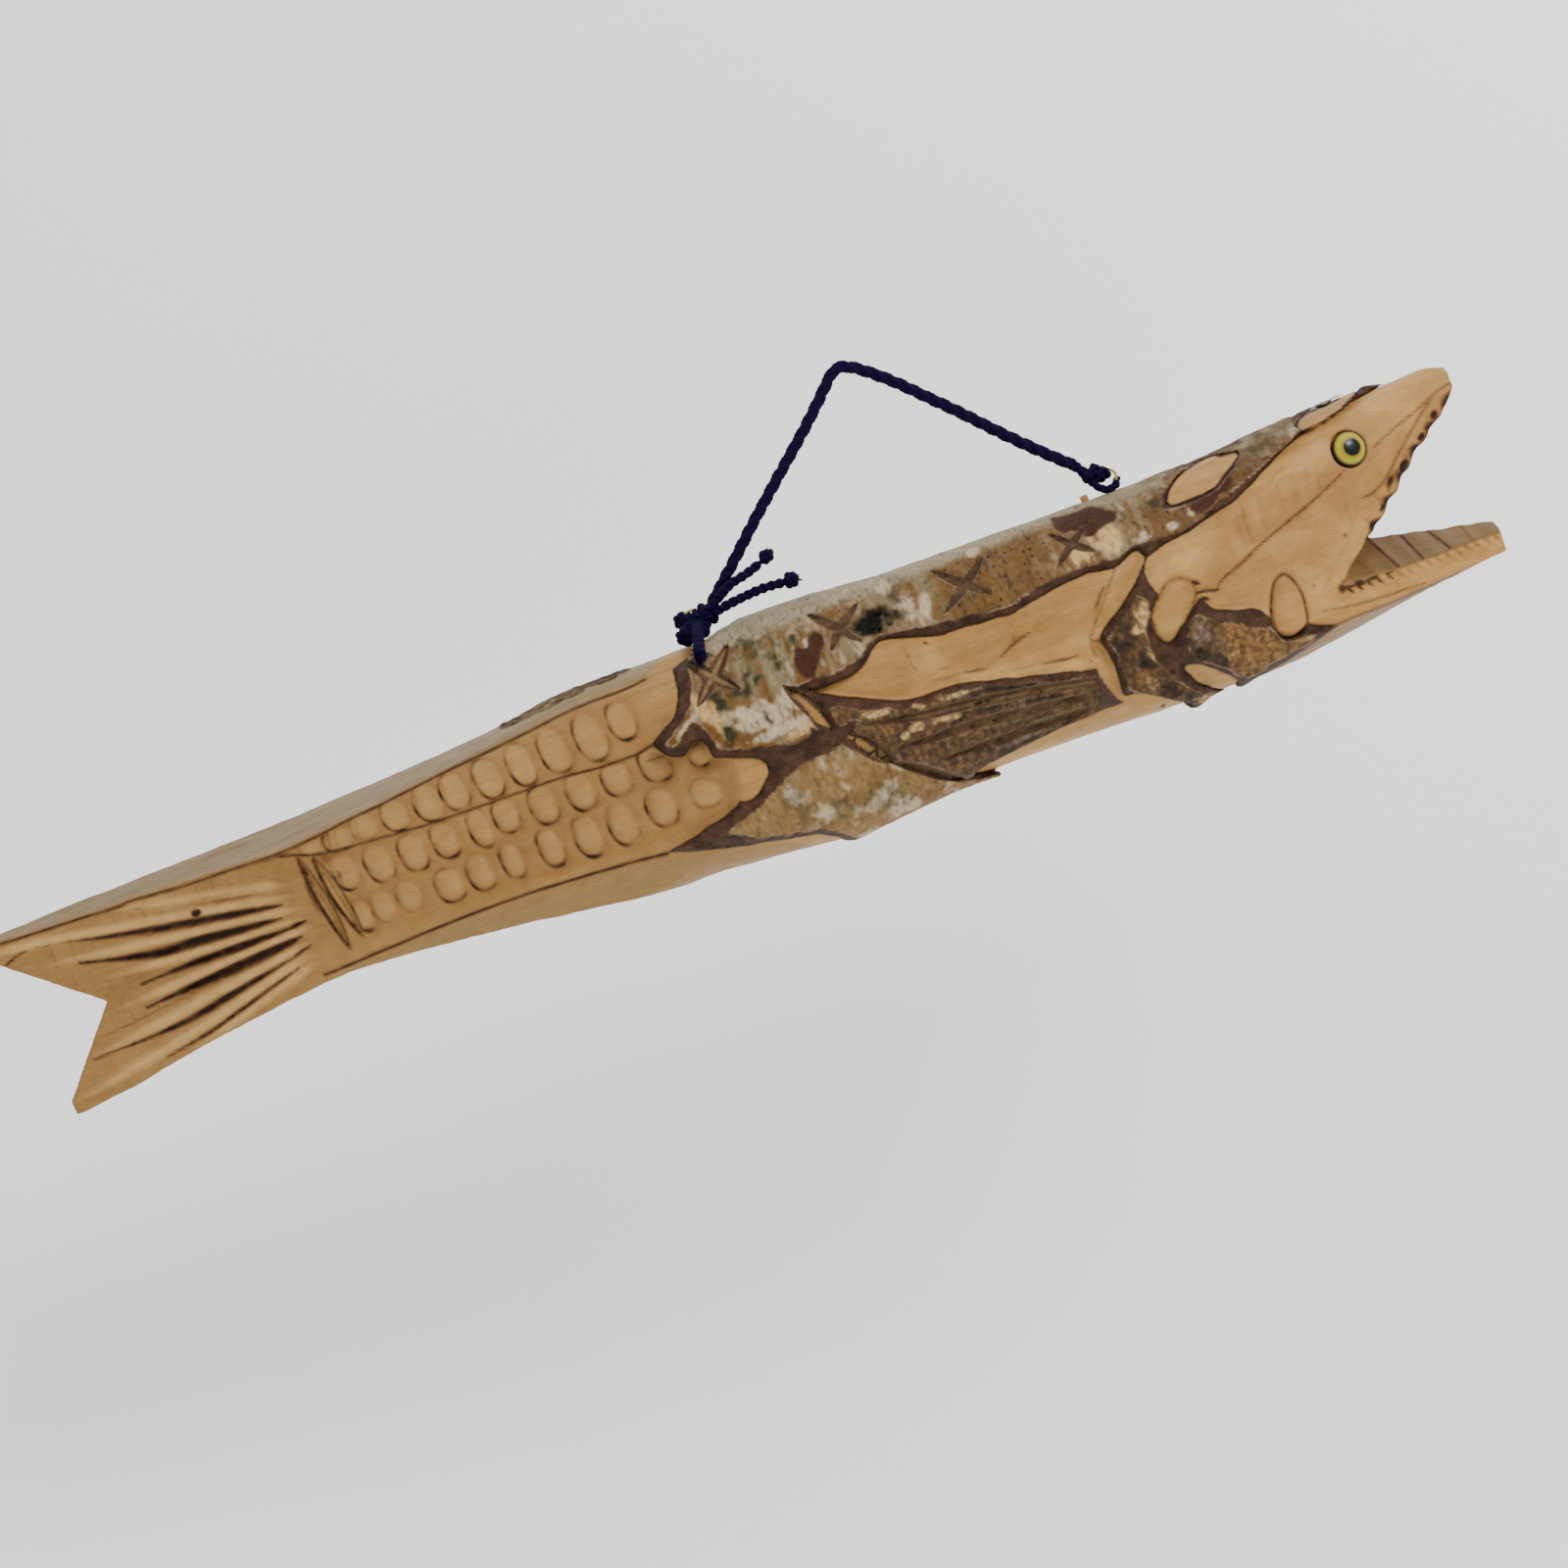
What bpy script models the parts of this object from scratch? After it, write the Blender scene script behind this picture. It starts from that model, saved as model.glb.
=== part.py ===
"""Hanging carved log fish: one birch log carved into a long fish, with the bark left on in
panels, glass eyes, two brass screw eyes on its back and a twisted cord sling.

The world origin is the middle of the cord at its highest point, where a hook holds it.
The fish is modelled level, nose towards +X and back towards +Z, in the frame of the empty
fish_frame, which holds the tilt at which it hangs. Lengths are in metres.
"""

import math

import bmesh
import bpy
import numpy as np
from mathutils import Matrix, Vector

MM = 0.001

# Driving dimensions, in millimetres unless noted
TILT_DEG = 20.5          # nose-up angle of the hanging fish
DROP = 123.0             # hang point down to the fish axis
BARK = 3.0               # bark thickness
GAP = 0.35               # gap between touching pieces
RING_R = 4.3             # screw eye, centre of its wire
RING_WIRE = 0.55
SHANK_R = 1.1
SHANK_LEN = 13.0
REAR_RING = (-38.5, 48.2)
FRONT_RING = (119.5, 44.2)
CORD_R = 1.65            # one cord
SLING_R = 2.25           # the two cords twisted together
EYE_R = 6.3
EYE_AT = (199.5, 25.5)
HANG = (43.1, 115.2)     # hang point in the fish frame, x and z

# Fish outline, as x and value in the fish frame
LOG_R = [(-345, 46), (-60, 44.6), (-16, 46.6), (4, 45.0), (30, 42.6), (75, 42.2), (125, 42.6), (150, 43), (190, 43.5), (235, 45), (256, 45.5)]
LOG_ZC = [(-345, -2), (-60, -0.9), (-16, -2.9), (4, -1.9), (30, -2), (75, -2.4), (125, -3.5), (150, -3.3), (190, -1.2), (256, 0)]
HALF_WIDTH = [(-345, 8), (-323, 9.5), (-290, 13.5), (-260, 18.5), (-230, 24.5), (-205, 29.5), (-195, 31), (-100, 31.5), (-60, 32.5), (-48, 36),
              (-30, 50), (104, 50), (118, 39.5), (130, 37.5), (150, 34), (165, 31.5), (180, 28.5), (198, 24.5), (215, 19.5), (230, 13.5), (243, 9), (256, 6)]
RIDGE = [(-345, 29.2), (-326, 30.1), (-294, 31.2), (-266, 31.7), (-216, 32.4), (-158, 34.8), (-126, 36.9), (-95, 40.6), (-63, 43.7), (-30, 60), (215, 60), (226, 46), (236, 43.2), (241, 41.1), (249, 38.4), (256, 36)]
TOP_EDGE = [(-345, 28), (-323, 27.7), (-310, 26.8), (-288, 26.2), (-258, 25.9), (-206, 24.8), (-150, 29.6), (-120, 32.5), (-90, 35.7), (-60, 37.5), (-30, 60), (215, 60), (226, 45), (236, 42.6), (241, 40.6), (249, 38), (256, 35.6)]
BOTTOM = [(-345, -48), (-323.4, -44.3), (-293.6, -39.9), (-266, -34.5), (-233, -29.4), (-209, -26), (-200, -25.5), (-178, -27), (-153, -29.8), (-127, -33.5), (-102, -37.2), (-77, -41.5), (-52, -45.6), (-30, -50), (-12, -60), (256, -60)]
SIDE_BOTTOM = [(-345, -48), (-209, -26), (-200, -22.8), (-175, -21.4), (-150, -20.6), (-130, -20.6), (-100, -22.1), (-75, -24.5), (-50, -31), (-30, -37), (-12, -60), (256, -60)]
KEEL = [(-345, -60), (124, -60), (142, -47), (167, -43), (186, -39.8), (217, -35.1), (247, -31.5), (256, -30.5)]
JAW_EDGE = [(-345, -60), (124, -60), (142, -37), (160, -33), (175, -31), (200, -30.4), (256, -30.2)]
LEAN = [(-345, 500), (140, 500), (158, 80), (172, 39), (256, 38)]
MOUTH_TOP = [(181, -19), (188.6, -10.3), (195, -6), (202.8, 0.8), (214, 10.6), (225.7, 20.4), (237.5, 28.3), (245.8, 33.2), (256, 37)]
FORK = [(-293.6, -6.5), (-326.6, 18.9), (-334, 24.5), (-334, 70), (-350, 70), (-350, -70), (-323.4, -70), (-323.4, -38.1)]

BARK_BACK = [(-41.3, 39.6), (-44.3, 30.7), (-46.0, 20.0), (-45.2, 13.9), (-44.3, 6.1), (-32.4, 2.1), (-19.6, -0.8), (-11.7, 1.1), (-11.7, 17.4),
             (0.1, 17.7), (10.0, 18.9), (19.8, 23.8), (29.7, 23.3), (39.6, 21.3), (59.3, 19.9), (69.2, 18.9), (88.9, 21.8), (108.6, 20.8),
             (118.5, 22.3), (136.2, 24.3), (154.9, 29.7), (169.7, 35.6), (184.5, 39.1), (197.3, 42.3), (222, 43.2), (224, 70), (-18, 70), (-22, 43.4)]
BARK_BELLY = [(-51.4, -24.0), (-44.5, -21.5), (-29.6, -15.6), (-13.8, -10.1), (-2.9, -8.7), (5.0, -17.1), (11.0, -20.1), (19.9, -28.0), (29.8, -34.4),
              (44.7, -37.9), (60, -39.2), (90, -40.2), (120, -41.4), (136, -43), (138, -70), (-8, -70), (-9.8, -44.3), (-10.8, -39.9), (-24.7, -32.9), (-44.5, -28.0)]
BARK_FIN = [(-1.2, -8.4), (6.0, -2.6), (12.0, -1.2), (27.8, -5.6), (41.7, -6.2), (51.6, -9.2), (61.5, -12.1), (74.4, -16.1), (89.2, -18.1), (90.2, -27.0), (79.3, -29.0),
            (59.5, -31.3), (39.7, -33.4), (31.5, -33.6), (21.5, -27.2), (12.6, -19.2), (6.6, -16.1), (1.2, -12.1)]
BARK_GILL_REAR = [(97.2, -4.6), (106.1, 1.9), (111.4, 3.6), (113.6, -1.2), (110.8, -9.2), (108.2, -13.1), (110.6, -21.0), (117.6, -31.9), (115.6, -34.9), (107.1, -28.6), (99.2, -25.4), (96.2, -19.1)]
BARK_GILL_FRONT = [(125.3, -11.2), (132.2, -9.2), (139.2, -13.0), (149.1, -16.4), (151.3, -21.4), (154.1, -28.3), (160.0, -30.9), (149.1, -34.3), (137.2, -36.3), (133.2, -29.0), (122.9, -23.6), (119.9, -17.4)]
SHOULDER = [(-9, 12), (1.5, 16), (10, 17.6), (20, 22.5), (29.7, 22), (39.6, 20), (59.4, 18.6), (69.2, 17.6), (89, 20.5), (108.8, 19.6), (115, 19.6), (115.2, 15.4), (106, 5.6),
            (95.9, -2), (91, -4), (88.6, -15), (74.2, -13.4), (61.3, -9.6), (51.5, -6.6), (41.6, -3.6), (27.8, -3.2), (12, 1.2), (3.5, 5)]


def at(table, x):
    return float(np.interp(x, [p[0] for p in table], [p[1] for p in table]))


def inside(x, y, z, radius_less):
    """Whether a point of the fish frame is in the carved log, before its mouth and tail fork are cut."""
    y = abs(y)
    if math.hypot(y, z - at(LOG_ZC, x)) > at(LOG_R, x) - radius_less:
        return False
    w = at(HALF_WIDTH, x)
    lean = max(0.0, z - 10.0) / at(LEAN, x)
    if lean >= 1.0 or y > w * math.sqrt(1.0 - lean**2.5):
        return False
    ridge, edge = at(RIDGE, x), at(TOP_EDGE, x)
    if z > ridge - y * (ridge - edge) / w or z < at(BOTTOM, x):
        return False
    if -z > -at(SIDE_BOTTOM, x) + (w - y) * 1.15:
        return False
    keel, jaw = at(KEEL, x), at(JAW_EDGE, x)
    return -z <= -keel + y * (keel - jaw) / w


def material(name, colour, roughness, metallic=0.0, alpha=1.0):
    m = bpy.data.materials.new(name)
    m.use_nodes = True
    bsdf = m.node_tree.nodes["Principled BSDF"]
    bsdf.inputs["Base Color"].default_value = (*colour, 1.0)
    bsdf.inputs["Roughness"].default_value = roughness
    bsdf.inputs["Metallic"].default_value = metallic
    bsdf.inputs["Alpha"].default_value = alpha
    m.diffuse_color = (*colour, 1.0)
    return m


def clear_scene():
    for obj in list(bpy.data.objects):
        bpy.data.objects.remove(obj, do_unlink=True)


def new_collection(name):
    c = bpy.data.collections.new(name)
    bpy.context.scene.collection.children.link(c)
    return c


clear_scene()
PIECES = new_collection("carved_log_fish")
CUTTERS = new_collection("cutters")
FRAME = bpy.data.objects.new("fish_frame", None)
FRAME.rotation_euler = (0.0, -math.radians(TILT_DEG), 0.0)
FRAME.location = (0.0, 0.0, -DROP * MM)
PIECES.objects.link(FRAME)

WOOD = (0.62, 0.42, 0.21)
MAT = {
    "wood": material("carved_birch", WOOD, 0.55),
    "bark": material("birch_bark", (0.42, 0.34, 0.22), 0.85),
    "glass": material("eye_glass", (0.9, 0.9, 0.85), 0.03, 0.0, 0.35),
    "iris": material("eye_iris", (0.62, 0.5, 0.05), 0.25),
    "pupil": material("eye_pupil", (0.01, 0.01, 0.01), 0.15),
    "brass": material("brass_wire", (0.8, 0.66, 0.3), 0.22, 1.0),
    "wedge": material("wedge_wood", (0.5, 0.24, 0.07), 0.6),
    "cord": material("indigo_cord", (0.02, 0.01, 0.07), 0.9),
}


def finish(obj, mat, parent=FRAME, smooth=35.0):
    if obj.type == "MESH":
        obj.data.materials.clear()
        obj.data.materials.append(mat)
        obj.data.shade_smooth()
        obj.data.set_sharp_from_angle(angle=math.radians(smooth))
    else:
        obj.data.materials.append(mat)
    obj.parent = parent
    return obj


def link(obj, cutter=False):
    for c in list(obj.users_collection):
        c.objects.unlink(obj)
    (CUTTERS if cutter else PIECES).objects.link(obj)
    if cutter:
        obj.hide_render = True
        obj.display_type = "WIRE"
        obj.parent = FRAME
    return obj


def mesh_object(name, bm, cutter=False):
    bmesh.ops.recalc_face_normals(bm, faces=bm.faces[:])
    me = bpy.data.meshes.new(name)
    bm.to_mesh(me)
    bm.free()
    return link(bpy.data.objects.new(name, me), cutter)


def corner_angles(x, mid, count):
    """Ray angles for one section, so that its corners and its ridge each get a ray."""
    w = at(HALF_WIDTH, x)
    up = math.atan2(min(at(TOP_EDGE, x), 46) - mid, w)
    down = math.atan2(max(at(SIDE_BOTTOM, x), at(JAW_EDGE, x), -48) - mid, w)
    side, top = count // 4, count // 8
    low = (count - 2 * side - 2 * top) // 2
    right = [down + (up - down) * k / side for k in range(side)]
    right += [up + (math.pi / 2 - up) * k / top for k in range(top)]
    left = [math.pi - a for a in reversed(right[1:])]
    below = [math.pi - down + (2 * down + math.pi) * k / (2 * low) for k in range(2 * low)]
    return right + [math.pi / 2] + left + below


def loft(name, stations, count, radius_less, cutter=False, round_only=False):
    """Sections of the carved log joined along x. Each section is found by going out from its middle along a ray until it leaves the shape."""
    bm = bmesh.new()
    rings = []
    for x in stations:
        mid = 0.5 * (max(at(BOTTOM, x), at(LOG_ZC, x) - 40) + min(at(RIDGE, x), at(LOG_ZC, x) + 40))
        if round_only:
            mid = at(LOG_ZC, x)
        if round_only:
            angles = [2 * math.pi * (i + 0.5) / count for i in range(count)]
        else:
            angles = corner_angles(x, mid, count)
        ring = []
        for a in angles:
            dy, dz = math.cos(a), math.sin(a)
            if round_only:
                r = at(LOG_R, x) - radius_less
            else:
                lo, hi = 0.0, 80.0
                for _ in range(22):
                    r = 0.5 * (lo + hi)
                    lo, hi = (r, hi) if inside(x, r * dy, mid + r * dz, radius_less) else (lo, r)
                r = lo
            ring.append(bm.verts.new((x * MM, r * dy * MM, (mid + r * dz) * MM)))
        rings.append(ring)
    for a, b in zip(rings, rings[1:]):
        for i in range(count):
            j = (i + 1) % count
            bm.faces.new((a[i], a[j], b[j], b[i]))
    bm.faces.new(rings[0][::-1])
    bm.faces.new(rings[-1])
    return mesh_object(name, bm, cutter)


def prism(name, outline, y0, y1):
    """A flat outline in x and z, given thickness from y0 to y1."""
    bm = bmesh.new()
    base = bm.faces.new([bm.verts.new((x * MM, y0 * MM, z * MM)) for x, z in outline])
    moved = bmesh.ops.extrude_face_region(bm, geom=[base])["geom"]
    bmesh.ops.translate(bm, verts=[v for v in moved if isinstance(v, bmesh.types.BMVert)], vec=(0, (y1 - y0) * MM, 0))
    return mesh_object(name, bm, cutter=True)


def boolean(obj, other, operation="DIFFERENCE"):
    m = obj.modifiers.new(f"{operation.lower()}_{other.name}"[:60], "BOOLEAN")
    m.operation = operation
    m.object = other
    m.solver = "EXACT"
    return obj


def cylinder(name, radius, length, at_point, direction=(0, 0, 1), segments=20, cutter=False, radius2=None):
    bm = bmesh.new()
    bmesh.ops.create_cone(bm, cap_ends=True, segments=segments, radius1=radius * MM, radius2=(radius if radius2 is None else radius2) * MM, depth=length * MM)
    obj = mesh_object(name, bm, cutter)
    obj.matrix_local = Matrix.Translation(Vector(at_point) * MM) @ Vector(direction).to_track_quat("Z", "Y").to_matrix().to_4x4()
    return obj


def tube(name, points, radius, mat, resolution=2):
    """A cord: a poly spline through the points with a round bevel and filled caps."""
    cu = bpy.data.curves.new(name, "CURVE")
    cu.dimensions = "3D"
    sp = cu.splines.new("POLY")
    sp.points.add(len(points) - 1)
    for p, c in zip(sp.points, points):
        p.co = (c[0] * MM, c[1] * MM, c[2] * MM, 1.0)
    cu.bevel_depth = radius * MM
    cu.bevel_resolution = resolution
    cu.use_fill_caps = True
    obj = link(bpy.data.objects.new(name, cu))
    return finish(obj, mat)


def smooth_route(points, step):
    """Evenly spaced points on a smooth curve through the given ones."""
    p = [Vector(q) for q in points]
    p = [2 * p[0] - p[1], *p, 2 * p[-1] - p[-2]]
    fine = []
    for i in range(1, len(p) - 2):
        for k in range(24):
            t = k / 24
            a, b, c, d = p[i - 1], p[i], p[i + 1], p[i + 2]
            fine.append(0.5 * (2 * b + (c - a) * t + (2 * a - 5 * b + 4 * c - d) * t * t + (3 * b - a - 3 * c + d) * t**3))
    fine.append(p[-2])
    run = [0.0]
    for a, b in zip(fine, fine[1:]):
        run.append(run[-1] + (b - a).length)
    n = max(3, round(run[-1] / step))
    out = []
    for k in range(n + 1):
        s = run[-1] * k / n
        j = min(max(int(np.searchsorted(run, s)), 1), len(fine) - 1)
        t = (s - run[j - 1]) / max(run[j] - run[j - 1], 1e-9)
        out.append(fine[j - 1].lerp(fine[j], min(max(t, 0.0), 1.0)))
    return out


# ---- the log -------------------------------------------------------------
STATIONS = [-338, -323, -308, -293, -278, -263, -248, -233, -220, -209, -200, -192, -172, -150, -127, -102, -77, -63, -52, -44, -36, -30, -16, -6, 4, 15, 30, 52, 75, 100,
            106, 112, 118, 124, 133, 142, 150, 158, 166, 174, 182, 190, 198, 206, 214, 222, 230, 236, 242, 247.5]
log = loft("log_body", STATIONS, 40, BARK + GAP)
boolean(log, prism("cut_tail_fork", FORK, -60, 60))

mouth = prism("cut_mouth", [*MOUTH_TOP, (262, 38), (262, -60), (181, -60)], -60, 60)
bm = bmesh.new()
ends = []
for x in (170, 270):
    top = -9.2 - 0.222 * (x - 202)
    ends.append([bm.verts.new((x * MM, y * MM, z * MM)) for y, z in ((0, top), (70, top - 31.5), (70, -90), (-70, -90), (-70, top - 31.5))])
for i in range(5):
    j = (i + 1) % 5
    bm.faces.new((ends[0][i], ends[0][j], ends[1][j], ends[1][i]))
bm.faces.new(ends[0])
bm.faces.new(ends[1])
jaw_roof = mesh_object("cut_lower_jaw_top", bm, cutter=True)
boolean(mouth, jaw_roof)
boolean(log, mouth)
for side, y0, y1 in (("right", -70, -37.4), ("left", 37.4, 70)):
    boolean(log, prism(f"cut_shoulder_{side}", SHOULDER, y0, y1))
# Deep lens gouges at the root of the tail and down both sides of the shoulder
for x, lean_, zt, zb, wide in ((-199.5, 3.0, 22, -17, 5.0), (-192.5, 3.0, 20, -14, 5.5)):
    n = 9
    half = [((zt + (zb - zt) * i / n), wide / 2 * math.sin(math.pi * i / n)) for i in range(1, n)]
    outline = [(x - lean_, zt)] + [(x - lean_ + 2 * lean_ * (zt - z) / (zt - zb) + h, z) for z, h in half] + [(x + lean_, zb)]
    outline += [(x - lean_ + 2 * lean_ * (zt - z) / (zt - zb) - h, z) for z, h in reversed(half)]
    for side, s in (("right", -1), ("left", 1)):
        y = sorted((s * 27.6, s * 60))
        boolean(log, prism(f"cut_root_gouge_{side}_{round(-x)}", outline, *y))
finish(log, MAT["wood"])

# ---- bark left on the log ------------------------------------------------
BARK_STATIONS = [-60, -44, -30, -16, -6, 4, 15, 30, 52, 75, 100, 125, 150, 170, 190, 212, 240]
blank = loft("bark_blank_inside", [-62, *BARK_STATIONS[1:-1], 242], 44, BARK, cutter=True, round_only=True)


def bark_piece(name, outline, y0, y1):
    obj = loft(name, BARK_STATIONS, 44, 0.0, round_only=True)
    boolean(obj, blank)
    boolean(obj, prism(f"keep_{name}", outline, y0, y1), "INTERSECT")
    return finish(obj, MAT["bark"])


bark_back = bark_piece("bark_back", BARK_BACK, -70, 70)
bark_belly = bark_piece("bark_belly", BARK_BELLY, -70, 70)
for side, y0, y1 in (("right", -70, -8), ("left", 8, 70)):
    bark_piece(f"bark_fin_{side}", BARK_FIN, y0, y1)
    bark_piece(f"bark_gill_rear_{side}", BARK_GILL_REAR, y0, y1)
    bark_piece(f"bark_gill_front_{side}", BARK_GILL_FRONT, y0, y1)


def roof(x, y):
    w = at(HALF_WIDTH, x)
    return at(RIDGE, x) - abs(y) * (at(RIDGE, x) - at(TOP_EDGE, x)) / w


def strip(name, x0, x1, half, top, thick, cutter=False):
    """A strip that follows the carved back of the tail from x0 to x1, as a sheet with Solidify."""
    bm = bmesh.new()
    nx, ny = 10, 4
    grid = []
    for i in range(nx + 1):
        x = x0 + (x1 - x0) * i / nx
        h = half * (0.55 + 0.45 * math.sin(math.pi * min(1.0, (i + 0.35) / (nx + 0.7))))
        if cutter:
            h = half
        grid.append([bm.verts.new((x * MM, (2 * j / ny - 1) * h * MM, (roof(x, (2 * j / ny - 1) * h) + top) * MM)) for j in range(ny + 1)])
    for a, b in zip(grid, grid[1:]):
        for j in range(ny):
            bm.faces.new((a[j], b[j], b[j + 1], a[j + 1]))
    me = bpy.data.meshes.new(name)
    bm.to_mesh(me)
    bm.free()
    obj = link(bpy.data.objects.new(name, me), cutter)
    m = obj.modifiers.new("thickness", "SOLIDIFY")
    m.thickness = thick * MM
    m.offset = -1.0
    return obj


finish(strip("bark_tail_strip", -121, -66, 12.5, -0.2, 2.0), MAT["bark"])
boolean(log, strip("cut_strip_seat", -122, -65, 13.2, 4.0, 6.6, cutter=True))

# ---- eyes ----------------------------------------------------------------
def eye_frame(side):
    x, z = EYE_AT
    w = at(HALF_WIDTH, x)
    y = w * math.sqrt(1.0 - (max(0.0, z - 10.0) / at(LEAN, x)) ** 2.5)
    out = Vector((0.26, side * 1.0, 0.2)).normalized()
    return Vector((x, side * y, z)), out


def disc_stack(name, profile, side, mat):
    """A turned disc: its profile runs down its outer side, as radius and height over the eye's seat."""
    me = bpy.data.meshes.new(name)
    me.from_pydata([(r * MM, 0, h * MM) for r, h in profile], [(i, i + 1) for i in range(len(profile) - 1)], [])
    obj = link(bpy.data.objects.new(name, me))
    m = obj.modifiers.new("turn", "SCREW")
    m.angle = 2 * math.pi
    m.steps = m.render_steps = 24
    m.use_merge_vertices = True
    m.merge_threshold = 0.00002
    place, out = eye_frame(side)
    obj.parent = FRAME
    obj.matrix_local = Matrix.Translation(place * MM) @ out.to_track_quat("Z", "Y").to_matrix().to_4x4()
    obj.data.materials.append(mat)
    m2 = obj.modifiers.new("weld", "WELD")
    m2.merge_threshold = 0.00002
    return obj


for side, s in (("right", -1), ("left", 1)):
    place, out = eye_frame(s)
    seat = cylinder(f"cut_eye_{side}", EYE_R + 0.35, 14, place + out * 4.0, out, 28, cutter=True)
    boolean(log, seat)
    dome = [(EYE_R * math.sin(a), 0.9 + 2.9 * math.cos(a)) for a in [math.pi / 2 * k / 6 for k in range(7)]]
    disc_stack(f"eye_glass_{side}", [*dome, (EYE_R, -0.4), (0, -0.4)], s, MAT["glass"])
    disc_stack(f"eye_pupil_{side}", [(0, -0.75), (2.9, -0.75), (2.9, -1.15), (0, -1.15)], s, MAT["pupil"])
    disc_stack(f"eye_iris_{side}", [(0, -1.5), (EYE_R, -1.5), (EYE_R, -2.6), (0, -2.6)], s, MAT["iris"])

# ---- screw eyes ----------------------------------------------------------
def screw_eye(name, centre, surface_z):
    x, z = centre
    bpy.ops.mesh.primitive_torus_add(major_radius=RING_R * MM, minor_radius=RING_WIRE * MM, major_segments=28, minor_segments=8, rotation=(math.pi / 2, 0, 0))
    ring = bpy.context.object
    ring.name = ring.data.name = name
    ring.data.transform(ring.rotation_euler.to_matrix().to_4x4())
    ring.rotation_euler = (0, 0, 0)
    link(ring)
    ring.parent = FRAME
    ring.location = (x * MM, 0, z * MM)
    top = z - RING_R
    shank = cylinder(f"join_{name}", SHANK_R * 0.35, SHANK_LEN, (x, 0, top - SHANK_LEN / 2), (0, 0, 1), 12, cutter=True, radius2=SHANK_R)
    boolean(ring, shank, "UNION")
    hole = cylinder(f"cut_{name}", SHANK_R + 0.4, 40, (x, 0, top - 12.5), (0, 0, 1), 12, cutter=True)
    slot = prism(f"cut_seat_{name}", [(x - 5.4, z - 6.2), (x + 5.4, z - 6.2), (x + 5.4, z + 20), (x - 5.4, z + 20)], -1.1, 1.1)
    for target in (log, bark_back):
        if target is log or x > 0:
            boolean(target, hole)
            boolean(target, slot)
    finish(ring, MAT["brass"])
    return ring


rear = screw_eye("screw_eye_rear", REAR_RING, 43.5)
front = screw_eye("screw_eye_front", FRONT_RING, 39.2)

# ---- wedge beside the front ring ------------------------------------------
bm = bmesh.new()
bmesh.ops.create_cube(bm, size=1.0)
bmesh.ops.scale(bm, vec=(2.6 * MM, 3.0 * MM, 5.0 * MM), verts=bm.verts[:])
wedge = mesh_object("ring_wedge", bm)
wedge.location = (110.4 * MM, 0, 39.0 * MM)
wedge.rotation_euler = (0, math.radians(-9), 0)
m = wedge.modifiers.new("eased_edges", "BEVEL")
m.width = 0.25 * MM
m.segments = 1
finish(wedge, MAT["wedge"])
bm = bmesh.new()
bmesh.ops.create_cube(bm, size=1.0)
bmesh.ops.scale(bm, vec=(3.4 * MM, 3.8 * MM, 12.0 * MM), verts=bm.verts[:])
pocket = mesh_object("cut_wedge_pocket", bm, cutter=True)
pocket.location = wedge.location + Vector((-math.sin(math.radians(9)), 0, math.cos(math.radians(9)))) * 3.2 * MM
pocket.rotation_euler = wedge.rotation_euler
boolean(bark_back, pocket)

# ---- cord ------------------------------------------------------------------
SLING_ROUTE = [(-29.6, 0, 52.9), (-24, 0, 57.8), (-16, 0, 64.9), (-5, 0, 75.0), (6, 0, 84.4), (15, 0, 92.0), (24, 0, 99.8), (32, 0, 107.2), (37.2, 0, 112.2),
               (40.4, 0, 114.7), (43.1, 0, 115.2), (46.2, 0, 114.2), (51.5, 0, 110.6), (60, 0, 103.4), (70, 0, 93.4), (80, 0, 83.2), (90, 0, 72.8), (100, 0, 62.8), (106.5, 0, 56.6), (110.6, 0, 52.9)]
tube("sling_cord", smooth_route(SLING_ROUTE, 6.0), SLING_R, MAT["cord"])


def lump(name, blobs, cuts, base_z=None):
    """A tied knot as one closed solid: overlapping ellipsoids joined, with the metal ring's path cut through."""
    main = None
    for i, (centre, size, turn) in enumerate(blobs):
        bm = bmesh.new()
        bmesh.ops.create_uvsphere(bm, u_segments=14, v_segments=9, radius=1.0)
        bmesh.ops.scale(bm, vec=[s * MM for s in size], verts=bm.verts[:])
        obj = mesh_object(name if i == 0 else f"join_{name}_{i}", bm, cutter=i > 0)
        obj.parent = FRAME
        obj.location = Vector(centre) * MM
        obj.rotation_euler = (0, math.radians(turn), 0)
        if i == 0:
            main = obj
        else:
            boolean(main, obj, "UNION")
    for c in cuts:
        boolean(main, c)
    return finish(main, MAT["cord"])


def ring_path(name, centre):
    """The space that a screw eye takes up, a little bigger than its wire."""
    x, z = centre
    bpy.ops.mesh.primitive_torus_add(major_radius=RING_R * MM, minor_radius=(RING_WIRE + 0.35) * MM, major_segments=28, minor_segments=8, rotation=(math.pi / 2, 0, 0))
    t = bpy.context.object
    t.name = name
    t.data.transform(t.rotation_euler.to_matrix().to_4x4())
    t.rotation_euler = (0, 0, 0)
    link(t, cutter=True)
    t.location = (x * MM, 0, z * MM)
    stem = cylinder(f"{name}_stem", SHANK_R + 0.4, 14, (x, 0, z - RING_R - 6.3), (0, 0, 1), 12, cutter=True)
    return t, stem


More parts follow.
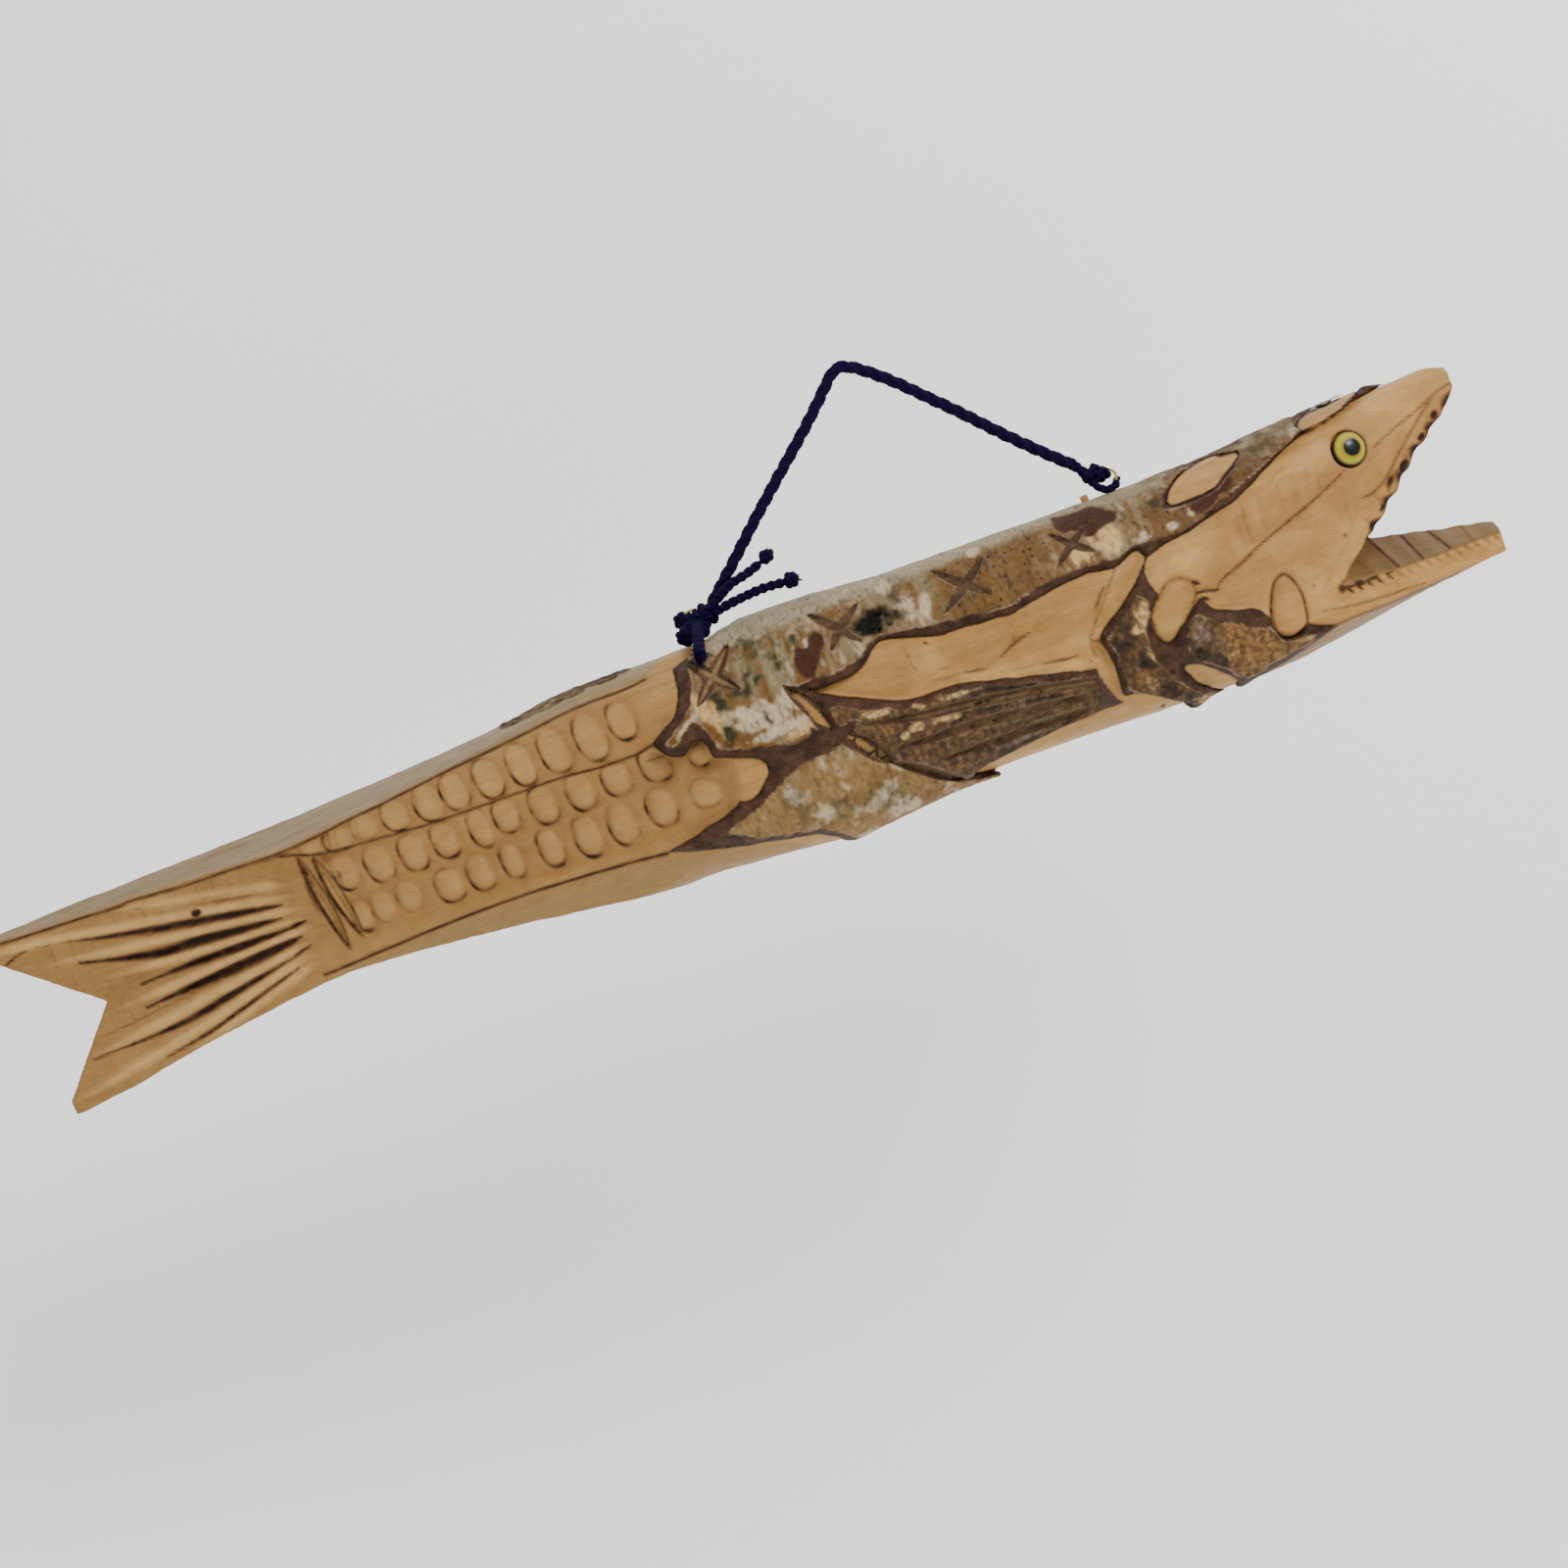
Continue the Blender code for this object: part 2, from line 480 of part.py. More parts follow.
rear_path = ring_path("cut_rear_path", REAR_RING)
front_path = ring_path("cut_front_path", FRONT_RING)
lump("rear_knot", [((-38.2, 0, 47.2), (5.6, 5.0, 4.4), 12), ((-33.6, 0, 49.2), (4.8, 3.8, 3.6), -44), ((-42.0, 0, 47.6), (2.9, 3.6, 2.9), 0)], rear_path)
lump("front_hitch", [((115.9, 0, 47.4), (3.9, 3.9, 3.9), 0), ((119.3, 0, 46.4), (3.6, 3.6, 2.2), 18)], front_path)
tube("tail_upper", smooth_route([(-27.4, -4.8, 53.2), (-21, -6.6, 56.6), (-14, -7.0, 58.2), (-8.4, -7.0, 60.0)], 5.0), CORD_R, MAT["cord"])
tube("tail_lower", smooth_route([(-27.4, -3.4, 49.4), (-20, -3.2, 50.4), (-11, -3.0, 50.9), (-3.0, -3.0, 50.4)], 5.0), CORD_R, MAT["cord"])
lump("stopper_upper", [((-5.2, -7.0, 61.6), (2.9, 2.4, 2.4), -30)], ())
lump("stopper_lower", [((0.3, -3.0, 50.3), (2.8, 2.7, 2.9), 0)], ())
tube("knot_tuft", smooth_route([(-38.2, -7.6, 47.0), (-38.4, -13, 45.3), (-38.6, -19.5, 42.4), (-39, -25.4, 38.4)], 4.0), 1.7, MAT["cord"])
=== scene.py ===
"""Looks of the hanging carved log fish: carved birch with its bark, glass eyes, brass screw
eyes and a twisted cord sling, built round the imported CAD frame.

The fish is worked out in its own level frame in millimetres (x to the nose, z to the back,
y < 0 the side shown), then put at its hanging tilt. Surface features are drawn on a side
map whose coordinates are the side view from the standard camera, so both flanks carry the
same carving.
"""
import math

import bpy
import numpy as np
from mathutils import Matrix, Vector

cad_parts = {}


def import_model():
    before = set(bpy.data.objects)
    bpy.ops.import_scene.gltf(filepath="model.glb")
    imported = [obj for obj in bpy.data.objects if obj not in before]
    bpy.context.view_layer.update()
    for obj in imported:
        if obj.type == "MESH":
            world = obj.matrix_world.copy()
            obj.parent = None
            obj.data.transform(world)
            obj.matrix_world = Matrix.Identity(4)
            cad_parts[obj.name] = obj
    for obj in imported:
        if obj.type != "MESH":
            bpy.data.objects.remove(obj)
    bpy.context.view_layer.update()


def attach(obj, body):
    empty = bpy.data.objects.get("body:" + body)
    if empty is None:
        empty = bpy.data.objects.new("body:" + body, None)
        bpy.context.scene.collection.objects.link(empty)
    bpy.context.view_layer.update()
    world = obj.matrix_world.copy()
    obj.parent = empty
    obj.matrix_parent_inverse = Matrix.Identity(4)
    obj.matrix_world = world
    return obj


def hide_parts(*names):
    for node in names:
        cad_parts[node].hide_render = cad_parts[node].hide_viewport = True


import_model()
RNG = np.random.default_rng(7)

TILT = math.radians(20.5)
CT, ST = math.cos(TILT), math.sin(TILT)
DROP = 123.0
CAM_AT = (-0.02011, -0.68027, -0.04408)


def world(p):
    """Fish frame in mm to the row frame in m."""
    p = np.asarray(p, float)
    x, y, z = p[..., 0], p[..., 1], p[..., 2]
    return np.stack([x * CT - z * ST, y, x * ST + z * CT - DROP], -1) * 0.001


def fish(p):
    """Row frame in m to the fish frame in mm."""
    p = np.asarray(p, float) * 1000.0
    x, y, z = p[..., 0], p[..., 1], p[..., 2] + DROP
    return np.stack([x * CT + z * ST, y, -x * ST + z * CT], -1)


CAM_F = fish(CAM_AT)

# ---------------------------------------------------------------- camera, light, backdrop
scene = bpy.context.scene
cam = bpy.data.objects.new("camera", bpy.data.cameras.new("camera"))
scene.collection.objects.link(cam)
cam.location = CAM_AT
cam.rotation_euler = (math.radians(81.0), 0.0, 0.0)
cam.data.lens = 42.4
cam.data.sensor_width = 36.0
cam.data.clip_start, cam.data.clip_end = 0.01, 20.0
scene.camera = cam


def srgb(r, g, b):
    return tuple(((c / 255 + 0.055) / 1.055) ** 2.4 if c > 10 else c / 255 / 12.92 for c in (r, g, b))


def area(name, at, look, size, power, colour=(1, 1, 1), size_y=None):
    data = bpy.data.lights.new(name, "AREA")
    data.energy, data.color, data.size = power, colour, size
    if size_y:
        data.shape, data.size_y = "RECTANGLE", size_y
    o = bpy.data.objects.new(name, data)
    scene.collection.objects.link(o)
    o.location = at
    o.rotation_euler = (Vector(look) - Vector(at)).to_track_quat("-Z", "Y").to_euler()
    return o


area("key", (0.62, -1.05, 1.10), (0.0, 0.0, -0.12), 0.62, 25.0, (1.0, 0.985, 0.955))
area("fill_left", (-1.5, -0.9, 0.25), (0.0, 0.0, -0.15), 1.2, 2.6, (0.97, 0.985, 1.0))
area("wall_wash", (0.5, -1.1, 1.6), (0.35, 0.25, 0.25), 1.0, 9.0, (1.0, 0.995, 0.985))
w = bpy.data.worlds.new("studio")
scene.world = w
w.use_nodes = True
w.node_tree.nodes["Background"].inputs["Color"].default_value = (0.93, 0.95, 1.0, 1.0)
w.node_tree.nodes["Background"].inputs["Strength"].default_value = 0.56


def backdrop():
    """A pale wall that runs into a pale floor with a wide curve."""
    rows = []
    for k in range(9):
        a = math.pi / 2 * k / 8
        rows.append((0.26 - 0.22 + 0.22 * math.sin(a), -0.60 + 0.22 - 0.22 * math.cos(a)))
    rows = [(-4.0, -0.60)] + rows + [(0.26, 3.0)]
    verts, faces = [], []
    for y, z in rows:
        verts += [(-4.0, y, z), (4.0, y, z)]
    for i in range(len(rows) - 1):
        faces.append((2 * i, 2 * i + 1, 2 * i + 3, 2 * i + 2))
    me = bpy.data.meshes.new("backdrop")
    me.from_pydata(verts, [], faces)
    me.shade_smooth()
    o = bpy.data.objects.new("backdrop", me)
    scene.collection.objects.link(o)
    m = bpy.data.materials.new("backdrop")
    m.use_nodes = True
    b = m.node_tree.nodes["Principled BSDF"]
    b.inputs["Base Color"].default_value = (0.89, 0.895, 0.885, 1)
    b.inputs["Roughness"].default_value = 0.95
    b.inputs["Emission Color"].default_value = (1.0, 1.0, 0.985, 1)
    b.inputs["Emission Strength"].default_value = 0.27
    b.inputs["Specular IOR Level"].default_value = 0.1
    # seen from behind it is clear, so that the object can be looked at from every side
    back, clear, both = (m.node_tree.nodes.new("ShaderNode" + k) for k in ("NewGeometry", "BsdfTransparent", "MixShader"))
    link = m.node_tree.links.new
    link(back.outputs["Backfacing"], both.inputs[0])
    link(b.outputs[0], both.inputs[1])
    link(clear.outputs[0], both.inputs[2])
    link(both.outputs[0], m.node_tree.nodes["Material Output"].inputs["Surface"])
    me.materials.append(m)


backdrop()


# ---------------------------------------------------------------- node material helpers
class Nodes:
    def __init__(self, name):
        self.mat = bpy.data.materials.new(name)
        self.mat.use_nodes = True
        self.t = self.mat.node_tree
        self.bsdf = self.t.nodes["Principled BSDF"]

    def add(self, kind, **values):
        n = self.t.nodes.new(kind)
        for k, v in values.items():
            if hasattr(n, k):
                setattr(n, k, v)
            else:
                n.inputs[k.replace("_", " ")].default_value = v
        return n

    def link(self, a, b):
        self.t.links.new(a, b)

    def attr(self, name):
        return self.add("ShaderNodeAttribute", attribute_name=name)

    def scaled(self, vector, s):
        n = self.add("ShaderNodeMapping")
        n.inputs["Scale"].default_value = s
        self.link(vector, n.inputs["Vector"])
        return n.outputs["Vector"]

    def noise(self, vector, scale, detail=3.0, rough=0.55, s=(1, 1, 1)):
        n = self.add("ShaderNodeTexNoise")
        n.inputs["Scale"].default_value = scale
        n.inputs["Detail"].default_value = detail
        n.inputs["Roughness"].default_value = rough
        self.link(self.scaled(vector, s), n.inputs["Vector"])
        return n.outputs["Fac"]

    def voronoi(self, vector, scale, s=(1, 1, 1), feature="F1"):
        n = self.add("ShaderNodeTexVoronoi")
        n.feature = feature
        n.inputs["Scale"].default_value = scale
        self.link(self.scaled(vector, s), n.inputs["Vector"])
        return n.outputs["Distance"]

    def ramp(self, fac, stops):
        n = self.add("ShaderNodeValToRGB")
        e = n.color_ramp.elements
        while len(e) < len(stops):
            e.new(0.5)
        for el, (p, c) in zip(e, stops):
            el.position = p
            el.color = (c, c, c, 1) if isinstance(c, (int, float)) else (*c, 1)
        self.link(fac, n.inputs["Fac"])
        return n.outputs["Color"]

    def math(self, op, a, b=None, clamp=False):
        n = self.add("ShaderNodeMath")
        n.operation = op
        n.use_clamp = clamp
        for i, v in enumerate((a, b)):
            if v is None:
                continue
            if isinstance(v, (int, float)):
                n.inputs[i].default_value = v
            else:
                self.link(v, n.inputs[i])
        return n.outputs[0]

    def mix(self, fac, a, b, mode="MIX"):
        n = self.add("ShaderNodeMix")
        n.data_type = "RGBA"
        n.blend_type = mode
        for socket, v in ((n.inputs[0], fac), (n.inputs[6], a), (n.inputs[7], b)):
            if isinstance(v, (int, float)):
                socket.default_value = v
            elif isinstance(v, tuple):
                socket.default_value = (*v, 1)
            else:
                self.link(v, socket)
        return n.outputs[2]

    def split(self, colour):
        n = self.add("ShaderNodeSeparateColor")
        self.link(colour, n.inputs[0])
        return n.outputs

    def bump(self, height, strength, distance, normal=None):
        n = self.add("ShaderNodeBump")
        n.inputs["Strength"].default_value = strength
        n.inputs["Distance"].default_value = distance
        self.link(height, n.inputs["Height"])
        if normal is not None:
            self.link(normal, n.inputs["Normal"])
        return n.outputs["Normal"]


# ---------------------------------------------------------------- smooth random fields
TABLES = {}


def noise3(p, scale, seed=0):
    """Smooth noise in -1..1 at points p, with a feature size in mm, or one per axis."""
    if seed not in TABLES:
        TABLES[seed] = (np.random.default_rng(100 + seed).random((64, 64, 64)) * 2 - 1).astype(np.float32)
    table = TABLES[seed]
    q = np.asarray(p, np.float32) / np.asarray(scale, np.float32) + 1000.37
    i = np.floor(q).astype(np.int64)
    f = (q - i).astype(np.float32)
    f = f * f * (3 - 2 * f)
    a, b = i & 63, (i + 1) & 63
    x0, x1, y0, y1, z0, z1 = a[:, 0], b[:, 0], a[:, 1], b[:, 1], a[:, 2], b[:, 2]
    fx, fy, fz = f[:, 0], f[:, 1], f[:, 2]
    c00 = table[x0, y0, z0] * (1 - fx) + table[x1, y0, z0] * fx
    c10 = table[x0, y1, z0] * (1 - fx) + table[x1, y1, z0] * fx
    c01 = table[x0, y0, z1] * (1 - fx) + table[x1, y0, z1] * fx
    c11 = table[x0, y1, z1] * (1 - fx) + table[x1, y1, z1] * fx
    return (c00 * (1 - fy) + c10 * fy) * (1 - fz) + (c01 * (1 - fy) + c11 * fy) * fz


def fbm(p, scale, octaves=3, seed=0):
    out, amp, s = 0.0, 1.0, np.asarray(scale, float)
    total = 0.0
    for o in range(octaves):
        out = out + amp * noise3(p, s, seed + o)
        total += amp
        amp *= 0.55
        s = s * 0.5
    return out / total


def step(a, b, v):
    t = np.clip((v - a) / (b - a), 0, 1)
    return t * t * (3 - 2 * t)


# ---------------------------------------------------------------- the carved log's tables
LOG_R = [(-345, 46), (-60, 44.6), (-16, 46.6), (4, 45.0), (30, 42.6), (75, 42.2), (125, 42.6), (150, 43), (190, 43.5), (235, 45), (256, 45.5)]
LOG_ZC = [(-345, -2), (-60, -0.9), (-16, -2.9), (4, -1.9), (30, -2), (75, -2.4), (125, -3.5), (150, -3.3), (190, -1.2), (256, 0)]
HALF_WIDTH = [(-345, 8), (-323, 9.5), (-290, 13.5), (-260, 18.5), (-230, 24.5), (-205, 29.5), (-195, 31), (-100, 31.5), (-60, 32.5), (-48, 36),
              (-30, 50), (104, 50), (118, 39.5), (130, 37.5), (150, 34), (165, 31.5), (180, 28.5), (198, 24.5), (215, 19.5), (230, 13.5), (243, 9), (256, 6)]
RIDGE = [(-345, 29.2), (-326, 30.1), (-294, 31.2), (-266, 31.7), (-216, 32.4), (-158, 34.8), (-126, 36.9), (-95, 40.6), (-63, 43.7), (-30, 60), (215, 60), (226, 46), (236, 43.2), (241, 41.1), (249, 38.4), (256, 36)]
TOP_EDGE = [(-345, 28), (-323, 27.7), (-310, 26.8), (-288, 26.2), (-258, 25.9), (-206, 24.8), (-150, 29.6), (-120, 32.5), (-90, 35.7), (-60, 37.5), (-30, 60), (215, 60), (226, 45), (236, 42.6), (241, 40.6), (249, 38), (256, 35.6)]
BOTTOM = [(-345, -48), (-323.4, -44.3), (-293.6, -39.9), (-266, -34.5), (-233, -29.4), (-209, -26), (-200, -25.5), (-178, -27), (-153, -29.8), (-127, -33.5), (-102, -37.2), (-77, -41.5), (-52, -45.6), (-30, -50), (-12, -60), (256, -60)]
SIDE_BOTTOM = [(-345, -48), (-209, -26), (-200, -22.8), (-175, -21.4), (-150, -20.6), (-130, -20.6), (-100, -22.1), (-75, -24.5), (-50, -31), (-30, -37), (-12, -60), (256, -60)]
KEEL = [(-345, -60), (124, -60), (142, -47), (167, -43), (186, -39.8), (217, -35.1), (247, -31.5), (256, -30.5)]
JAW_EDGE = [(-345, -60), (124, -60), (142, -37), (160, -33), (175, -31), (200, -30.4), (256, -30.2)]
LEAN = [(-345, 500), (140, 500), (158, 80), (172, 39), (256, 38)]
FORK = [(-293.6, -6.5), (-326.6, 18.9), (-334, 24.5), (-334, 70), (-350, 70), (-350, -70), (-323.4, -70), (-323.4, -38.1)]
BARK = 3.0


def at(table, x):
    return np.interp(x, [p[0] for p in table], [p[1] for p in table])


def side_view(p):
    """Where a point shows in the side map: both flanks project from the standard camera on to the plane y = -32."""
    y = -np.abs(p[..., 1])
    t = (-32.0 - CAM_F[1]) / (y - CAM_F[1])
    return CAM_F[0] + (p[..., 0] - CAM_F[0]) * t, CAM_F[2] + (p[..., 2] - CAM_F[2]) * t


# ---------------------------------------------------------------- the side map
MX0, MX1, MZ0, MZ1, MS = -346.0, 262.0, -66.0, 68.0, 0.3
MNX, MNZ = int((MX1 - MX0) / MS) + 1, int((MZ1 - MZ0) / MS) + 1
GX = (MX0 + MS * np.arange(MNX, dtype=np.float32))[:, None]
GZ = (MZ0 + MS * np.arange(MNZ, dtype=np.float32))[None, :]


def look_up(field, xs, zs):
    u = np.clip((xs - MX0) / MS, 0, MNX - 1.001).astype(np.float32)
    v = np.clip((zs - MZ0) / MS, 0, MNZ - 1.001).astype(np.float32)
    i, j = u.astype(np.int32), v.astype(np.int32)
    a, b = u - i, v - j
    if field.ndim == 3:
        a, b = a[..., None], b[..., None]
    return (field[i, j] * (1 - a) + field[i + 1, j] * a) * (1 - b) + (field[i, j + 1] * (1 - a) + field[i + 1, j + 1] * a) * b


def window(points, margin):
    p = np.asarray(points, float)
    lo, hi = p.min(0) - margin, p.max(0) + margin
    i0, i1 = max(0, int((lo[0] - MX0) / MS)), min(MNX, int((hi[0] - MX0) / MS) + 2)
    j0, j1 = max(0, int((lo[1] - MZ0) / MS)), min(MNZ, int((hi[1] - MZ0) / MS) + 2)
    return slice(i0, max(i1, i0)), slice(j0, max(j1, j0))


def soften(points, closed=True, n=4, keep=40.0):
    """A smooth line through the points, with corners sharper than 180 - keep degrees left sharp."""
    p = [np.array(q, float) for q in points]
    m = len(p)
    out = []
    for i in range(m if closed else m - 1):
        a, b = p[i], p[(i + 1) % m]
        z = p[i - 1] if (closed or i > 0) else a
        c = p[(i + 2) % m] if (closed or i + 2 < m) else b

        def turn(u, v, t):
            d1, d2 = v - u, t - v
            return math.degrees(abs(math.atan2(d1[0] * d2[1] - d1[1] * d2[0], float(d1 @ d2)))) if (d1 @ d1) and (d2 @ d2) else 0.0

        ta = (b - z) / 2 if turn(z, a, b) < keep + 20 else b - a
        tb = (c - a) / 2 if turn(a, b, c) < keep + 20 else b - a
        span = np.hypot(*(b - a))
        for t_, lim in ((ta, span), (tb, span)):
            ln = np.hypot(*t_)
            if ln > lim * 1.2:
                t_ *= lim * 1.2 / ln
        for k in range(n):
            t = k / n
            h00, h10 = 2 * t**3 - 3 * t**2 + 1, t**3 - 2 * t**2 + t
            h01, h11 = -2 * t**3 + 3 * t**2, t**3 - t**2
            out.append(h00 * a + h10 * ta + h01 * b + h11 * tb)
    if not closed:
        out.append(p[-1])
    return out


def signed(points, margin=12.0, smooth=True):
    """Signed distance to a closed outline on the side map, negative inside."""
    p = np.array(soften(points) if smooth else points, float)
    field = np.full((MNX, MNZ), margin, np.float32)
    inside = np.zeros((MNX, MNZ), bool)
    for a, b in zip(p, np.roll(p, -1, 0)):
        sl = window([a, b], margin)
        gx, gz = GX[sl[0]], GZ[:, sl[1]]
        d = b - a
        l2 = float(d @ d)
        if l2 > 0 and gx.size and gz.size:
            t = np.clip(((gx - a[0]) * d[0] + (gz - a[1]) * d[1]) / l2, 0, 1)
            dist = np.hypot(gx - a[0] - t * d[0], gz - a[1] - t * d[1])
            np.minimum(field[sl], dist, out=field[sl])
        if a[1] != b[1]:
            z0, z1 = min(a[1], b[1]), max(a[1], b[1])
            j = np.nonzero((GZ[0] >= z0) & (GZ[0] < z1))[0]
            if len(j):
                xs = a[0] + (GZ[0, j] - a[1]) / (b[1] - a[1]) * (b[0] - a[0])
                inside[:, j] ^= GX < xs[None, :]
    return np.where(inside, -field, field)


def near_line(points, margin, smooth=True):
    """For the map near a line: the window, the distance to it, how far along it (0..1), and which side."""
    p = np.array(soften(points, closed=False) if smooth and len(points) > 2 else points, float)
    sl = window(p, margin)
    gx, gz = GX[sl[0]], GZ[:, sl[1]]
    best = np.full((gx.shape[0], gz.shape[1]), 1e3, np.float32)
    along = np.zeros_like(best)
    hand = np.zeros_like(best)
    run, total = 0.0, float(np.hypot(*np.diff(p, axis=0).T).sum())
    for a, b in zip(p[:-1], p[1:]):
        d = b - a
        ln = float(np.hypot(*d))
        if ln == 0:
            continue
        t = np.clip(((gx - a[0]) * d[0] + (gz - a[1]) * d[1]) / ln**2, 0, 1)
        dist = np.hypot(gx - a[0] - t * d[0], gz - a[1] - t * d[1])
        new = dist < best
        best = np.where(new, dist, best)
        along = np.where(new, (run + t * ln) / total, along)
        hand = np.where(new, np.sign((gz - a[1]) * d[0] - (gx - a[0]) * d[1]), hand)
        run += ln
    return sl, best, along, hand


def blank(v=0.0):
    return np.full((MNX, MNZ), v, np.float32)


WOOD_H = blank()      # height of carving on bare wood, mm
SCORCH_AND_SHADE = blank()        # dark lines: scorched wood, and painted shade along panel edges and on the shaded side of each scale
LIGHT = blank()       # fresher, paler wood, and painted highlights on the crests of the tail rays and on the scale domes
BARK_CUT = blank()    # depth cut into the bark, mm
PEEL = blank()        # red-brown inner bark laid bare
BLACK = blank()       # black knots
PALE = blank()        # white papery patches
CREAM = blank()       # peeled cream patches
MOSS = blank()        # green-black lichen
DOTS = blank()        # ochre bark with black dots
ROUGH = blank()       # knotty dark bark of the gill and fin panels


def lens(s, k=0.7):
    return np.maximum(np.sin(np.pi * np.clip(s, 0, 1)), 0) ** k


def cut(points, width, depth, scorch_and_shade=0.0, into=None, profile=lens, scorch_and_shade_width=None, light=0.0):
    """A knife or gouge cut along a line: V-shaped, widest in the middle."""
    into = WOOD_H if into is None else into
    sl, d, s, _ = near_line(points, width + 2)
    half = np.maximum(width / 2 * profile(s), 0.05)
    v = np.clip(1 - d / half, 0, 1)
    if into is BARK_CUT:
        into[sl] = np.maximum(into[sl], depth * np.minimum(1.0, v * 1.15))
    else:
        into[sl] = np.minimum(into[sl], -depth * v * np.minimum(1, half * 1.2))
    # dark line along the cut: scorch, and painted shade where the line runs along a panel edge
    if scorch_and_shade:
        bw = (scorch_and_shade_width or width) / 2
        SCORCH_AND_SHADE[sl] = np.maximum(SCORCH_AND_SHADE[sl], scorch_and_shade * np.exp(-((d / (bw * np.clip(profile(s), 0.15, 1) + 0.12)) ** 2)) * (profile(s) > 0.02))
    if light:
        LIGHT[sl] = np.maximum(LIGHT[sl], light * v)


def ridge(points, width, height, light=0.5, profile=lens):
    sl, d, s, _ = near_line(points, width + 2)
    half = np.maximum(width / 2 * profile(s), 0.05)
    v = np.clip(1 - (d / half), 0, 1)
    WOOD_H[sl] = np.maximum(WOOD_H[sl], height * v * profile(s))
    # the crest is painted lighter: a painted highlight
    LIGHT[sl] = np.maximum(LIGHT[sl], light * np.clip(1.3 - d / half, 0, 1) * profile(s))


def blotch(field, centre, size, amount=1.0, turn=0.0, soft=0.35, ragged=0.25, seed=3):
    """A soft-edged irregular spot."""
    x, z = centre
    sl = window([(x - size[0] * 1.6, z - size[1] * 1.6), (x + size[0] * 1.6, z + size[1] * 1.6)], 1)
    gx, gz = GX[sl[0]] - x, GZ[:, sl[1]] - z
    c, s = math.cos(math.radians(turn)), math.sin(math.radians(turn))
    u, v = (gx * c + gz * s) / size[0], (-gx * s + gz * c) / size[1]
    r = np.hypot(u, v)
    pts = np.stack([np.broadcast_to(GX[sl[0]], r.shape), np.broadcast_to(GZ[:, sl[1]], r.shape), np.zeros(r.shape)], -1).reshape(-1, 3)
    r = r + ragged * (noise3(pts, 2.6, seed) + 0.6 * noise3(pts, 1.2, seed + 1)).reshape(r.shape)
    field[sl] = np.maximum(field[sl], amount * np.clip((1 - r) / soft, 0, 1))


# ---- windows of bare wood, and the skin of bark that is left, as outlines of the side map
W_TAIL = [(-380, 90), (-14, 90), (-19, 46), (-30, 43), (-42, 39.3), (-46, 38), (-49.7, 36.8), (-50, 33), (-51, 28), (-53, 24), (-56, 20), (-60, 18), (-66.5, 14.2),
          (-64, 10.5), (-62, 8.2), (-60, 7), (-57, 6.4), (-55, 7.6), (-53, 9.5), (-50, 9.6), (-48, 7), (-47, 2.2), (-43, 0.6), (-38, -1.5), (-34, -3), (-31.3, -5), (-30.8, -7.5), (-31.3, -10),
          (-33, -12), (-36, -14.8), (-39, -16.3), (-42, -16.2), (-44, -15.5), (-46, -17), (-52, -19), (-58, -20), (-64, -21.6), (-75, -24.0), (-65, -27), (-58, -29), (-50, -31), (-40, -33),
          (-30, -34.8), (-24, -36), (-19, -38), (-15.5, -40.2), (-14.5, -42), (-15.3, -44.2), (-18, -50), (-22, -90), (-380, -90)]
W_SHOULDER = [(-9, 14.2), (-5.5, 12.8), (-2, 12.0), (5, 12.2), (10, 13), (14, 14.5), (17, 16.8), (19.5, 19), (22, 20.3), (25, 20.3), (28, 19.5), (33, 18), (38, 16.2), (43, 15.2),
              (50, 14.8), (58, 14.2), (65, 13.7), (68, 13.2), (72, 13.9), (80, 15.4), (87, 16.6), (93, 17), (99, 17.2), (104, 16.5), (108, 16), (112, 17.3), (115, 18.7), (117.3, 19.4),
              (117.7, 17.5), (118.4, 15.3), (115, 11.5), (110, 6.5), (105, 2.3), (100, -1), (96, -4), (94.8, -6.2), (95.5, -10), (96.2, -16), (96.3, -22), (96, -26.5), (97.5, -28.5), (96, -29.6),
              (94.6, -28.8), (93, -26), (91.3, -21), (90.2, -15), (85, -14.5), (80, -12.6), (70, -10), (60, -7.5), (50, -4.9), (45, -3.7), (40, -2.9), (30, -2.8), (25, -2.2), (20, -0.8),
              (15, 1.3), (10, 3.7), (5, 6.2), (0, 8.8), (-5, 11.6)]
W_SLIVER = [(37, -35.2), (42, -34.2), (50, -33), (60, -32), (70, -31), (80, -30.3), (90, -30), (95, -29.8), (97.5, -28), (100, -28.2), (104, -30), (108, -32.5), (112, -35.2), (116, -37.6),
            (119, -39.2), (110, -38.8), (100, -38.2), (80, -38), (60, -37.6), (50, -37.2), (42, -36.4)]
W_HEAD = [(119.3, 15.0), (123, 16.5), (128, 17.8), (135, 18.5), (141, 20.3), (148, 21.7), (153, 22.8), (160, 26), (165, 28.6), (170, 31), (175, 33.8), (181, 36), (187, 37.8),
          (193, 38.6), (200, 40.2), (207, 41.8), (215, 43), (222, 44.3), (225.5, 45), (227, 60), (300, 60), (300, -90), (138, -90), (138, -41), (139, -39.2), (142, -38), (150, -36.6), (160, -34.6),
          (167, -32.6), (174, -30.4), (168, -28.2), (164.6, -26.6), (161.5, -28.3), (158.5, -28.8), (155.5, -27.9), (153.6, -25), (153, -22), (153.2, -20), (152, -18), (150.5, -15.6), (148, -14), (144, -13),
          (139, -11.5), (135, -9.5), (133.5, -7), (131.6, -4.9), (129, -6.5), (126, -9.5), (122, -12.5), (119, -15), (116.5, -15.3), (114.4, -13), (113.3, -9), (113.7, -5), (114.8, -3.2), (116.5, -1), (119.5, 1.6),
          (118.3, 4), (117.2, 6.5), (116.7, 9.5), (117.5, 12.2)]
W_O3 = [(120, -25), (122, -25.5), (126, -27.5), (130, -31), (133.5, -34), (135.4, -36.6), (134, -38), (131, -38), (127, -36.3), (123, -33), (120.8, -29), (119.6, -26.6)]
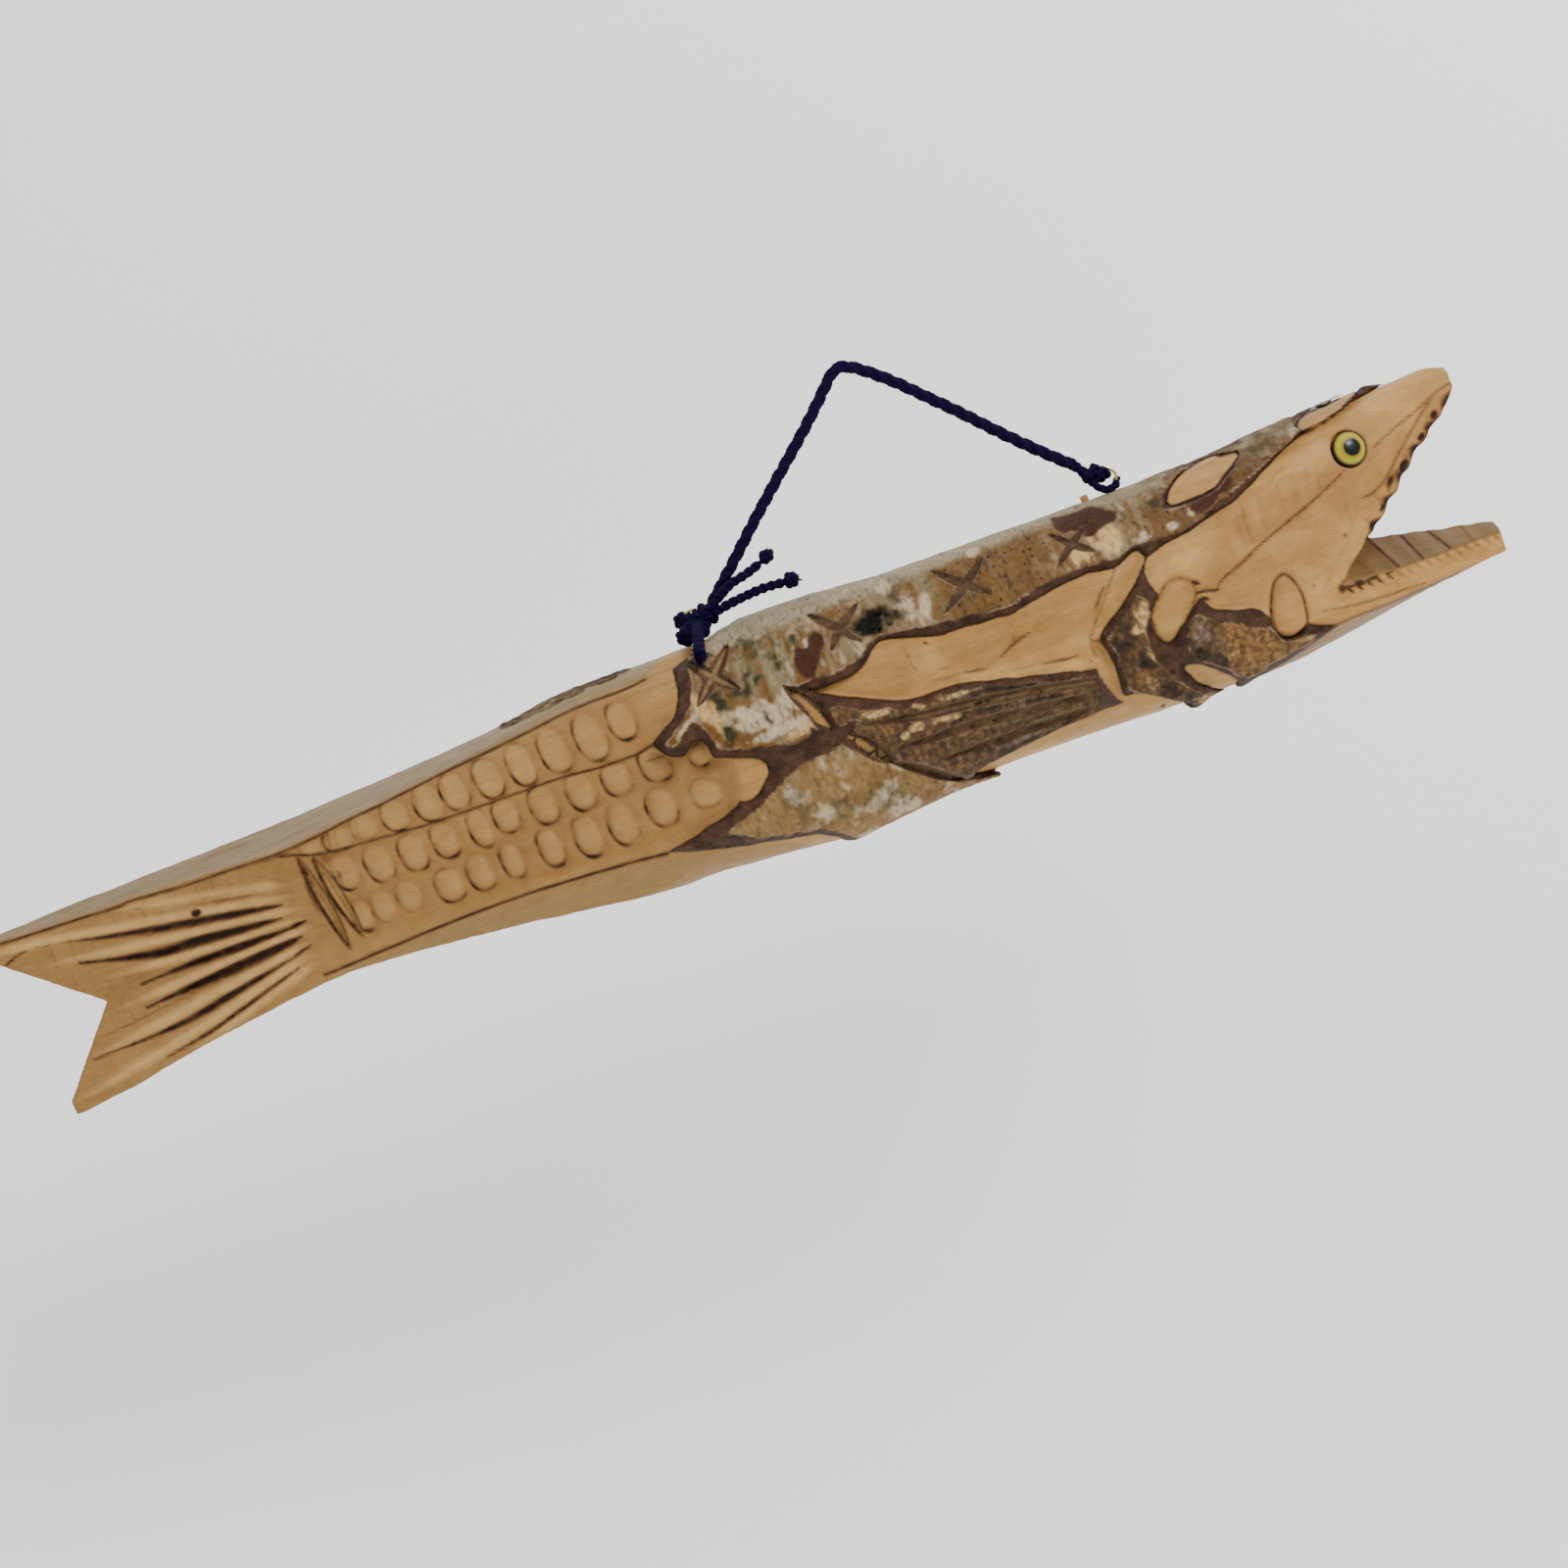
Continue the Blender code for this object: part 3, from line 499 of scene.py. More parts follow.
W_O4 = [(132.2, 31), (134, 34), (137, 36.6), (140, 38.3), (144, 39.2), (148, 40), (151, 40.2), (155, 39.2), (159, 38.8), (160, 37.6), (156.5, 35), (153, 33), (150, 30.7), (146, 29.9), (143, 29.6), (138, 29.5), (134, 29.4)]
W_O5 = [(182.3, 39), (184, 41.2), (187, 42.4), (190, 42.4), (196, 43), (203, 44.6), (204.5, 43.6), (200, 41.3), (195, 39.7), (190, 38.6), (186, 38.3), (183.5, 38.2)]
W_L1 = [(-11.8, 11.5), (-10.3, 10.5), (-8, 6.5), (-6, 2.5), (-4.8, -1.2), (-6.2, -0.9), (-8.5, 1), (-10, 5), (-11, 9)]
W_L2 = [(0.3, -7.2), (3, -9), (5.5, -11.5), (6.2, -14), (4.5, -13.2), (2.5, -11), (0.5, -8.5)]

S_BACK = [(-12, 90), (-14, 48), (-24, 45.3), (-34, 42.2), (-42, 40.2), (-44, 36), (-44.3, 31), (-46.2, 26), (-48.5, 21.5), (-52, 18.6), (-57, 15.4), (-61.3, 12.6), (-58.3, 11.4), (-55, 13.6), (-52, 16.3), (-50, 17.6),
          (-48, 16), (-46, 13.2), (-45.2, 9), (-45, 5), (-40, 3.4), (-33, 1), (-25, -1), (-20, -2), (-16, -2.8), (-12.5, -1), (-11.2, 0.9), (-9.6, -0.8), (-11, 6.5), (-13.3, 12), (-15.3, 17.6),
          (-10, 16.3), (-5, 16.6), (0, 16), (5, 16.3), (10, 16.8), (15, 18.6), (18.5, 21.5), (22, 22.6), (26, 22.6), (30, 21.6), (35, 20.9), (40, 20.3), (45, 19.8), (50, 19), (55, 18.3), (60, 17.7),
          (65, 16.9), (70, 16.9), (75, 18), (80, 19.2), (90, 20.1), (100, 20), (105, 20), (107.5, 19.1), (111, 19.6), (115.3, 20.9), (120, 20.4), (125, 20.7), (130, 20.1), (135, 20.5), (140, 21.8), (145, 23.5),
          (150, 25.5), (157, 28), (165, 31), (172, 34), (180, 37), (182.2, 38.4), (181, 40), (183, 42.4), (187, 43.8), (190, 43.6), (196, 44.1), (201, 44.9), (206, 46), (212, 46.6), (220, 46.6), (223, 47.4), (224, 90)]
S_O4 = [(129, 29), (130, 33), (133, 36.0), (136.5, 37.6), (140, 39.2), (148, 40.7), (155, 40.3), (160.6, 39.4), (161.5, 38), (158.5, 34.6), (154, 31), (149.5, 28.6), (143, 27.8), (135, 27.6)]
S_BELLY = [(-52, -25), (-44.5, -22.5), (-39, -21.3), (-35, -19.5), (-30, -16.6), (-25, -14), (-20, -12.1), (-15, -11.1), (-10, -10.8), (-8.5, -11.8), (-7, -10), (-2.5, -9.1), (-1.3, -11.5), (2, -15), (6, -18.5), (11, -21.6),
           (14, -25), (18, -28.2), (22, -31.5), (27, -34.5), (31, -36.4), (36, -37.8), (45, -39.3), (60, -40.2), (80, -40.6), (100, -40.9), (118, -41.5), (128, -43), (133, -90), (-9, -90), (-9, -48), (-9.6, -45.8),
           (-9, -43.8), (-11, -41), (-15, -38), (-20, -35.2), (-35, -32), (-45, -29)]
S_FIN = [(-2.2, 4), (0, 3.8), (3, 2.3), (6, 0.4), (8, -0.8), (12, -2), (17, -3), (20, -4.5), (23, -5.5), (26, -4.6), (29, -6.2), (33, -5.5), (40, -5.8), (47, -6.6), (50, -7.2), (55, -9), (62, -10.9), (70, -13.1),
         (80, -16), (87, -17.6), (88, -20), (86.5, -24), (85, -27), (83, -30), (80, -30.8), (70, -31.8), (60, -32.8), (50, -33.6), (42, -34.4), (36, -35.3), (33, -35.5), (31, -33), (28, -30.5), (25, -28), (21, -25),
         (16, -22.5), (12, -21), (10, -17), (9, -13), (7.5, -9.5), (4.5, -7.5), (3.4, -6.2), (6, -4), (7.5, -2.9), (4, -2), (0, -2.3), (-1.6, -1)]
S_GILL_REAR = [(97.6, -7.6), (100, -5.5), (104, -2), (108, 0.3), (112, 3.8), (114.2, 1), (114, -2), (112.8, -5.4), (110.6, -8.5), (109.8, -14), (109.8, -16), (111.4, -21), (112.8, -24), (115, -29), (118, -33.4), (122, -36.6),
               (127, -38.9), (130, -41), (130, -46), (121, -43), (117, -39.6), (113, -36.6), (108, -32.9), (104, -30), (99.8, -27), (99.3, -20), (98.6, -13)]
S_GILL_FRONT = [(124, -19), (124.6, -15), (126.4, -12), (128.5, -10.4), (131, -11.4), (136, -15.2), (141, -17.2), (145, -20.2), (148, -22), (152, -24.2), (154, -28.2), (157, -30.6), (162, -30.4), (166, -30.9), (163, -32.6), (157, -33.8),
                (150, -35), (140, -36.8), (137.4, -35.4), (135, -33), (132, -30.2), (129, -28), (125.4, -25), (123.8, -22)]

D_TAIL, D_SHOULDER, D_SLIVER, D_HEAD = (signed(o) for o in (W_TAIL, W_SHOULDER, W_SLIVER, W_HEAD))
D_OVALS = [signed(o) for o in (W_O3, W_O4, W_O5, W_L1, W_L2)]
WOODS = np.minimum.reduce([D_TAIL, D_SHOULDER, D_SLIVER, D_HEAD, *D_OVALS])
HIGH_OVALS = np.minimum(D_OVALS[1], D_OVALS[2])
D_SKINS = {
    "bark_back": np.maximum(signed(S_BACK, 22), -signed(S_O4, 22)),
    "bark_belly": signed(S_BELLY, 22),
    "bark_fin": signed(S_FIN, 22),
    "bark_gill_rear": signed(S_GILL_REAR, 22),
    "bark_gill_front": signed(S_GILL_FRONT, 22),
}
SKINS = np.minimum.reduce(list(D_SKINS.values()))
LABELS = list(D_SKINS)
LABEL = np.argmin(np.stack([D_SKINS[k] for k in LABELS]), 0)

# ---- the scales: thumbnail gouges that leave a low rounded oval; the outline is darker on the tail side and underneath, which is painted shade
SCALES = [(-198, -188, 20, 25), (-189, -178, 17.5, 26), (-178, -168, 18, 27.5), (-166, -156, 17, 28.5), (-153.5, -143, 16, 29.5), (-143, -133, 16.5, 30), (-130, -120, 16, 31), (-117, -107.5, 16, 32), (-104.5, -94, 16, 33),
          (-91, -80, 15.5, 33.2), (-78, -68.3, 19, 33.2),
          (-190, -180.7, 3, 17), (-178, -168, 1.5, 16), (-165, -155.2, 1, 15), (-152.5, -143, 1.5, 15), (-138.3, -130, 0.5, 15), (-128.6, -119.5, 2.4, 14.7), (-115, -105.2, 0.5, 14.6), (-101, -91, 0.5, 14.6), (-87.5, -77.2, 1, 13.8),
          (-73, -61.5, 1, 14.5), (-55.5, -47, 1, 9.6),
          (-189, -182, -13, -1), (-182, -173, -12.5, -0.4), (-172, -163, -12, -0.4), (-157.5, -147, -14, -1.3), (-145, -135.5, -14, -0.3), (-131.8, -124, -14, -0.4), (-117.5, -109, -14.8, -0.4), (-104.2, -94.3, -16.2, -0.8),
          (-91.2, -81, -16.6, -1), (-76.2, -65.6, -15, -0.6), (-60, -49, -14, -3)]
FAINT = {(-172, -12), (-178, 18), (-60, -14), (-198, 20), (-182, -12.5)}
for k, (x0, x1, z0, z1) in enumerate(SCALES):
    faint = (x0, z0) in FAINT
    cx, cz, hx, hz = (x0 + x1) / 2, (z0 + z1) / 2, (x1 - x0) / 2, (z1 - z0) / 2
    sl = window([(x0, z0), (x1, z1)], 4)
    gx, gz = GX[sl[0]] - cx, GZ[:, sl[1]] - cz
    slant = 0.07 * gz
    u, v = (gx + slant) / hx, gz / hz
    r = (np.abs(u) ** 2.35 + np.abs(v) ** 2.35) ** (1 / 2.35)
    scale_mm = min(hx, hz)
    edge = (r - 1) * scale_mm
    ang = np.arctan2(gz, gx)
    # the outline is cut deeper and painted darker on the tail side and underneath; the darkening is painted shade, a
    # shadow crescent
    left = 0.5 - 0.5 * np.cos(ang - 0.25)
    side = 0.3 + 0.7 * left
    low = 0.4 * np.clip(-np.sin(ang), 0, 1)
    strength = np.clip(side + low, 0, 1.1) * (0.55 if faint else 1.0)
    dome = np.clip(1 - r**2.4, 0, 1) * 1.75 * (0.6 if faint else 1)
    trench = np.where(edge > 0, np.exp(-((edge / 1.15) ** 2)), np.exp(-((edge / 0.55) ** 2))) * strength
    WOOD_H[sl] += np.where(r < 1.0, dome, 0) - 0.95 * trench
    rag = 0.75 + 0.5 * np.sin(ang * 2.0 + k * 1.7) * 0.5 + 0.25 * np.sin(ang * 5.0 + k)
    SCORCH_AND_SHADE[sl] = np.maximum(SCORCH_AND_SHADE[sl], 0.80 * strength * rag * np.where(edge > 0, np.exp(-((edge / 0.7) ** 2)), np.exp(-((edge / 0.5) ** 2))))
    SCORCH_AND_SHADE[sl] = np.maximum(SCORCH_AND_SHADE[sl], 0.24 * strength * np.exp(-((np.maximum(edge, 0) / 2.6) ** 2)) * (edge > 0))
    # painted highlight over the top of each dome
    LIGHT[sl] = np.maximum(LIGHT[sl], 0.35 * np.clip(1 - r**4, 0, 1))
# ground between the scale rows, a little lower and browner
ground = signed([(-188, 18), (-150, 15), (-66, 14), (-62, 8), (-62, -14), (-90, -19), (-188, -15)], 6, smooth=False)
WOOD_H -= 0.25 * step(2, -2, ground)
SCORCH_AND_SHADE = np.maximum(SCORCH_AND_SHADE, 0.15 * step(2, -3, ground))

even = lambda s: np.clip(np.minimum(s, 1 - s) * 14, 0, 1)
flat = lambda s: np.ones_like(s)
# lateral line and the edges of the flank; the dark lines along the flank's edges are partly scorch and partly painted
# shade
cut([(-205, 23.2), (-199, 21.6), (-195, 20), (-188, 18.5), (-170, 17), (-150, 15.5), (-138, 15.2), (-120, 15), (-100, 14.6), (-85, 13.1), (-72, 13), (-66.5, 14.2)], 1.5, 0.9, 0.9, profile=flat, scorch_and_shade_width=1.0)
for line, b in (([(-345, 31), (-320, 29.7), (-312, 29), (-300, 28.3), (-280, 27.5), (-267, 26.6), (-262, 27.2), (-253, 26.4), (-240, 25.4), (-225, 25), (-210, 24.4), (-205, 24.4), (-195, 25), (-185, 26), (-175, 27.3), (-165, 28),
                  (-150, 29.7), (-135, 31.3), (-120, 32.5), (-105, 34), (-90, 35.7), (-80, 36.1), (-70, 36), (-60, 36.8)], 0.85),
                ([(-207, -22.5), (-200, -22.3), (-175, -21.1), (-150, -20.3), (-130, -20.3), (-115, -21), (-100, -21.9), (-88, -22.8), (-75, -24.1)], 1.0)):
    cut(line, 1.3, 0.6, b, profile=flat, scorch_and_shade_width=1.15)
cut([(-60, 36.8), (-55, 37), (-50, 37.2)], 1.0, 0.3, 0.3, profile=flat)
for x in (-184.5, -176, -166.5, -156.5, -152.5, -142, -131):
    cut([(x + 1.5, at(TOP_EDGE, x) - 1.5), (x, 22), (x + 0.6, 18)], 0.9, 0.3, 0.35)

# ---- tail: knife-cut rays spreading from the root, with scorched valleys between them
RAYS = [([(-206, 13), (-225, 16.8), (-245, 20.8), (-262, 24.6), (-272, 26)], 4.0, 1.0),
        ([(-203, 8), (-225, 11.8), (-245, 15.5), (-262, 18.4), (-275, 20.4), (-300, 24.6), (-318, 26.6), (-340, 29.5)], 3.6, 1.1),
        ([(-203, 3), (-225, 5.7), (-240, 7.8), (-270, 11.6), (-293, 15), (-305, 16)], 3.6, 1.3),
        ([(-203, -1), (-225, 0.2), (-250, 1.6), (-268, 3), (-284, 4.4)], 3.4, 1.3),
        ([(-202, -4), (-225, -5), (-250, -6.4), (-270, -7.6), (-284, -8)], 3.4, 1.3),
        ([(-205, -9.2), (-225, -12.2), (-245, -14.7), (-265, -17.8), (-285, -20.4), (-301, -21.2)], 4.2, 1.3),
        ([(-205, -12.3), (-225, -17.3), (-245, -22.4), (-265, -26.6), (-285, -30.2), (-306, -33.8), (-316, -35.5)], 4.4, 1.3),
        ([(-207, -17), (-225, -21.6), (-240, -26), (-252, -28.9), (-262, -31)], 3.4, 1.0)]
# the ray crests carry a painted highlight
for pts, wd, ht in RAYS:
    ridge(pts, wd * 1.12, ht * 1.55, 0.85, lambda s: np.clip(s * 9, 0, 1) * np.clip((1 - s) * 3.5, 0, 1) ** 0.7)
VALLEYS = [([(-212, 13.3), (-222, 15.6), (-232, 17.4), (-242, 19.4), (-252, 21.6), (-263, 24.2)], 2.2, 1.6, 0.9),
           ([(-211, 6.6), (-225, 9), (-237, 11.2), (-249, 13), (-262, 15.4), (-275, 18.1), (-290, 21.6), (-303, 23.6)], 2.6, 1.7, 0.95),
           ([(-213, 2.2), (-222, 3.4), (-234, 4.6), (-246, 5.2), (-258, 5.6), (-272, 8.4), (-290, 13)], 4.2, 2.4, 1.0),
           ([(-205, -1.6), (-220, -1.8), (-236, -2.0), (-250, -2.0), (-262, -2.2), (-272, -2.6)], 3.6, 2.4, 1.0),
           ([(-209, -6.4), (-222, -7.4), (-236, -8.4), (-250, -9.6), (-262, -10.4), (-274, -11.4)], 4.0, 2.4, 1.0),
           ([(-207, -10.5), (-222, -13.6), (-236, -16.4), (-250, -19.1), (-262, -21), (-280, -21.9), (-300, -22.4)], 2.2, 1.7, 1.0),
           ([(-214, -16.6), (-226, -20), (-240, -23.9), (-250, -26.8), (-262, -29), (-274, -31)], 2.3, 1.6, 0.95)]
for pts, wd, dp, b in VALLEYS:
    cut(pts, wd, dp, b, profile=lambda s: np.clip(s * 5, 0, 1) ** 0.8 * np.clip((1 - s) * 1.55, 0, 1) ** 1.1, scorch_and_shade_width=wd * 1.9)
for pts, b in (([(-293, -15.8), (-278, -14.6), (-262, -12.8), (-245, -10.9)], 0.55), ([(-308, -34), (-285, -29), (-262, -24.2), (-248, -21.8)], 0.6), ([(-303, -16), (-285, -20)], 0.2),
               ([(-303, 23.7), (-309, 22.6), (-315, 20.4)], 1.0), ([(-215, 9.8), (-232, 12.6), (-248, 14.6)], 0.35), ([(-262, 13.3), (-252, 12.6), (-243, 13.2)], 0.6), ([(-270, 19.6), (-262, 17), (-250, 15.2)], 0.35),
               ([(-236, 32), (-222, 32), (-212, 32.4)], 0.2), ([(-246, 29), (-230, 29)], 0.2), ([(-206, 13.5), (-214, 15), (-224, 18), (-236, 21)], 0.25), ([(-205, -12), (-214, -14.4), (-226, -18.6)], 0.3)):
    cut(pts, 1.1, 0.5, b, scorch_and_shade_width=0.9)
for x in range(-304, -248, 6):
    cut([(x, 12), (x - 0.8, 2), (x, -13)], 0.9, 0.22, 0.30)
for x in (-296, -288, -281, -276, -270, -264, -259, -253, -248, -243, -238, -232, -226):
    cut([(x, 24.5), (x - 0.5, 13)], 0.8, 0.15, 0.34)
for x in (-278, -273, -268, -262, -256, -250, -244, -238):
    cut([(x, -9), (x - 0.5, -19)], 0.8, 0.15, 0.36)
for x in (-258, -250, -243, -236, -229, -222, -215):
    cut([(x, 7), (x - 0.3, -10)], 0.9, 0.15, 0.42)
blotch(SCORCH_AND_SHADE, (-235, 3.8), (24, 3.2), 0.85, -4, 0.8)
blotch(SCORCH_AND_SHADE, (-238, -2.1), (26, 2.8), 0.85, 0, 0.8)
blotch(SCORCH_AND_SHADE, (-237, -8.4), (25, 2.8), 0.85, 5, 0.8)
blotch(SCORCH_AND_SHADE, (-234, -15), (26, 3.0), 0.45, 11, 0.9)
blotch(SCORCH_AND_SHADE, (-232, 10), (24, 3.0), 0.45, -8, 0.9)
blotch(SCORCH_AND_SHADE, (-246, 1), (52, 22), 0.20, 0, 0.9)
# the crests of the rays stay clear of the dark marks, so that their painted highlight shows
SCORCH_AND_SHADE = np.where((GX < -200) & (GX + 0 * GZ < -200), SCORCH_AND_SHADE * (1 - 0.92 * np.clip(LIGHT * 1.3, 0, 1) ** 1.8), SCORCH_AND_SHADE)
blotch(SCORCH_AND_SHADE, (-241.5, 14.8), (2.3, 1.7), 0.95, 0, 0.3, 0.1)
cut([(-243.2, 14.8), (-241.5, 16.0), (-239.9, 14.8), (-241.5, 13.6), (-243.2, 14.8)], 0.8, 0.8, 0.9, profile=flat)
# the two deep root gouges
for x, wd in ((-197.3, 4.6), (-191.6, 5.2)):
    pts = [(x - 2.4, 21.8), (x - 1.2, 12), (x + 0.2, 2), (x + 1.6, -8), (x + 2.8, -17.5)] if x < -195 else [(x - 3, 20), (x - 1.4, 11), (x, 2), (x + 1.8, -7), (x + 3.2, -15)]
    sl, d, s, hand = near_line(pts, 7)
    half = np.maximum(wd / 2 * lens(s, 0.8), 0.05)
    v = np.clip(1 - d / half, 0, 1)
    WOOD_H[sl] = np.where(v > 0, np.minimum(WOOD_H[sl], -2.6 * v), WOOD_H[sl])
    off = d * hand
    SCORCH_AND_SHADE[sl] = np.where(v > 0, 0.12, SCORCH_AND_SHADE[sl])
    LIGHT[sl] = np.where(v > 0.1, np.maximum(LIGHT[sl], 0.3), LIGHT[sl])
    dark = np.exp(-(((off + half * 0.72) / 0.95) ** 2)) * lens(s, 0.3)
    SCORCH_AND_SHADE[sl] = np.maximum(SCORCH_AND_SHADE[sl], np.clip(dark * 1.1, 0, 1))
    SCORCH_AND_SHADE[sl] = np.maximum(SCORCH_AND_SHADE[sl], 0.75 * np.exp(-(((off - half) / 0.65) ** 2)) * lens(s, 0.3))
blotch(SCORCH_AND_SHADE, (-199.5, 8), (2.4, 12), 0.75, 0, 0.7)
blotch(SCORCH_AND_SHADE, (-190, 17), (5, 3), 0.55, -20, 0.8)
blotch(SCORCH_AND_SHADE, (-207, 23.6), (9, 1.0), 0.6, -3, 0.7)
blotch(SCORCH_AND_SHADE, (-188, 10), (2.2, 8), 0.5, 0, 0.8)
cut([(-188.4, 22), (-186, 25), (-187.6, 18)], 1.2, 0.4, 0.5)

# ---- shoulder panel: lens facet at its right end, cracks and stains
cut([(91.4, -11), (91.6, -5), (95, 0), (99, 4.8), (103, 9.8), (107.4, 15.4)], 1.0, 0.5, 0.6, profile=flat, scorch_and_shade_width=0.7)
cut([(96, 3.6), (98.5, 7), (101, 10), (102.8, 11.2)], 1.3, 0.6, 0.85, scorch_and_shade_width=1.0)
cut([(92, -5.6), (94.6, -6.2), (97, -6)], 1.0, 0.4, 0.6, profile=flat)
cut([(94.3, -8), (94.8, -16), (95.3, -24)], 0.9, 0.3, 0.18)
cut([(59.6, 0.2), (63, 2), (67, 3.6), (72.6, 5.2)], 1.3, 0.3, 0.75, scorch_and_shade_width=1.3)
cut([(72, 5.2), (80, 7.3), (90, 9.6)], 1.0, 0.1, 0.25)
cut([(46, -0.2), (50, -1.0), (54, -1.6)], 0.9, 0.3, 0.75, scorch_and_shade_width=0.9)
cut([(34, 0.8), (46, -0.2)], 0.7, 0.1, 0.4)
cut([(72, -6.6), (79, -8), (87, -8.9)], 0.9, 0.3, 0.8, scorch_and_shade_width=0.9)
cut([(58, -4.6), (66, -6), (73, -6.8)], 0.9, 0.2, 0.4)
cut([(38, 3.6), (45, 4.1)], 0.8, 0.1, 0.45)
cut([(29.2, 18), (29.4, 11), (31, 6)], 0.9, 0.15, 0.4)
cut([(30, 11), (38, 10.2), (50, 10)], 0.7, 0.1, 0.2)
for x, z, l, b in ((66.5, 4.8, 6.5, 0.45), (67.4, 9.6, 2.4, 0.4), (72.5, 12, 2.4, 0.3), (76, 7, 3.0, 0.25), (61.5, 3.5, 3, 0.2), (87.5, 6, 6, 0.2)):
    blotch(SCORCH_AND_SHADE, (x, z), (1.3, l / 2), b, -18, 0.9, 0.3)
blotch(SCORCH_AND_SHADE, (56, -0.4), (7, 1.2), 0.25, 20, 0.9)
blotch(SCORCH_AND_SHADE, (37, 14.4), (1.2, 0.45), 0.85, -20, 0.5)
blotch(SCORCH_AND_SHADE, (30, 12.2), (0.8, 0.5), 0.6, 0, 0.5)
blotch(SCORCH_AND_SHADE, (108, -35.8), (1.2, 0.8), 0.9, 40, 0.5)
blotch(SCORCH_AND_SHADE, (89.2, -12.1), (0.9, 0.5), 0.8, 20, 0.5)
blotch(SCORCH_AND_SHADE, (62.5, 8.6), (0.8, 0.4), 0.6, 0, 0.5)
blotch(LIGHT, (36, 7), (10, 9), 0.55, 0, 0.9)
blotch(LIGHT, (60, -5.2), (22, 2.4), 0.75, -14, 0.9)
blotch(LIGHT, (82, -11), (10, 2.6), 0.75, -12, 0.9)
WOOD_H -= 1.3 * np.exp(-(((GZ - 5 + 0.10 * (GX - 50)) / 9) ** 2)) * np.clip(step(-6, 30, GX) * step(112, 84, GX), 0, 1) * (D_SHOULDER < 1)
WOOD_H -= 0.7 * step(0, -3, signed([(91.4, -12), (91.6, -5), (95, 0), (99, 4.8), (103, 9.8), (107.4, 15.4), (117, 19), (118, 15), (104, 1), (95, -6.4), (96.4, -28), (94, -28)], 4, smooth=False)) * (D_SHOULDER < 1)

# ---- head: face lines, soft knife ripples, lips and jaw
cut([(138.4, -4.3), (140.4, -1.8), (145, 0.3), (150, 2.1), (156, 5), (160, 6.6), (165, 8.4), (170, 10.2), (175, 11.9), (180, 13.9), (185, 16), (190, 18.3), (194.4, 20.6)], 1.3, 0.6, 0.72, profile=even, scorch_and_shade_width=1.1)
cut([(203.6, 23), (208, 25.2), (215, 28), (222, 30.4), (228, 33), (232, 34.4), (237.4, 35.6)], 1.2, 0.5, 0.6, profile=even, scorch_and_shade_width=1.0)
cut([(194.6, 8.4), (200.4, 9.2), (206, 12.6), (211, 17.4), (217, 23), (224, 29.2), (229.6, 33.4)], 1.2, 0.55, 0.62, profile=even, scorch_and_shade_width=1.0)
cut([(206, 12), (208.4, 16), (214, 20.4), (220, 25.6)], 0.9, 0.3, 0.3)
cut([(170, -23.6), (175, -24.6), (180, -25.4), (186, -26.1), (193, -26.6), (200, -26.8), (208, -27)], 1.1, 0.45, 0.6, scorch_and_shade_width=0.9)
cut([(173, -17), (180, -10), (184, -6.4), (188, -3), (191, 2), (194, 8)], 1.0, 0.25, 0.25)
cut([(170, -12.4), (176, -10.8), (181, -9.6)], 0.9, 0.2, 0.28)
cut([(175, -16), (181, -11), (187, -3), (189.5, 2)], 0.8, 0.2, 0.22)
for x, z0, z1, b in ((152.8, 7, 20, 0.3), (155.4, 6, 22, 0.42), (161.6, 9, 22, 0.25), (163.8, 10, 17, 0.2), (169, 12, 24, 0.2), (174.5, 13, 25, 0.2), (180, 16, 26, 0.28), (183.4, 15, 21, 0.4), (147.6, 4, 12, 0.2), (190, 2, 16, 0.18)):
    cut([(x + 0.6, z1), (x - 0.2, (z0 + z1) / 2), (x + 0.2, z0)], 1.9, 0.4, b * 0.95, scorch_and_shade_width=2.1)
for (x, z), size, b, turn in (((186.4, -1.4), (1.8, 1.4), 0.75, 40), ((167.6, 24.6), (2.2, 0.8), 0.25, 30), ((213, 23.2), (0.6, 0.5), 0.6, 0), ((181.6, 16), (1.6, 2), 0.3, 0), ((171, -14.2), (0.7, 0.4), 0.7, 0), ((180.5, -8.5), (0.5, 0.4), 0.7, 0),
                              ((186, 20), (14, 5), 0.22, 10), ((175, 20), (10, 6), 0.16, 20), ((168.4, -12.4), (1.2, 0.4), 0.6, 10), ((170.6, -14), (0.9, 0.4), 0.6, 0), ((204.6, 40.2), (1.4, 0.4), 0.6, 0), ((202, 26), (2.2, 7), 0.2, 0)):
    blotch(SCORCH_AND_SHADE, (x, z), size, b, turn, 0.8, 0.3)
blotch(LIGHT, (132, 10), (16, 9), 0.6, 8, 0.9)
blotch(LIGHT, (160, -14), (26, 14), 0.35, 0, 0.9)
blotch(LIGHT, (215, 39), (18, 4), 0.35, 12, 0.9)
cut([(131.2, 2), (132.6, 0.9), (134, 0.2)], 1.6, 0.9, 0.9)
cut([(131.2, -2.6), (134, -2.6), (137, -3.4), (139.6, -4.2)], 1.6, 1.0, 0.95)
cut([(131.2, -4.8), (133, -5.2), (135.6, -6)], 1.8, 1.0, 0.95)
ridge([(132, -3.2), (135, -3.9), (138, -4.6)], 1.4, 0.5, 0.7)
UPPER_LIP = [(179, -19), (180.6, -17.4), (184, -13), (187.4, -10.2), (190.2, -8.0), (193.3, -5), (196, -3.5), (197.4, -1.6), (199.6, -0.5), (201.6, 0.9), (202.6, 2.4), (204, 4.8), (206, 5.8), (208, 6.6), (209.4, 8.8), (210.8, 11.2),
             (212.6, 12.2), (214.2, 12.8), (215.4, 14.4), (217.2, 17.2), (219, 18.6), (221.8, 19.6), (223.4, 21), (224.6, 23), (226.8, 24.4), (229.8, 25.9), (231, 27.6), (233, 29.4), (234.2, 30.8), (235.6, 32.6), (237.3, 35.2)]
D_MOUTH = signed([*UPPER_LIP, (262, 45), (262, -64), (181, -64)], 12, smooth=False)
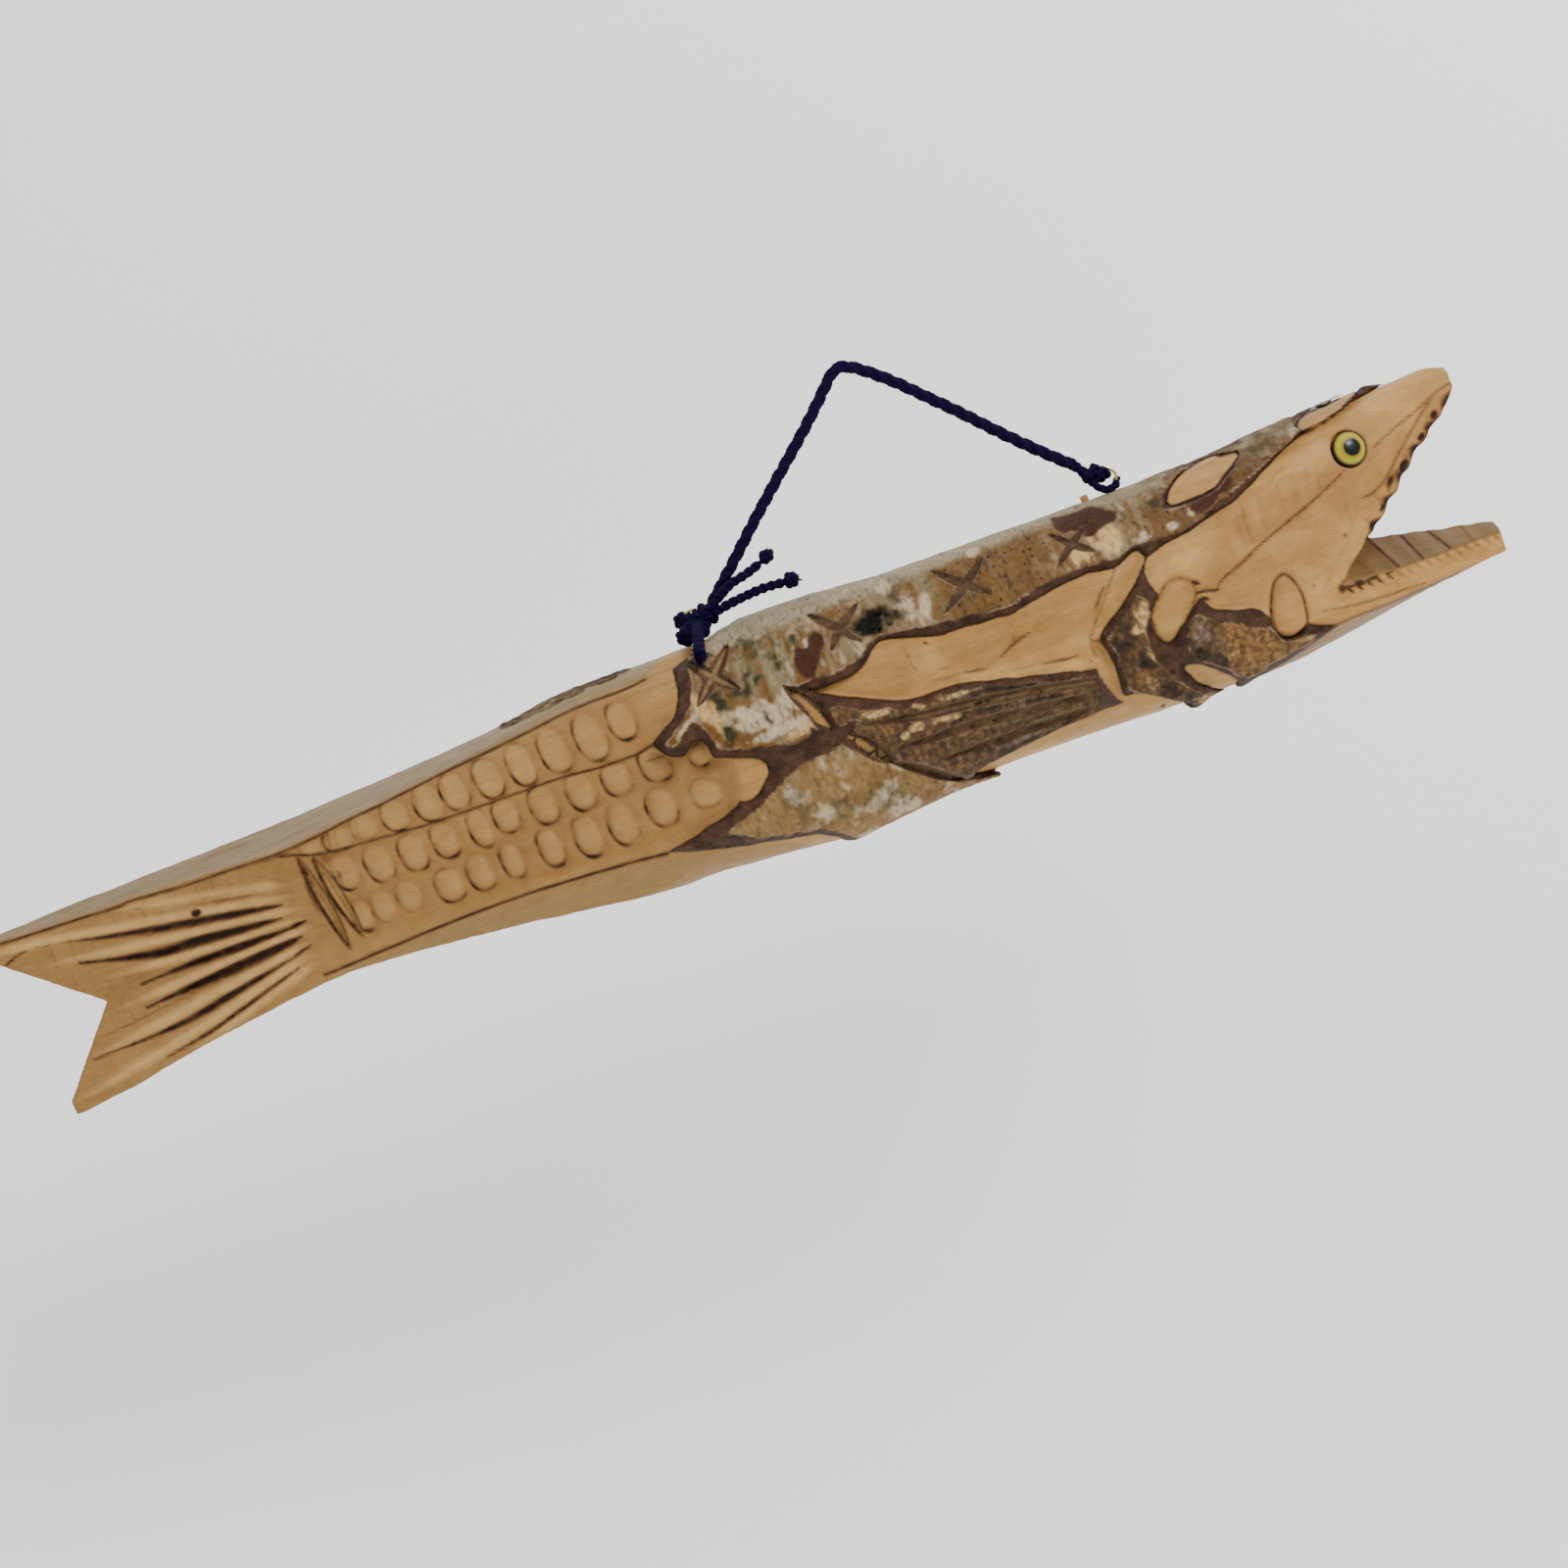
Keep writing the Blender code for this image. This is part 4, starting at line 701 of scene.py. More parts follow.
# scorched chips along the upper lip
lipd = np.where(D_MOUTH > 0, D_MOUTH, 0)
above = (GX > 192) & (GX < 238) & (GZ > -8) & (D_MOUTH > -2)
scal = 0.5 + 0.5 * np.sin((GX * 0.62 + GZ * 0.75) * 0.68 + 1.1)
chips = np.exp(-((lipd / (0.7 + 1.7 * scal)) ** 2)) * above
SCORCH_AND_SHADE = np.maximum(SCORCH_AND_SHADE, np.clip(chips * (0.55 + 0.5 * scal), 0, 1))
for (x, z), size, turn in (((227.5, 27), (2.2, 1.9), 45), ((221.5, 21.4), (2.4, 1.6), 45), ((212.6, 14), (3.2, 1.5), 48), ((206.6, 10.2), (3.4, 1.7), 52), ((201.4, 3), (2.6, 1.2), 50), ((196.6, -1.4), (1.8, 1.0), 45), ((217, 17), (2.2, 0.9), 50)):
    blotch(SCORCH_AND_SHADE, (x, z), size, 1.0, turn, 0.45, 0.25)
    sl = window([(x - 4, z - 4), (x + 4, z + 4)], 1)
    c, s = math.cos(math.radians(turn)), math.sin(math.radians(turn))
    gx, gz = GX[sl[0]] - x, GZ[:, sl[1]] - z
    WOOD_H[sl] -= 1.3 * np.exp(-(((gx * c + gz * s) / size[0]) ** 2) - (((-gx * s + gz * c) / size[1]) ** 2))
for x, z in ((224.4, 28.4), (213.6, 17.8), (203.6, 11.6), (199.4, 9.4), (194, 2.6), (209, 14.6), (219, 22.6)):
    cut([(x, z), (x + 2.3 - 0.5, z - 3.4), (x + 1.6, z - 7.4)], 0.9, 0.4, 0.45, scorch_and_shade_width=0.8)
cut([(205.4, 12), (209, 12.6), (212.4, 15)], 1.0, 0.4, 0.6)
cut([(212, 15), (216.2, 17.6)], 1.0, 0.3, 0.6)
# lower lip: fine teeth cut every few millimetres, scorched at the hinge of the mouth
TEETH = blank()
for k, x in enumerate(np.arange(181.4, 240, 3.55)):
    b = 1.0 if x < 198 else 0.55
    cut([(x, -18.2), (x + 0.8, -20.2 - 0.3 * (k % 2)), (x + 2.2, -21.8)], 1.3, 0.5, b * 0.9, scorch_and_shade_width=1.2)
    if x > 190:
        cut([(x + 1.2, -21.6), (x + 4.0, -24.0)], 1.0, 0.22, 0.22)
SCORCH_AND_SHADE = np.maximum(SCORCH_AND_SHADE, 0.9 * np.exp(-(((GZ + 18.6 + 0.5 * np.sin(GX * 0.9)) / 0.75) ** 2)) * step(179, 182, GX) * step(262, 230, GX) * (0.55 + 0.45 * step(212, 196, GX)))
blotch(SCORCH_AND_SHADE, (180, -18.6), (1.9, 2.6), 0.9, -20, 0.6)
blotch(SCORCH_AND_SHADE, (187, -19.4), (7, 1.4), 0.85, -2, 0.7, 0.35)
cut([(225, -25), (240, -24)], 0.8, 0.1, 0.12)
# head and belly edges against the underside; their dark lines are partly scorch and partly painted shade
cut([(172, -29.9), (180, -29.8), (190, -29.6), (200, -29.2), (215, -28.2), (228, -27.5), (239, -26.9)], 1.1, 0.3, 0.6, profile=flat, scorch_and_shade_width=0.9)
cut([(164.4, -26.4), (167, -27.8), (170, -29), (174, -30.2)], 1.4, 0.4, 0.75, profile=flat)
cut([(138.4, -39.2), (142, -38.1), (150, -36.7), (160, -34.7), (167, -32.7), (173.6, -30.5)], 1.0, 0.3, 0.55, profile=flat)

# ---- the oval facets
for outline, b in ((([(114.8, -3.2), (113.7, -5), (113.3, -9), (114.4, -13), (116.5, -15.3), (119, -15), (122, -12.5), (126, -9.5), (129, -6.5), (131.2, -3), (131.6, 0), (130.8, 2.2), (128.5, 4.1), (126, 4.8), (123.5, 4.6), (121, 3.2), (119.2, 1.4), (116.5, -1)]), 0.55),
                   ([(161.2, -6.8), (158.5, -8.2), (156.5, -11), (155, -14.5), (153.8, -18), (153, -22), (153.6, -25), (155.5, -27.8), (158.5, -28.7), (161.5, -28.2), (164.3, -26.5), (165.3, -24), (165.9, -20), (166, -16), (165.3, -12), (164, -8.8), (162.8, -7.2)], 0.75)):
    f = signed(outline, 6)
    WOOD_H += np.where(f < 0, 1.9 * np.clip(1 - np.exp(f / 2.6), 0, 1), 0)
    WOOD_H -= 1.1 * np.exp(-((np.maximum(f, 0) / 0.9) ** 2)) * (f > -0.4) * (D_HEAD < 1)
    SCORCH_AND_SHADE = np.maximum(SCORCH_AND_SHADE, b * np.exp(-((f / 0.55) ** 2)))
    SCORCH_AND_SHADE = np.where(f < -0.8, SCORCH_AND_SHADE * 0.35 + 0.09, SCORCH_AND_SHADE)
    LIGHT = np.where(f < 0, LIGHT * 0.3, LIGHT)
for f in (D_OVALS[0], D_OVALS[1], D_OVALS[2]):
    WOOD_H -= np.where(f < 0, 0.5 * np.clip(-f / 3, 0, 1), 0)

# ---- cuts through the bark: crossed gouges, lens gouges and the rays of the fin
for pts, wd in (([(-45, 38.5), (-37.4, 29.4), (-29.6, 21.6)], 5.0), ([(-28.2, 38.2), (-37, 29.6), (-46.2, 21.2)], 5.2),
                ([(1, 38.6), (9.6, 30.2), (16.6, 22.2)], 4.2), ([(19.6, 36), (10.4, 29.6), (4.8, 23.2)], 4.4),
                ([(47, 37.2), (56.2, 29.4), (64.4, 22)], 3.9), ([(66, 35.6), (56.6, 28.6), (46.6, 21.8)], 4.3),
                ([(89.6, 35), (96.4, 28.8), (104, 23.2)], 3.3), ([(105, 34.6), (96.6, 29.2), (88, 22.2)], 3.3)):
    cut(pts, wd * 1.4, 2.3 if wd > 4.9 else 1.6, into=BARK_CUT, profile=lambda s: lens(s, 0.75))
for pts, wd, dp in (([(-15.3, 17.8), (-9.5, 8), (-4.2, -3.2)], 6.6, 3.4), ([(-0.6, -6.2), (4.4, -12.4), (11.6, -21.6)], 8.0, 3.3), ([(11.2, -21.2), (19.6, -27), (27.4, -32.6), (34, -36.2)], 5.6, 1.9)):
    cut(pts, wd, dp, into=BARK_CUT)
FIN_RAYS = [([(6.4, -5.4), (16, -7.4), (28, -9.6), (42, -11.2), (55, -13.2), (68, -15.4), (80, -17.6), (91, -20)], 5.0, 3.15),
            ([(13.4, -17.2), (24, -18), (36, -18.6), (48, -19.4), (60, -21), (72, -22.2), (86, -24)], 5.4, 2.7),
            ([(28, -27), (38, -26.7), (50, -27), (64, -27.2), (78, -27.8), (87, -28)], 3.9, 2.9)]
for pts, wd, dp in FIN_RAYS:
    cut(pts, wd * 1.1, dp * 0.66, into=BARK_CUT, profile=lambda s: lens(np.clip(s * 0.85, 0, 1), 0.55))
sl = window([(83, -31), (91, -15)], 1)
f = signed([(84, -16.6), (90, -17.6), (92.5, -27), (95, -29.6), (84, -29.9), (85.5, -25), (84, -20)], 4, smooth=False)
BARK_CUT = np.maximum(BARK_CUT, 1.9 * step(0.6, -0.6, f))
# black knot, and the shallow hollows where the bark has flaked off
blotch(BLACK, (21.6, 27.6), (8.6, 5.6), 1.0, -4, 0.5, 0.22)
blotch(BLACK, (30, 26.8), (5.6, 3.0), 0.75, -10, 0.8, 0.4)
BARK_CUT = np.maximum(BARK_CUT, 2.6 * np.clip(BLACK * 1.2, 0, 1) * step(0, 5, 22 + 7 - np.abs(GX - 22)))
for outline in ([(-8.4, 26), (-6, 29), (-3, 27.4), (-1, 30), (1.4, 32), (3.4, 30.6), (4, 28), (1.6, 24.6), (-0.6, 21), (-3.4, 17.2), (-6, 17), (-8, 19), (-9, 22)],
                [(92.4, 40), (96, 39.2), (103, 39.2), (108, 38.4), (111, 36.4), (115, 34), (113, 31.6), (108, 30.4), (104, 29), (101, 30.4), (98, 33), (95, 33.2), (92.6, 36)],
                [(139, 28), (143, 29.5), (150, 30.6), (154, 33.4), (156, 35.4), (155.6, 30.6), (153, 27.6), (150, 27), (147, 24.8), (141.6, 23.2), (138, 25.4)],
                [(137.6, 40.6), (145, 42), (158, 43.4), (162, 43), (162.6, 41.4), (150, 41), (141, 40)],
                [(181, 44.6), (189, 43.4), (186, 42.6), (181.6, 41)], [(202, 45.2), (208, 46.4), (222, 46.8), (226, 45.4), (220, 44.6), (206, 43.8)]):
    f = signed(outline, 5) + 0.5 * noise3(np.stack([np.broadcast_to(GX, (MNX, MNZ)), np.broadcast_to(GZ, (MNX, MNZ)), np.zeros((MNX, MNZ))], -1).reshape(-1, 3), 1.6, 21).reshape(MNX, MNZ)
    PEEL = np.maximum(PEEL, step(0.5, -0.5, f))
blotch(PALE, (211, 45.8), (3.4, 1.2), 1.0, 0, 0.6)
for c, s, t in (((-24, 10), (10, 6), -10), ((-31, 11), (5, 6.5), 10), ((-14, 13), (6, 5), 0), ((-20, 3.6), (16, 2.6), 4), ((-52, 16), (7, 1.4), 30), ((35, 28), (4, 6), 0), ((41, 26), (2.6, 6.5), 0), ((-2, 27), (1.5, 4), 0),
                ((63, 38.6), (3, 2.2), 0), ((30, 37), (3, 3), 0), ((-16, -31), (4, 3.6), 0), ((10, -38), (8, 3), 0), ((-26, -20), (3, 5), 0), ((5, -31), (9, 3), 30), ((120, 22.6), (4, 2.4), 0), ((131, 22.6), (2.4, 1.6), 0), ((139, 25), (2, 2), 0),
                ((-5, -43), (5, 2), 0)):
    blotch(PALE, c, s, 0.95, t, 0.4, 0.4, seed=5)
for c, s, t in (((-44, 20), (4, 9), 25), ((-41, 13), (2.6, 5), 0), ((97.6, 25.4), (3.6, 4.2), 0), ((109.6, 26), (4.4, 5.4), 0), ((-13, 1), (8, 2.4), 5), ((103.6, 26.8), (1.6, 4.5), 25), ((60, -6.2), (1, 1), 0), ((40, -6.6), (8, 1.1), -3),
                ((35, -13.2), (6, 1.7), -6), ((24, -12.6), (4, 1.8), 0), ((19, -14), (2, 1.2), 30), ((13, -3.2), (6, 1.4), -10), ((26.6, -5.6), (2.6, 1.0), -20)):
    blotch(CREAM, c, s, 0.95, t, 0.35, 0.35, seed=6)
for c, s, a in (((-38, 22), (7, 6), 0.9), ((-30, 21), (6, 4), 0.7), ((-39, 11), (2.6, 8), 0.8), ((-24, 25), (4, 5), 0.75), ((-24.5, 11), (2, 6), 0.9), ((-32, 21), (3, 3), 0.8), ((-20, 34), (8, 8), 0.4), ((-14, 27), (3, 8), 0.5), ((6, -33), (10, 8), 0.3),
                ((-25, -24), (6, 8), 0.35), ((-10, -30), (8, 6), 0.3), ((32, 33), (3, 8), 0.45), ((128, 31), (3, 3), 0.5), ((170, 39), (8, 5), 0.35), ((25, 31), (5, 3), 0.6), ((-6, 30), (3, 5), 0.5)):
    blotch(MOSS, c, s, a, 0, 0.8, 0.55, seed=8)
DOTS = np.maximum(step(40, 50, GX) * step(92, 84, GX) * step(39.5, 36.5, GZ), 0)
DOTS = np.maximum(DOTS, 0.8 * step(114, 120, GX) * step(146, 138, GX) * step(36, 32, GZ))
blotch(DOTS, (10, 30), (13, 11), 0.85, 0, 0.7, 0.3)
blotch(DOTS, (160, 33), (6, 5), 0.8, 20, 0.6, 0.3)
blotch(DOTS, (4, 42), (8, 3), 0.7, 0, 0.6, 0.3)
ROUGH = np.clip(step(2.5, -0.5, np.minimum.reduce([D_SKINS["bark_fin"], D_SKINS["bark_gill_rear"], D_SKINS["bark_gill_front"]])), 0, 1)
FIN_DARK = blank()
for c, s, t, a in (((60, -10.8), (12, 2.2), -14, 1.0), ((78, -15.4), (10, 1.6), -15, 1.0), ((48, -8.6), (3, 1.4), 0, 0.9), ((50, -15.2), (10, 1.5), -8, 0.95), ((70, -18.6), (12, 1.1), -10, 0.95), ((68, -23.9), (18, 1.0), -4, 0.95), ((40, -15.2), (1.8, 1.4), 0, 1.0),
                   ((62, -31), (20, 1.2), 4, 0.8), ((17, -13.4), (1.6, 2.6), -30, 0.8), ((101, -11), (6, 4.5), 0, 0.9), ((107, -19), (5, 4), -30, 0.95), ((112, -31), (5, 5), -35, 1.0), ((118, -36), (4, 2.4), -30, 0.95), ((127, -23), (3.6, 4), -30, 1.0),
                   ((132, -28), (4, 3), -30, 0.8), ((98.6, -16), (0.9, 9), 0, 0.3), ((104, -4), (4, 3), 40, 0.6), ((112, 1), (2.4, 2.4), 0, 0.3), ((149, -22), (4, 1.6), -20, 0.5)):
    blotch(FIN_DARK, c, s, a, t, 0.6, 0.45, seed=11)
for c, s, t, a in (((112, -2.6), (3.2, 4.6), 0, 1.0), ((109, -7.2), (4, 1.8), 20, 0.95), ((110.4, -18.6), (1.3, 3.6), 20, 0.9), ((107, -27), (2.4, 3.4), 0, 0.4), ((124, -39), (5, 1.8), -15, 0.7), ((163, -31.5), (3, 0.9), 8, 0.8), ((136.4, -27.4), (2.6, 2.4), 0, 0.55)):
    blotch(CREAM, c, s, a, t, 0.4, 0.4, seed=13)
RUST = blank()
for c, s, t in (((140, -20), (8, 6), -30), ((146, -28), (8, 6), 0), ((104, -24), (4, 4), 0), ((103, -14), (4, 3), -20), ((34, -31), (5, 2.4), 0), ((118, -28), (3, 6), 30)):
    blotch(RUST, c, s, 0.9, t, 0.7, 0.4, seed=15)
PURPLE = blank()
blotch(PURPLE, (129, -16), (4.5, 5), 0.9, 0, 0.7, 0.4)
blotch(PURPLE, (45, -6.8), (10, 1.6), 0.5, -3, 0.7, 0.3)
blotch(PURPLE, (60, -29.8), (16, 1.0), 0.6, 0, 0.7, 0.3)


# ---------------------------------------------------------------- the log in three dimensions
def fields(p):
    """Coordinates of points p (N x 3, mm, fish frame), with where they show on the side map, plain and slightly warped.
    """
    x, y, z = p[:, 0], np.abs(p[:, 1]), p[:, 2]
    u, v = side_view(p)
    warp = 0.32 * noise3(p, 5.0, 31), 0.32 * noise3(p, 5.0, 32)
    uw, vw = u + warp[0], v + warp[1]
    return x, y, z, u, v, uw, vw


D_FORK = signed(FORK, 12, smooth=False)
EYE_AT = (199.5, 25.5)
EYE_R = 6.3


def eye_frame(side):
    x, z = EYE_AT
    wd = float(at(HALF_WIDTH, x))
    lean = max(0.0, z - 10.0) / float(at(LEAN, x))
    y = wd * math.sqrt(1.0 - lean**2.5)
    out = Vector((0.26, side * 1.0, 0.2)).normalized()
    return Vector((x, side * y, z)), out


JAW_RIDGE = [(193, -5), (197, -6.2), (200, -6.8), (203, -6.5), (205, -7.2), (207.5, -8.3), (211, -8.3), (213, -9.3), (216, -10.5), (219, -11.5), (222, -11.3), (226, -11.4), (228, -12.7), (231, -13.2), (235, -13.4), (237, -15), (239, -17)]


def log_radius(x, y, z):
    return np.hypot(y, z - at(LOG_ZC, x)) - at(LOG_R, x)


def wood_distance(p, coarse=False):
    x, y, z, u, v, uw, vw = fields(p)
    dl = log_radius(x, y, z) + BARK + 0.25
    dl = np.where(look_up(HIGH_OVALS, u, v) < 0.8, dl - BARK * 0.72, dl)
    wd = at(HALF_WIDTH, x)
    lean = np.clip((z - 10.0) / at(LEAN, x), 0, 0.999)
    ws = wd * np.sqrt(1.0 - lean**2.5)
    ds = y - ws
    rg, te = at(RIDGE, x), at(TOP_EDGE, x)
    dr = z - (rg - y * (rg - te) / wd)
    db = at(BOTTOM, x) - z
    dc = (at(SIDE_BOTTOM, x) - (wd - y) * 1.15 - z) / 1.5
    kl, je = at(KEEL, x), at(JAW_EDGE, x)
    dk = kl - y * (kl - je) / wd - z
    win = look_up(WOODS, uw, vw)
    relax = 3.5 * np.clip(win, 0, 5) + 7.0 * ((look_up(HIGH_OVALS, u, v) < 0.8))
    shoulder = look_up(D_SHOULDER, uw, vw)
    dsh = np.where(shoulder < 0.0, y - 37.4, -5.0)
    flat_side = np.maximum(ds - relax, dsh)
    d = np.maximum(dl, flat_side)
    d = np.maximum(d, np.maximum(dr, db) - relax)
    d = np.maximum(d, dc - np.where(x < -60, 0.0, relax))
    d = np.maximum(d, dk)
    h = look_up(WOOD_H, u, v)
    bare = step(1.0, -0.6, win)
    cutb = look_up(BARK_CUT, u, v)
    d = d - h * bare + np.clip(cutb - 2.9, 0, 2) * (1 - bare)
    # soft knife facets over the bare wood
    if not coarse:
        d = d + 0.24 * noise3(p, (8, 5, 6), 41) + 0.09 * noise3(p, (3, 2, 2.4), 42)
    # tail fork, mouth, eye seats
    fork = look_up(D_FORK, x, z)
    d = np.maximum(d, -fork)
    mouth = look_up(D_MOUTH, u, v)
    lip = 0.35 * np.sin(x * 0.78 + 0.6)
    jaw_top = -9.2 - 0.222 * (x - 202) - 0.45 * y + 0.45 * lip
    ridge_u = at(JAW_RIDGE, u)
    jaw_top = np.minimum(jaw_top, CAM_F[2] + (ridge_u - CAM_F[2]) * (680.0 - y) / 648.0)
    open_mouth = np.maximum(mouth, jaw_top - z)
    d = np.maximum(d, -open_mouth)
    place, out = eye_frame(1)
    rel = np.stack([x - place.x, y - place.y, z - place.z], -1)
    hgt = rel @ np.array(out)
    rad = np.sqrt(np.maximum((rel**2).sum(-1) - hgt**2, 0))
    d = np.maximum(d, -np.maximum(rad - (EYE_R + 0.35), -hgt - 2.6))
    nose = x - 245.8 + np.clip(1.5 - y / 6, 0, 1.5)
    d = np.maximum(d, np.where(z > 25, nose, x - 247.3 + 0.02 * y * y))
    return d


def bark_distance(p):
    x, y, z, u, v, uw, vw = fields(p)
    dl = log_radius(x, y, z)
    win = look_up(WOODS, uw, vw)
    fine = 0.5 * noise3(p, 1.9, 33) + 0.35 * noise3(p, 4.5, 34)
    skin = look_up(SKINS, uw, vw) + fine
    outside = np.clip(skin, 0, None)
    t = np.clip(win, 0, None) / np.maximum(np.clip(win, 0, None) + outside, 1e-3)
    t = np.where(skin < 0, 1.0, t) ** 0.85
    wide = step(5, 11, win + outside)
    t = np.where((outside > 0), t * (1 - 0.25 * wide * step(0, 2.5, outside)), t)
    cutb = look_up(BARK_CUT, u, v)
    rough = look_up(ROUGH, u, v)
    relief = 0.16 * noise3(p, (1.6, 3.5, 3.5), 35) + 0.22 * noise3(p, (7, 5, 5), 36) - 0.1
    relief = relief + rough * (0.6 * noise3(p, 3.4, 37) + 0.35 * noise3(p, 1.5, 38) - 0.35)
    relief = relief - 0.55 * look_up(PEEL, u, v) + 0.25 * look_up(PALE, u, v) - 0.2 * look_up(CREAM, u, v)
    relief = np.where(skin < 0, relief, relief * np.clip(1 - outside / 1.2, 0, 1))
    height = BARK * t + relief - cutb
    height = height * (1 - 0.8 * step(119, 128, u) * step(-33, -37.5, v) * step(134, 131, u))
    height = np.clip(height, -0.3, BARK + 0.6)
    d = (dl + BARK) - height
    d = np.maximum(d, -(dl + BARK + 0.45))
    d = np.maximum(d, -win * 0.9)
    d = np.maximum(d, np.maximum(-40 - x - 25, x - 236))
    return d


def surface_nets(f, origin, h):
    """Quads on the zero level of a grid that is negative inside."""
    s = f < 0
    nx, ny, nz = f.shape
    count = np.zeros((nx - 1, ny - 1, nz - 1), np.int8)
    corners = [(i, j, k) for i in (0, 1) for j in (0, 1) for k in (0, 1)]
    for i, j, k in corners:
        count += s[i:nx - 1 + i, j:ny - 1 + j, k:nz - 1 + k]
    cell = np.argwhere((count > 0) & (count < 8))
    ids = np.full(count.shape, -1, np.int32)
    ids[cell[:, 0], cell[:, 1], cell[:, 2]] = np.arange(len(cell))
    val = {c: f[cell[:, 0] + c[0], cell[:, 1] + c[1], cell[:, 2] + c[2]] for c in corners}
    pos = np.zeros((len(cell), 3))
    hits = np.zeros(len(cell))
    for a in corners:
        for ax in range(3):
            if a[ax]:
                continue
            b = tuple(v + (q == ax) for q, v in enumerate(a))
            va, vb = val[a], val[b]
            hit = (va < 0) != (vb < 0)
            t = np.where(hit, va / np.where(hit, va - vb, 1), 0)
            for q in range(3):
                pos[:, q] += np.where(hit, a[q] + (t if q == ax else 0), 0)
            hits += hit
    pos = (pos / hits[:, None] + cell) * h + np.asarray(origin)
    quads = []
    for ax in range(3):
        o1, o2 = [(1, 2), (2, 0), (0, 1)][ax]
        lo = [slice(1, None)] * 3
        a = s[tuple(slice(0, -1) if q == ax else slice(1, -1) for q in range(3))]
        b = s[tuple(slice(1, None) if q == ax else slice(1, -1) for q in range(3))]
        e = np.argwhere(a != b)
        flip = ~a[e[:, 0], e[:, 1], e[:, 2]]
        base = e + np.array([0 if q == ax else 1 for q in range(3)])

        def cid(d1, d2):
            c = base.copy()
            c[:, o1] -= d1
            c[:, o2] -= d2
            return ids[c[:, 0], c[:, 1], c[:, 2]]

        q4 = np.stack([cid(1, 1), cid(0, 1), cid(0, 0), cid(1, 0)], -1)
        q4[flip] = q4[flip][:, ::-1]
        quads.append(q4)
    return pos, np.concatenate(quads)


def grid_distance(fn, h, x0, x1, half=49.2, zlo=-51.0, zhi=50.0):
    """fn on a grid over the log. Only the shown half is worked out; the other half mirrors it. Far nodes keep a rough value."""
    xs = np.arange(x0, x1 + h, h)
    ny = int(half / h)
    ys = -(np.arange(ny)[::-1] + 0.5) * h
    zs = np.arange(zlo, zhi + h, h)
    big = max(1, int(round(4.0 / h)))
    out = np.full((len(xs), ny, len(zs)), 5.0, np.float32)
    # coarse pass
    cx, cy, cz = xs[::big], ys[::big], zs[::big]
    g = np.stack(np.meshgrid(cx, cy, cz, indexing="ij"), -1).reshape(-1, 3)
    c = fn(g).reshape(len(cx), len(cy), len(cz))
    near = np.abs(c) < 5.5 + 4.0
    sign = c < 0
    keep = np.repeat(np.repeat(np.repeat(near, big, 0), big, 1), big, 2)[: len(xs), : ny, : len(zs)]
    neg = np.repeat(np.repeat(np.repeat(sign, big, 0), big, 1), big, 2)[: len(xs), : ny, : len(zs)]
    out[neg] = -5.0
    # a block counts as near if it or any neighbour is
    pad = keep.copy()
    for ax in range(3):
        for sh in (-big, big):
            pad |= np.roll(keep, sh, ax)
    idx = np.argwhere(pad)
    pts = np.stack([xs[idx[:, 0]], ys[idx[:, 1]], zs[idx[:, 2]]], -1)
    vals = np.empty(len(pts), np.float32)
    for a in range(0, len(pts), 400000):
        vals[a : a + 400000] = fn(pts[a : a + 400000])
    out[idx[:, 0], idx[:, 1], idx[:, 2]] = vals
    full = np.concatenate([out, out[:, ::-1]], 1)
    return full, (xs[0], ys[0], zs[0])


def thin_hidden(pos, quads, hidden, size=5.0):
    """Merges the points that never show into a coarse surface, and returns polygons of three or four corners."""
    key = np.floor(pos / size).astype(np.int64)
    code = (key[:, 0] + 500) * 4000000 + (key[:, 1] + 500) * 2000 + key[:, 2] + 500
    code = np.where(hidden, code, -1 - np.arange(len(pos)))
    _, rep, inv = np.unique(code, return_index=True, return_inverse=True)
    inv = inv.reshape(-1)
    n = len(rep)
    cnt = np.bincount(inv, minlength=n)
    new = np.stack([np.bincount(inv, pos[:, k], n) / cnt for k in range(3)], -1)
    q = inv[quads]
    same = [q[:, i] == q[:, (i + 1) % 4] for i in range(4)]
    whole = ~(same[0] | same[1] | same[2] | same[3] | (q[:, 0] == q[:, 2]) | (q[:, 1] == q[:, 3]))
    quads4 = q[whole]
    rest = q[~whole]
    tris = np.concatenate([rest[:, [0, 1, 2]], rest[:, [0, 2, 3]]])
    ok = (tris[:, 0] != tris[:, 1]) & (tris[:, 1] != tris[:, 2]) & (tris[:, 0] != tris[:, 2])
    tris = tris[ok]
    _, first = np.unique(np.sort(tris, 1), axis=0, return_index=True)
    return new, quads4, tris[first]


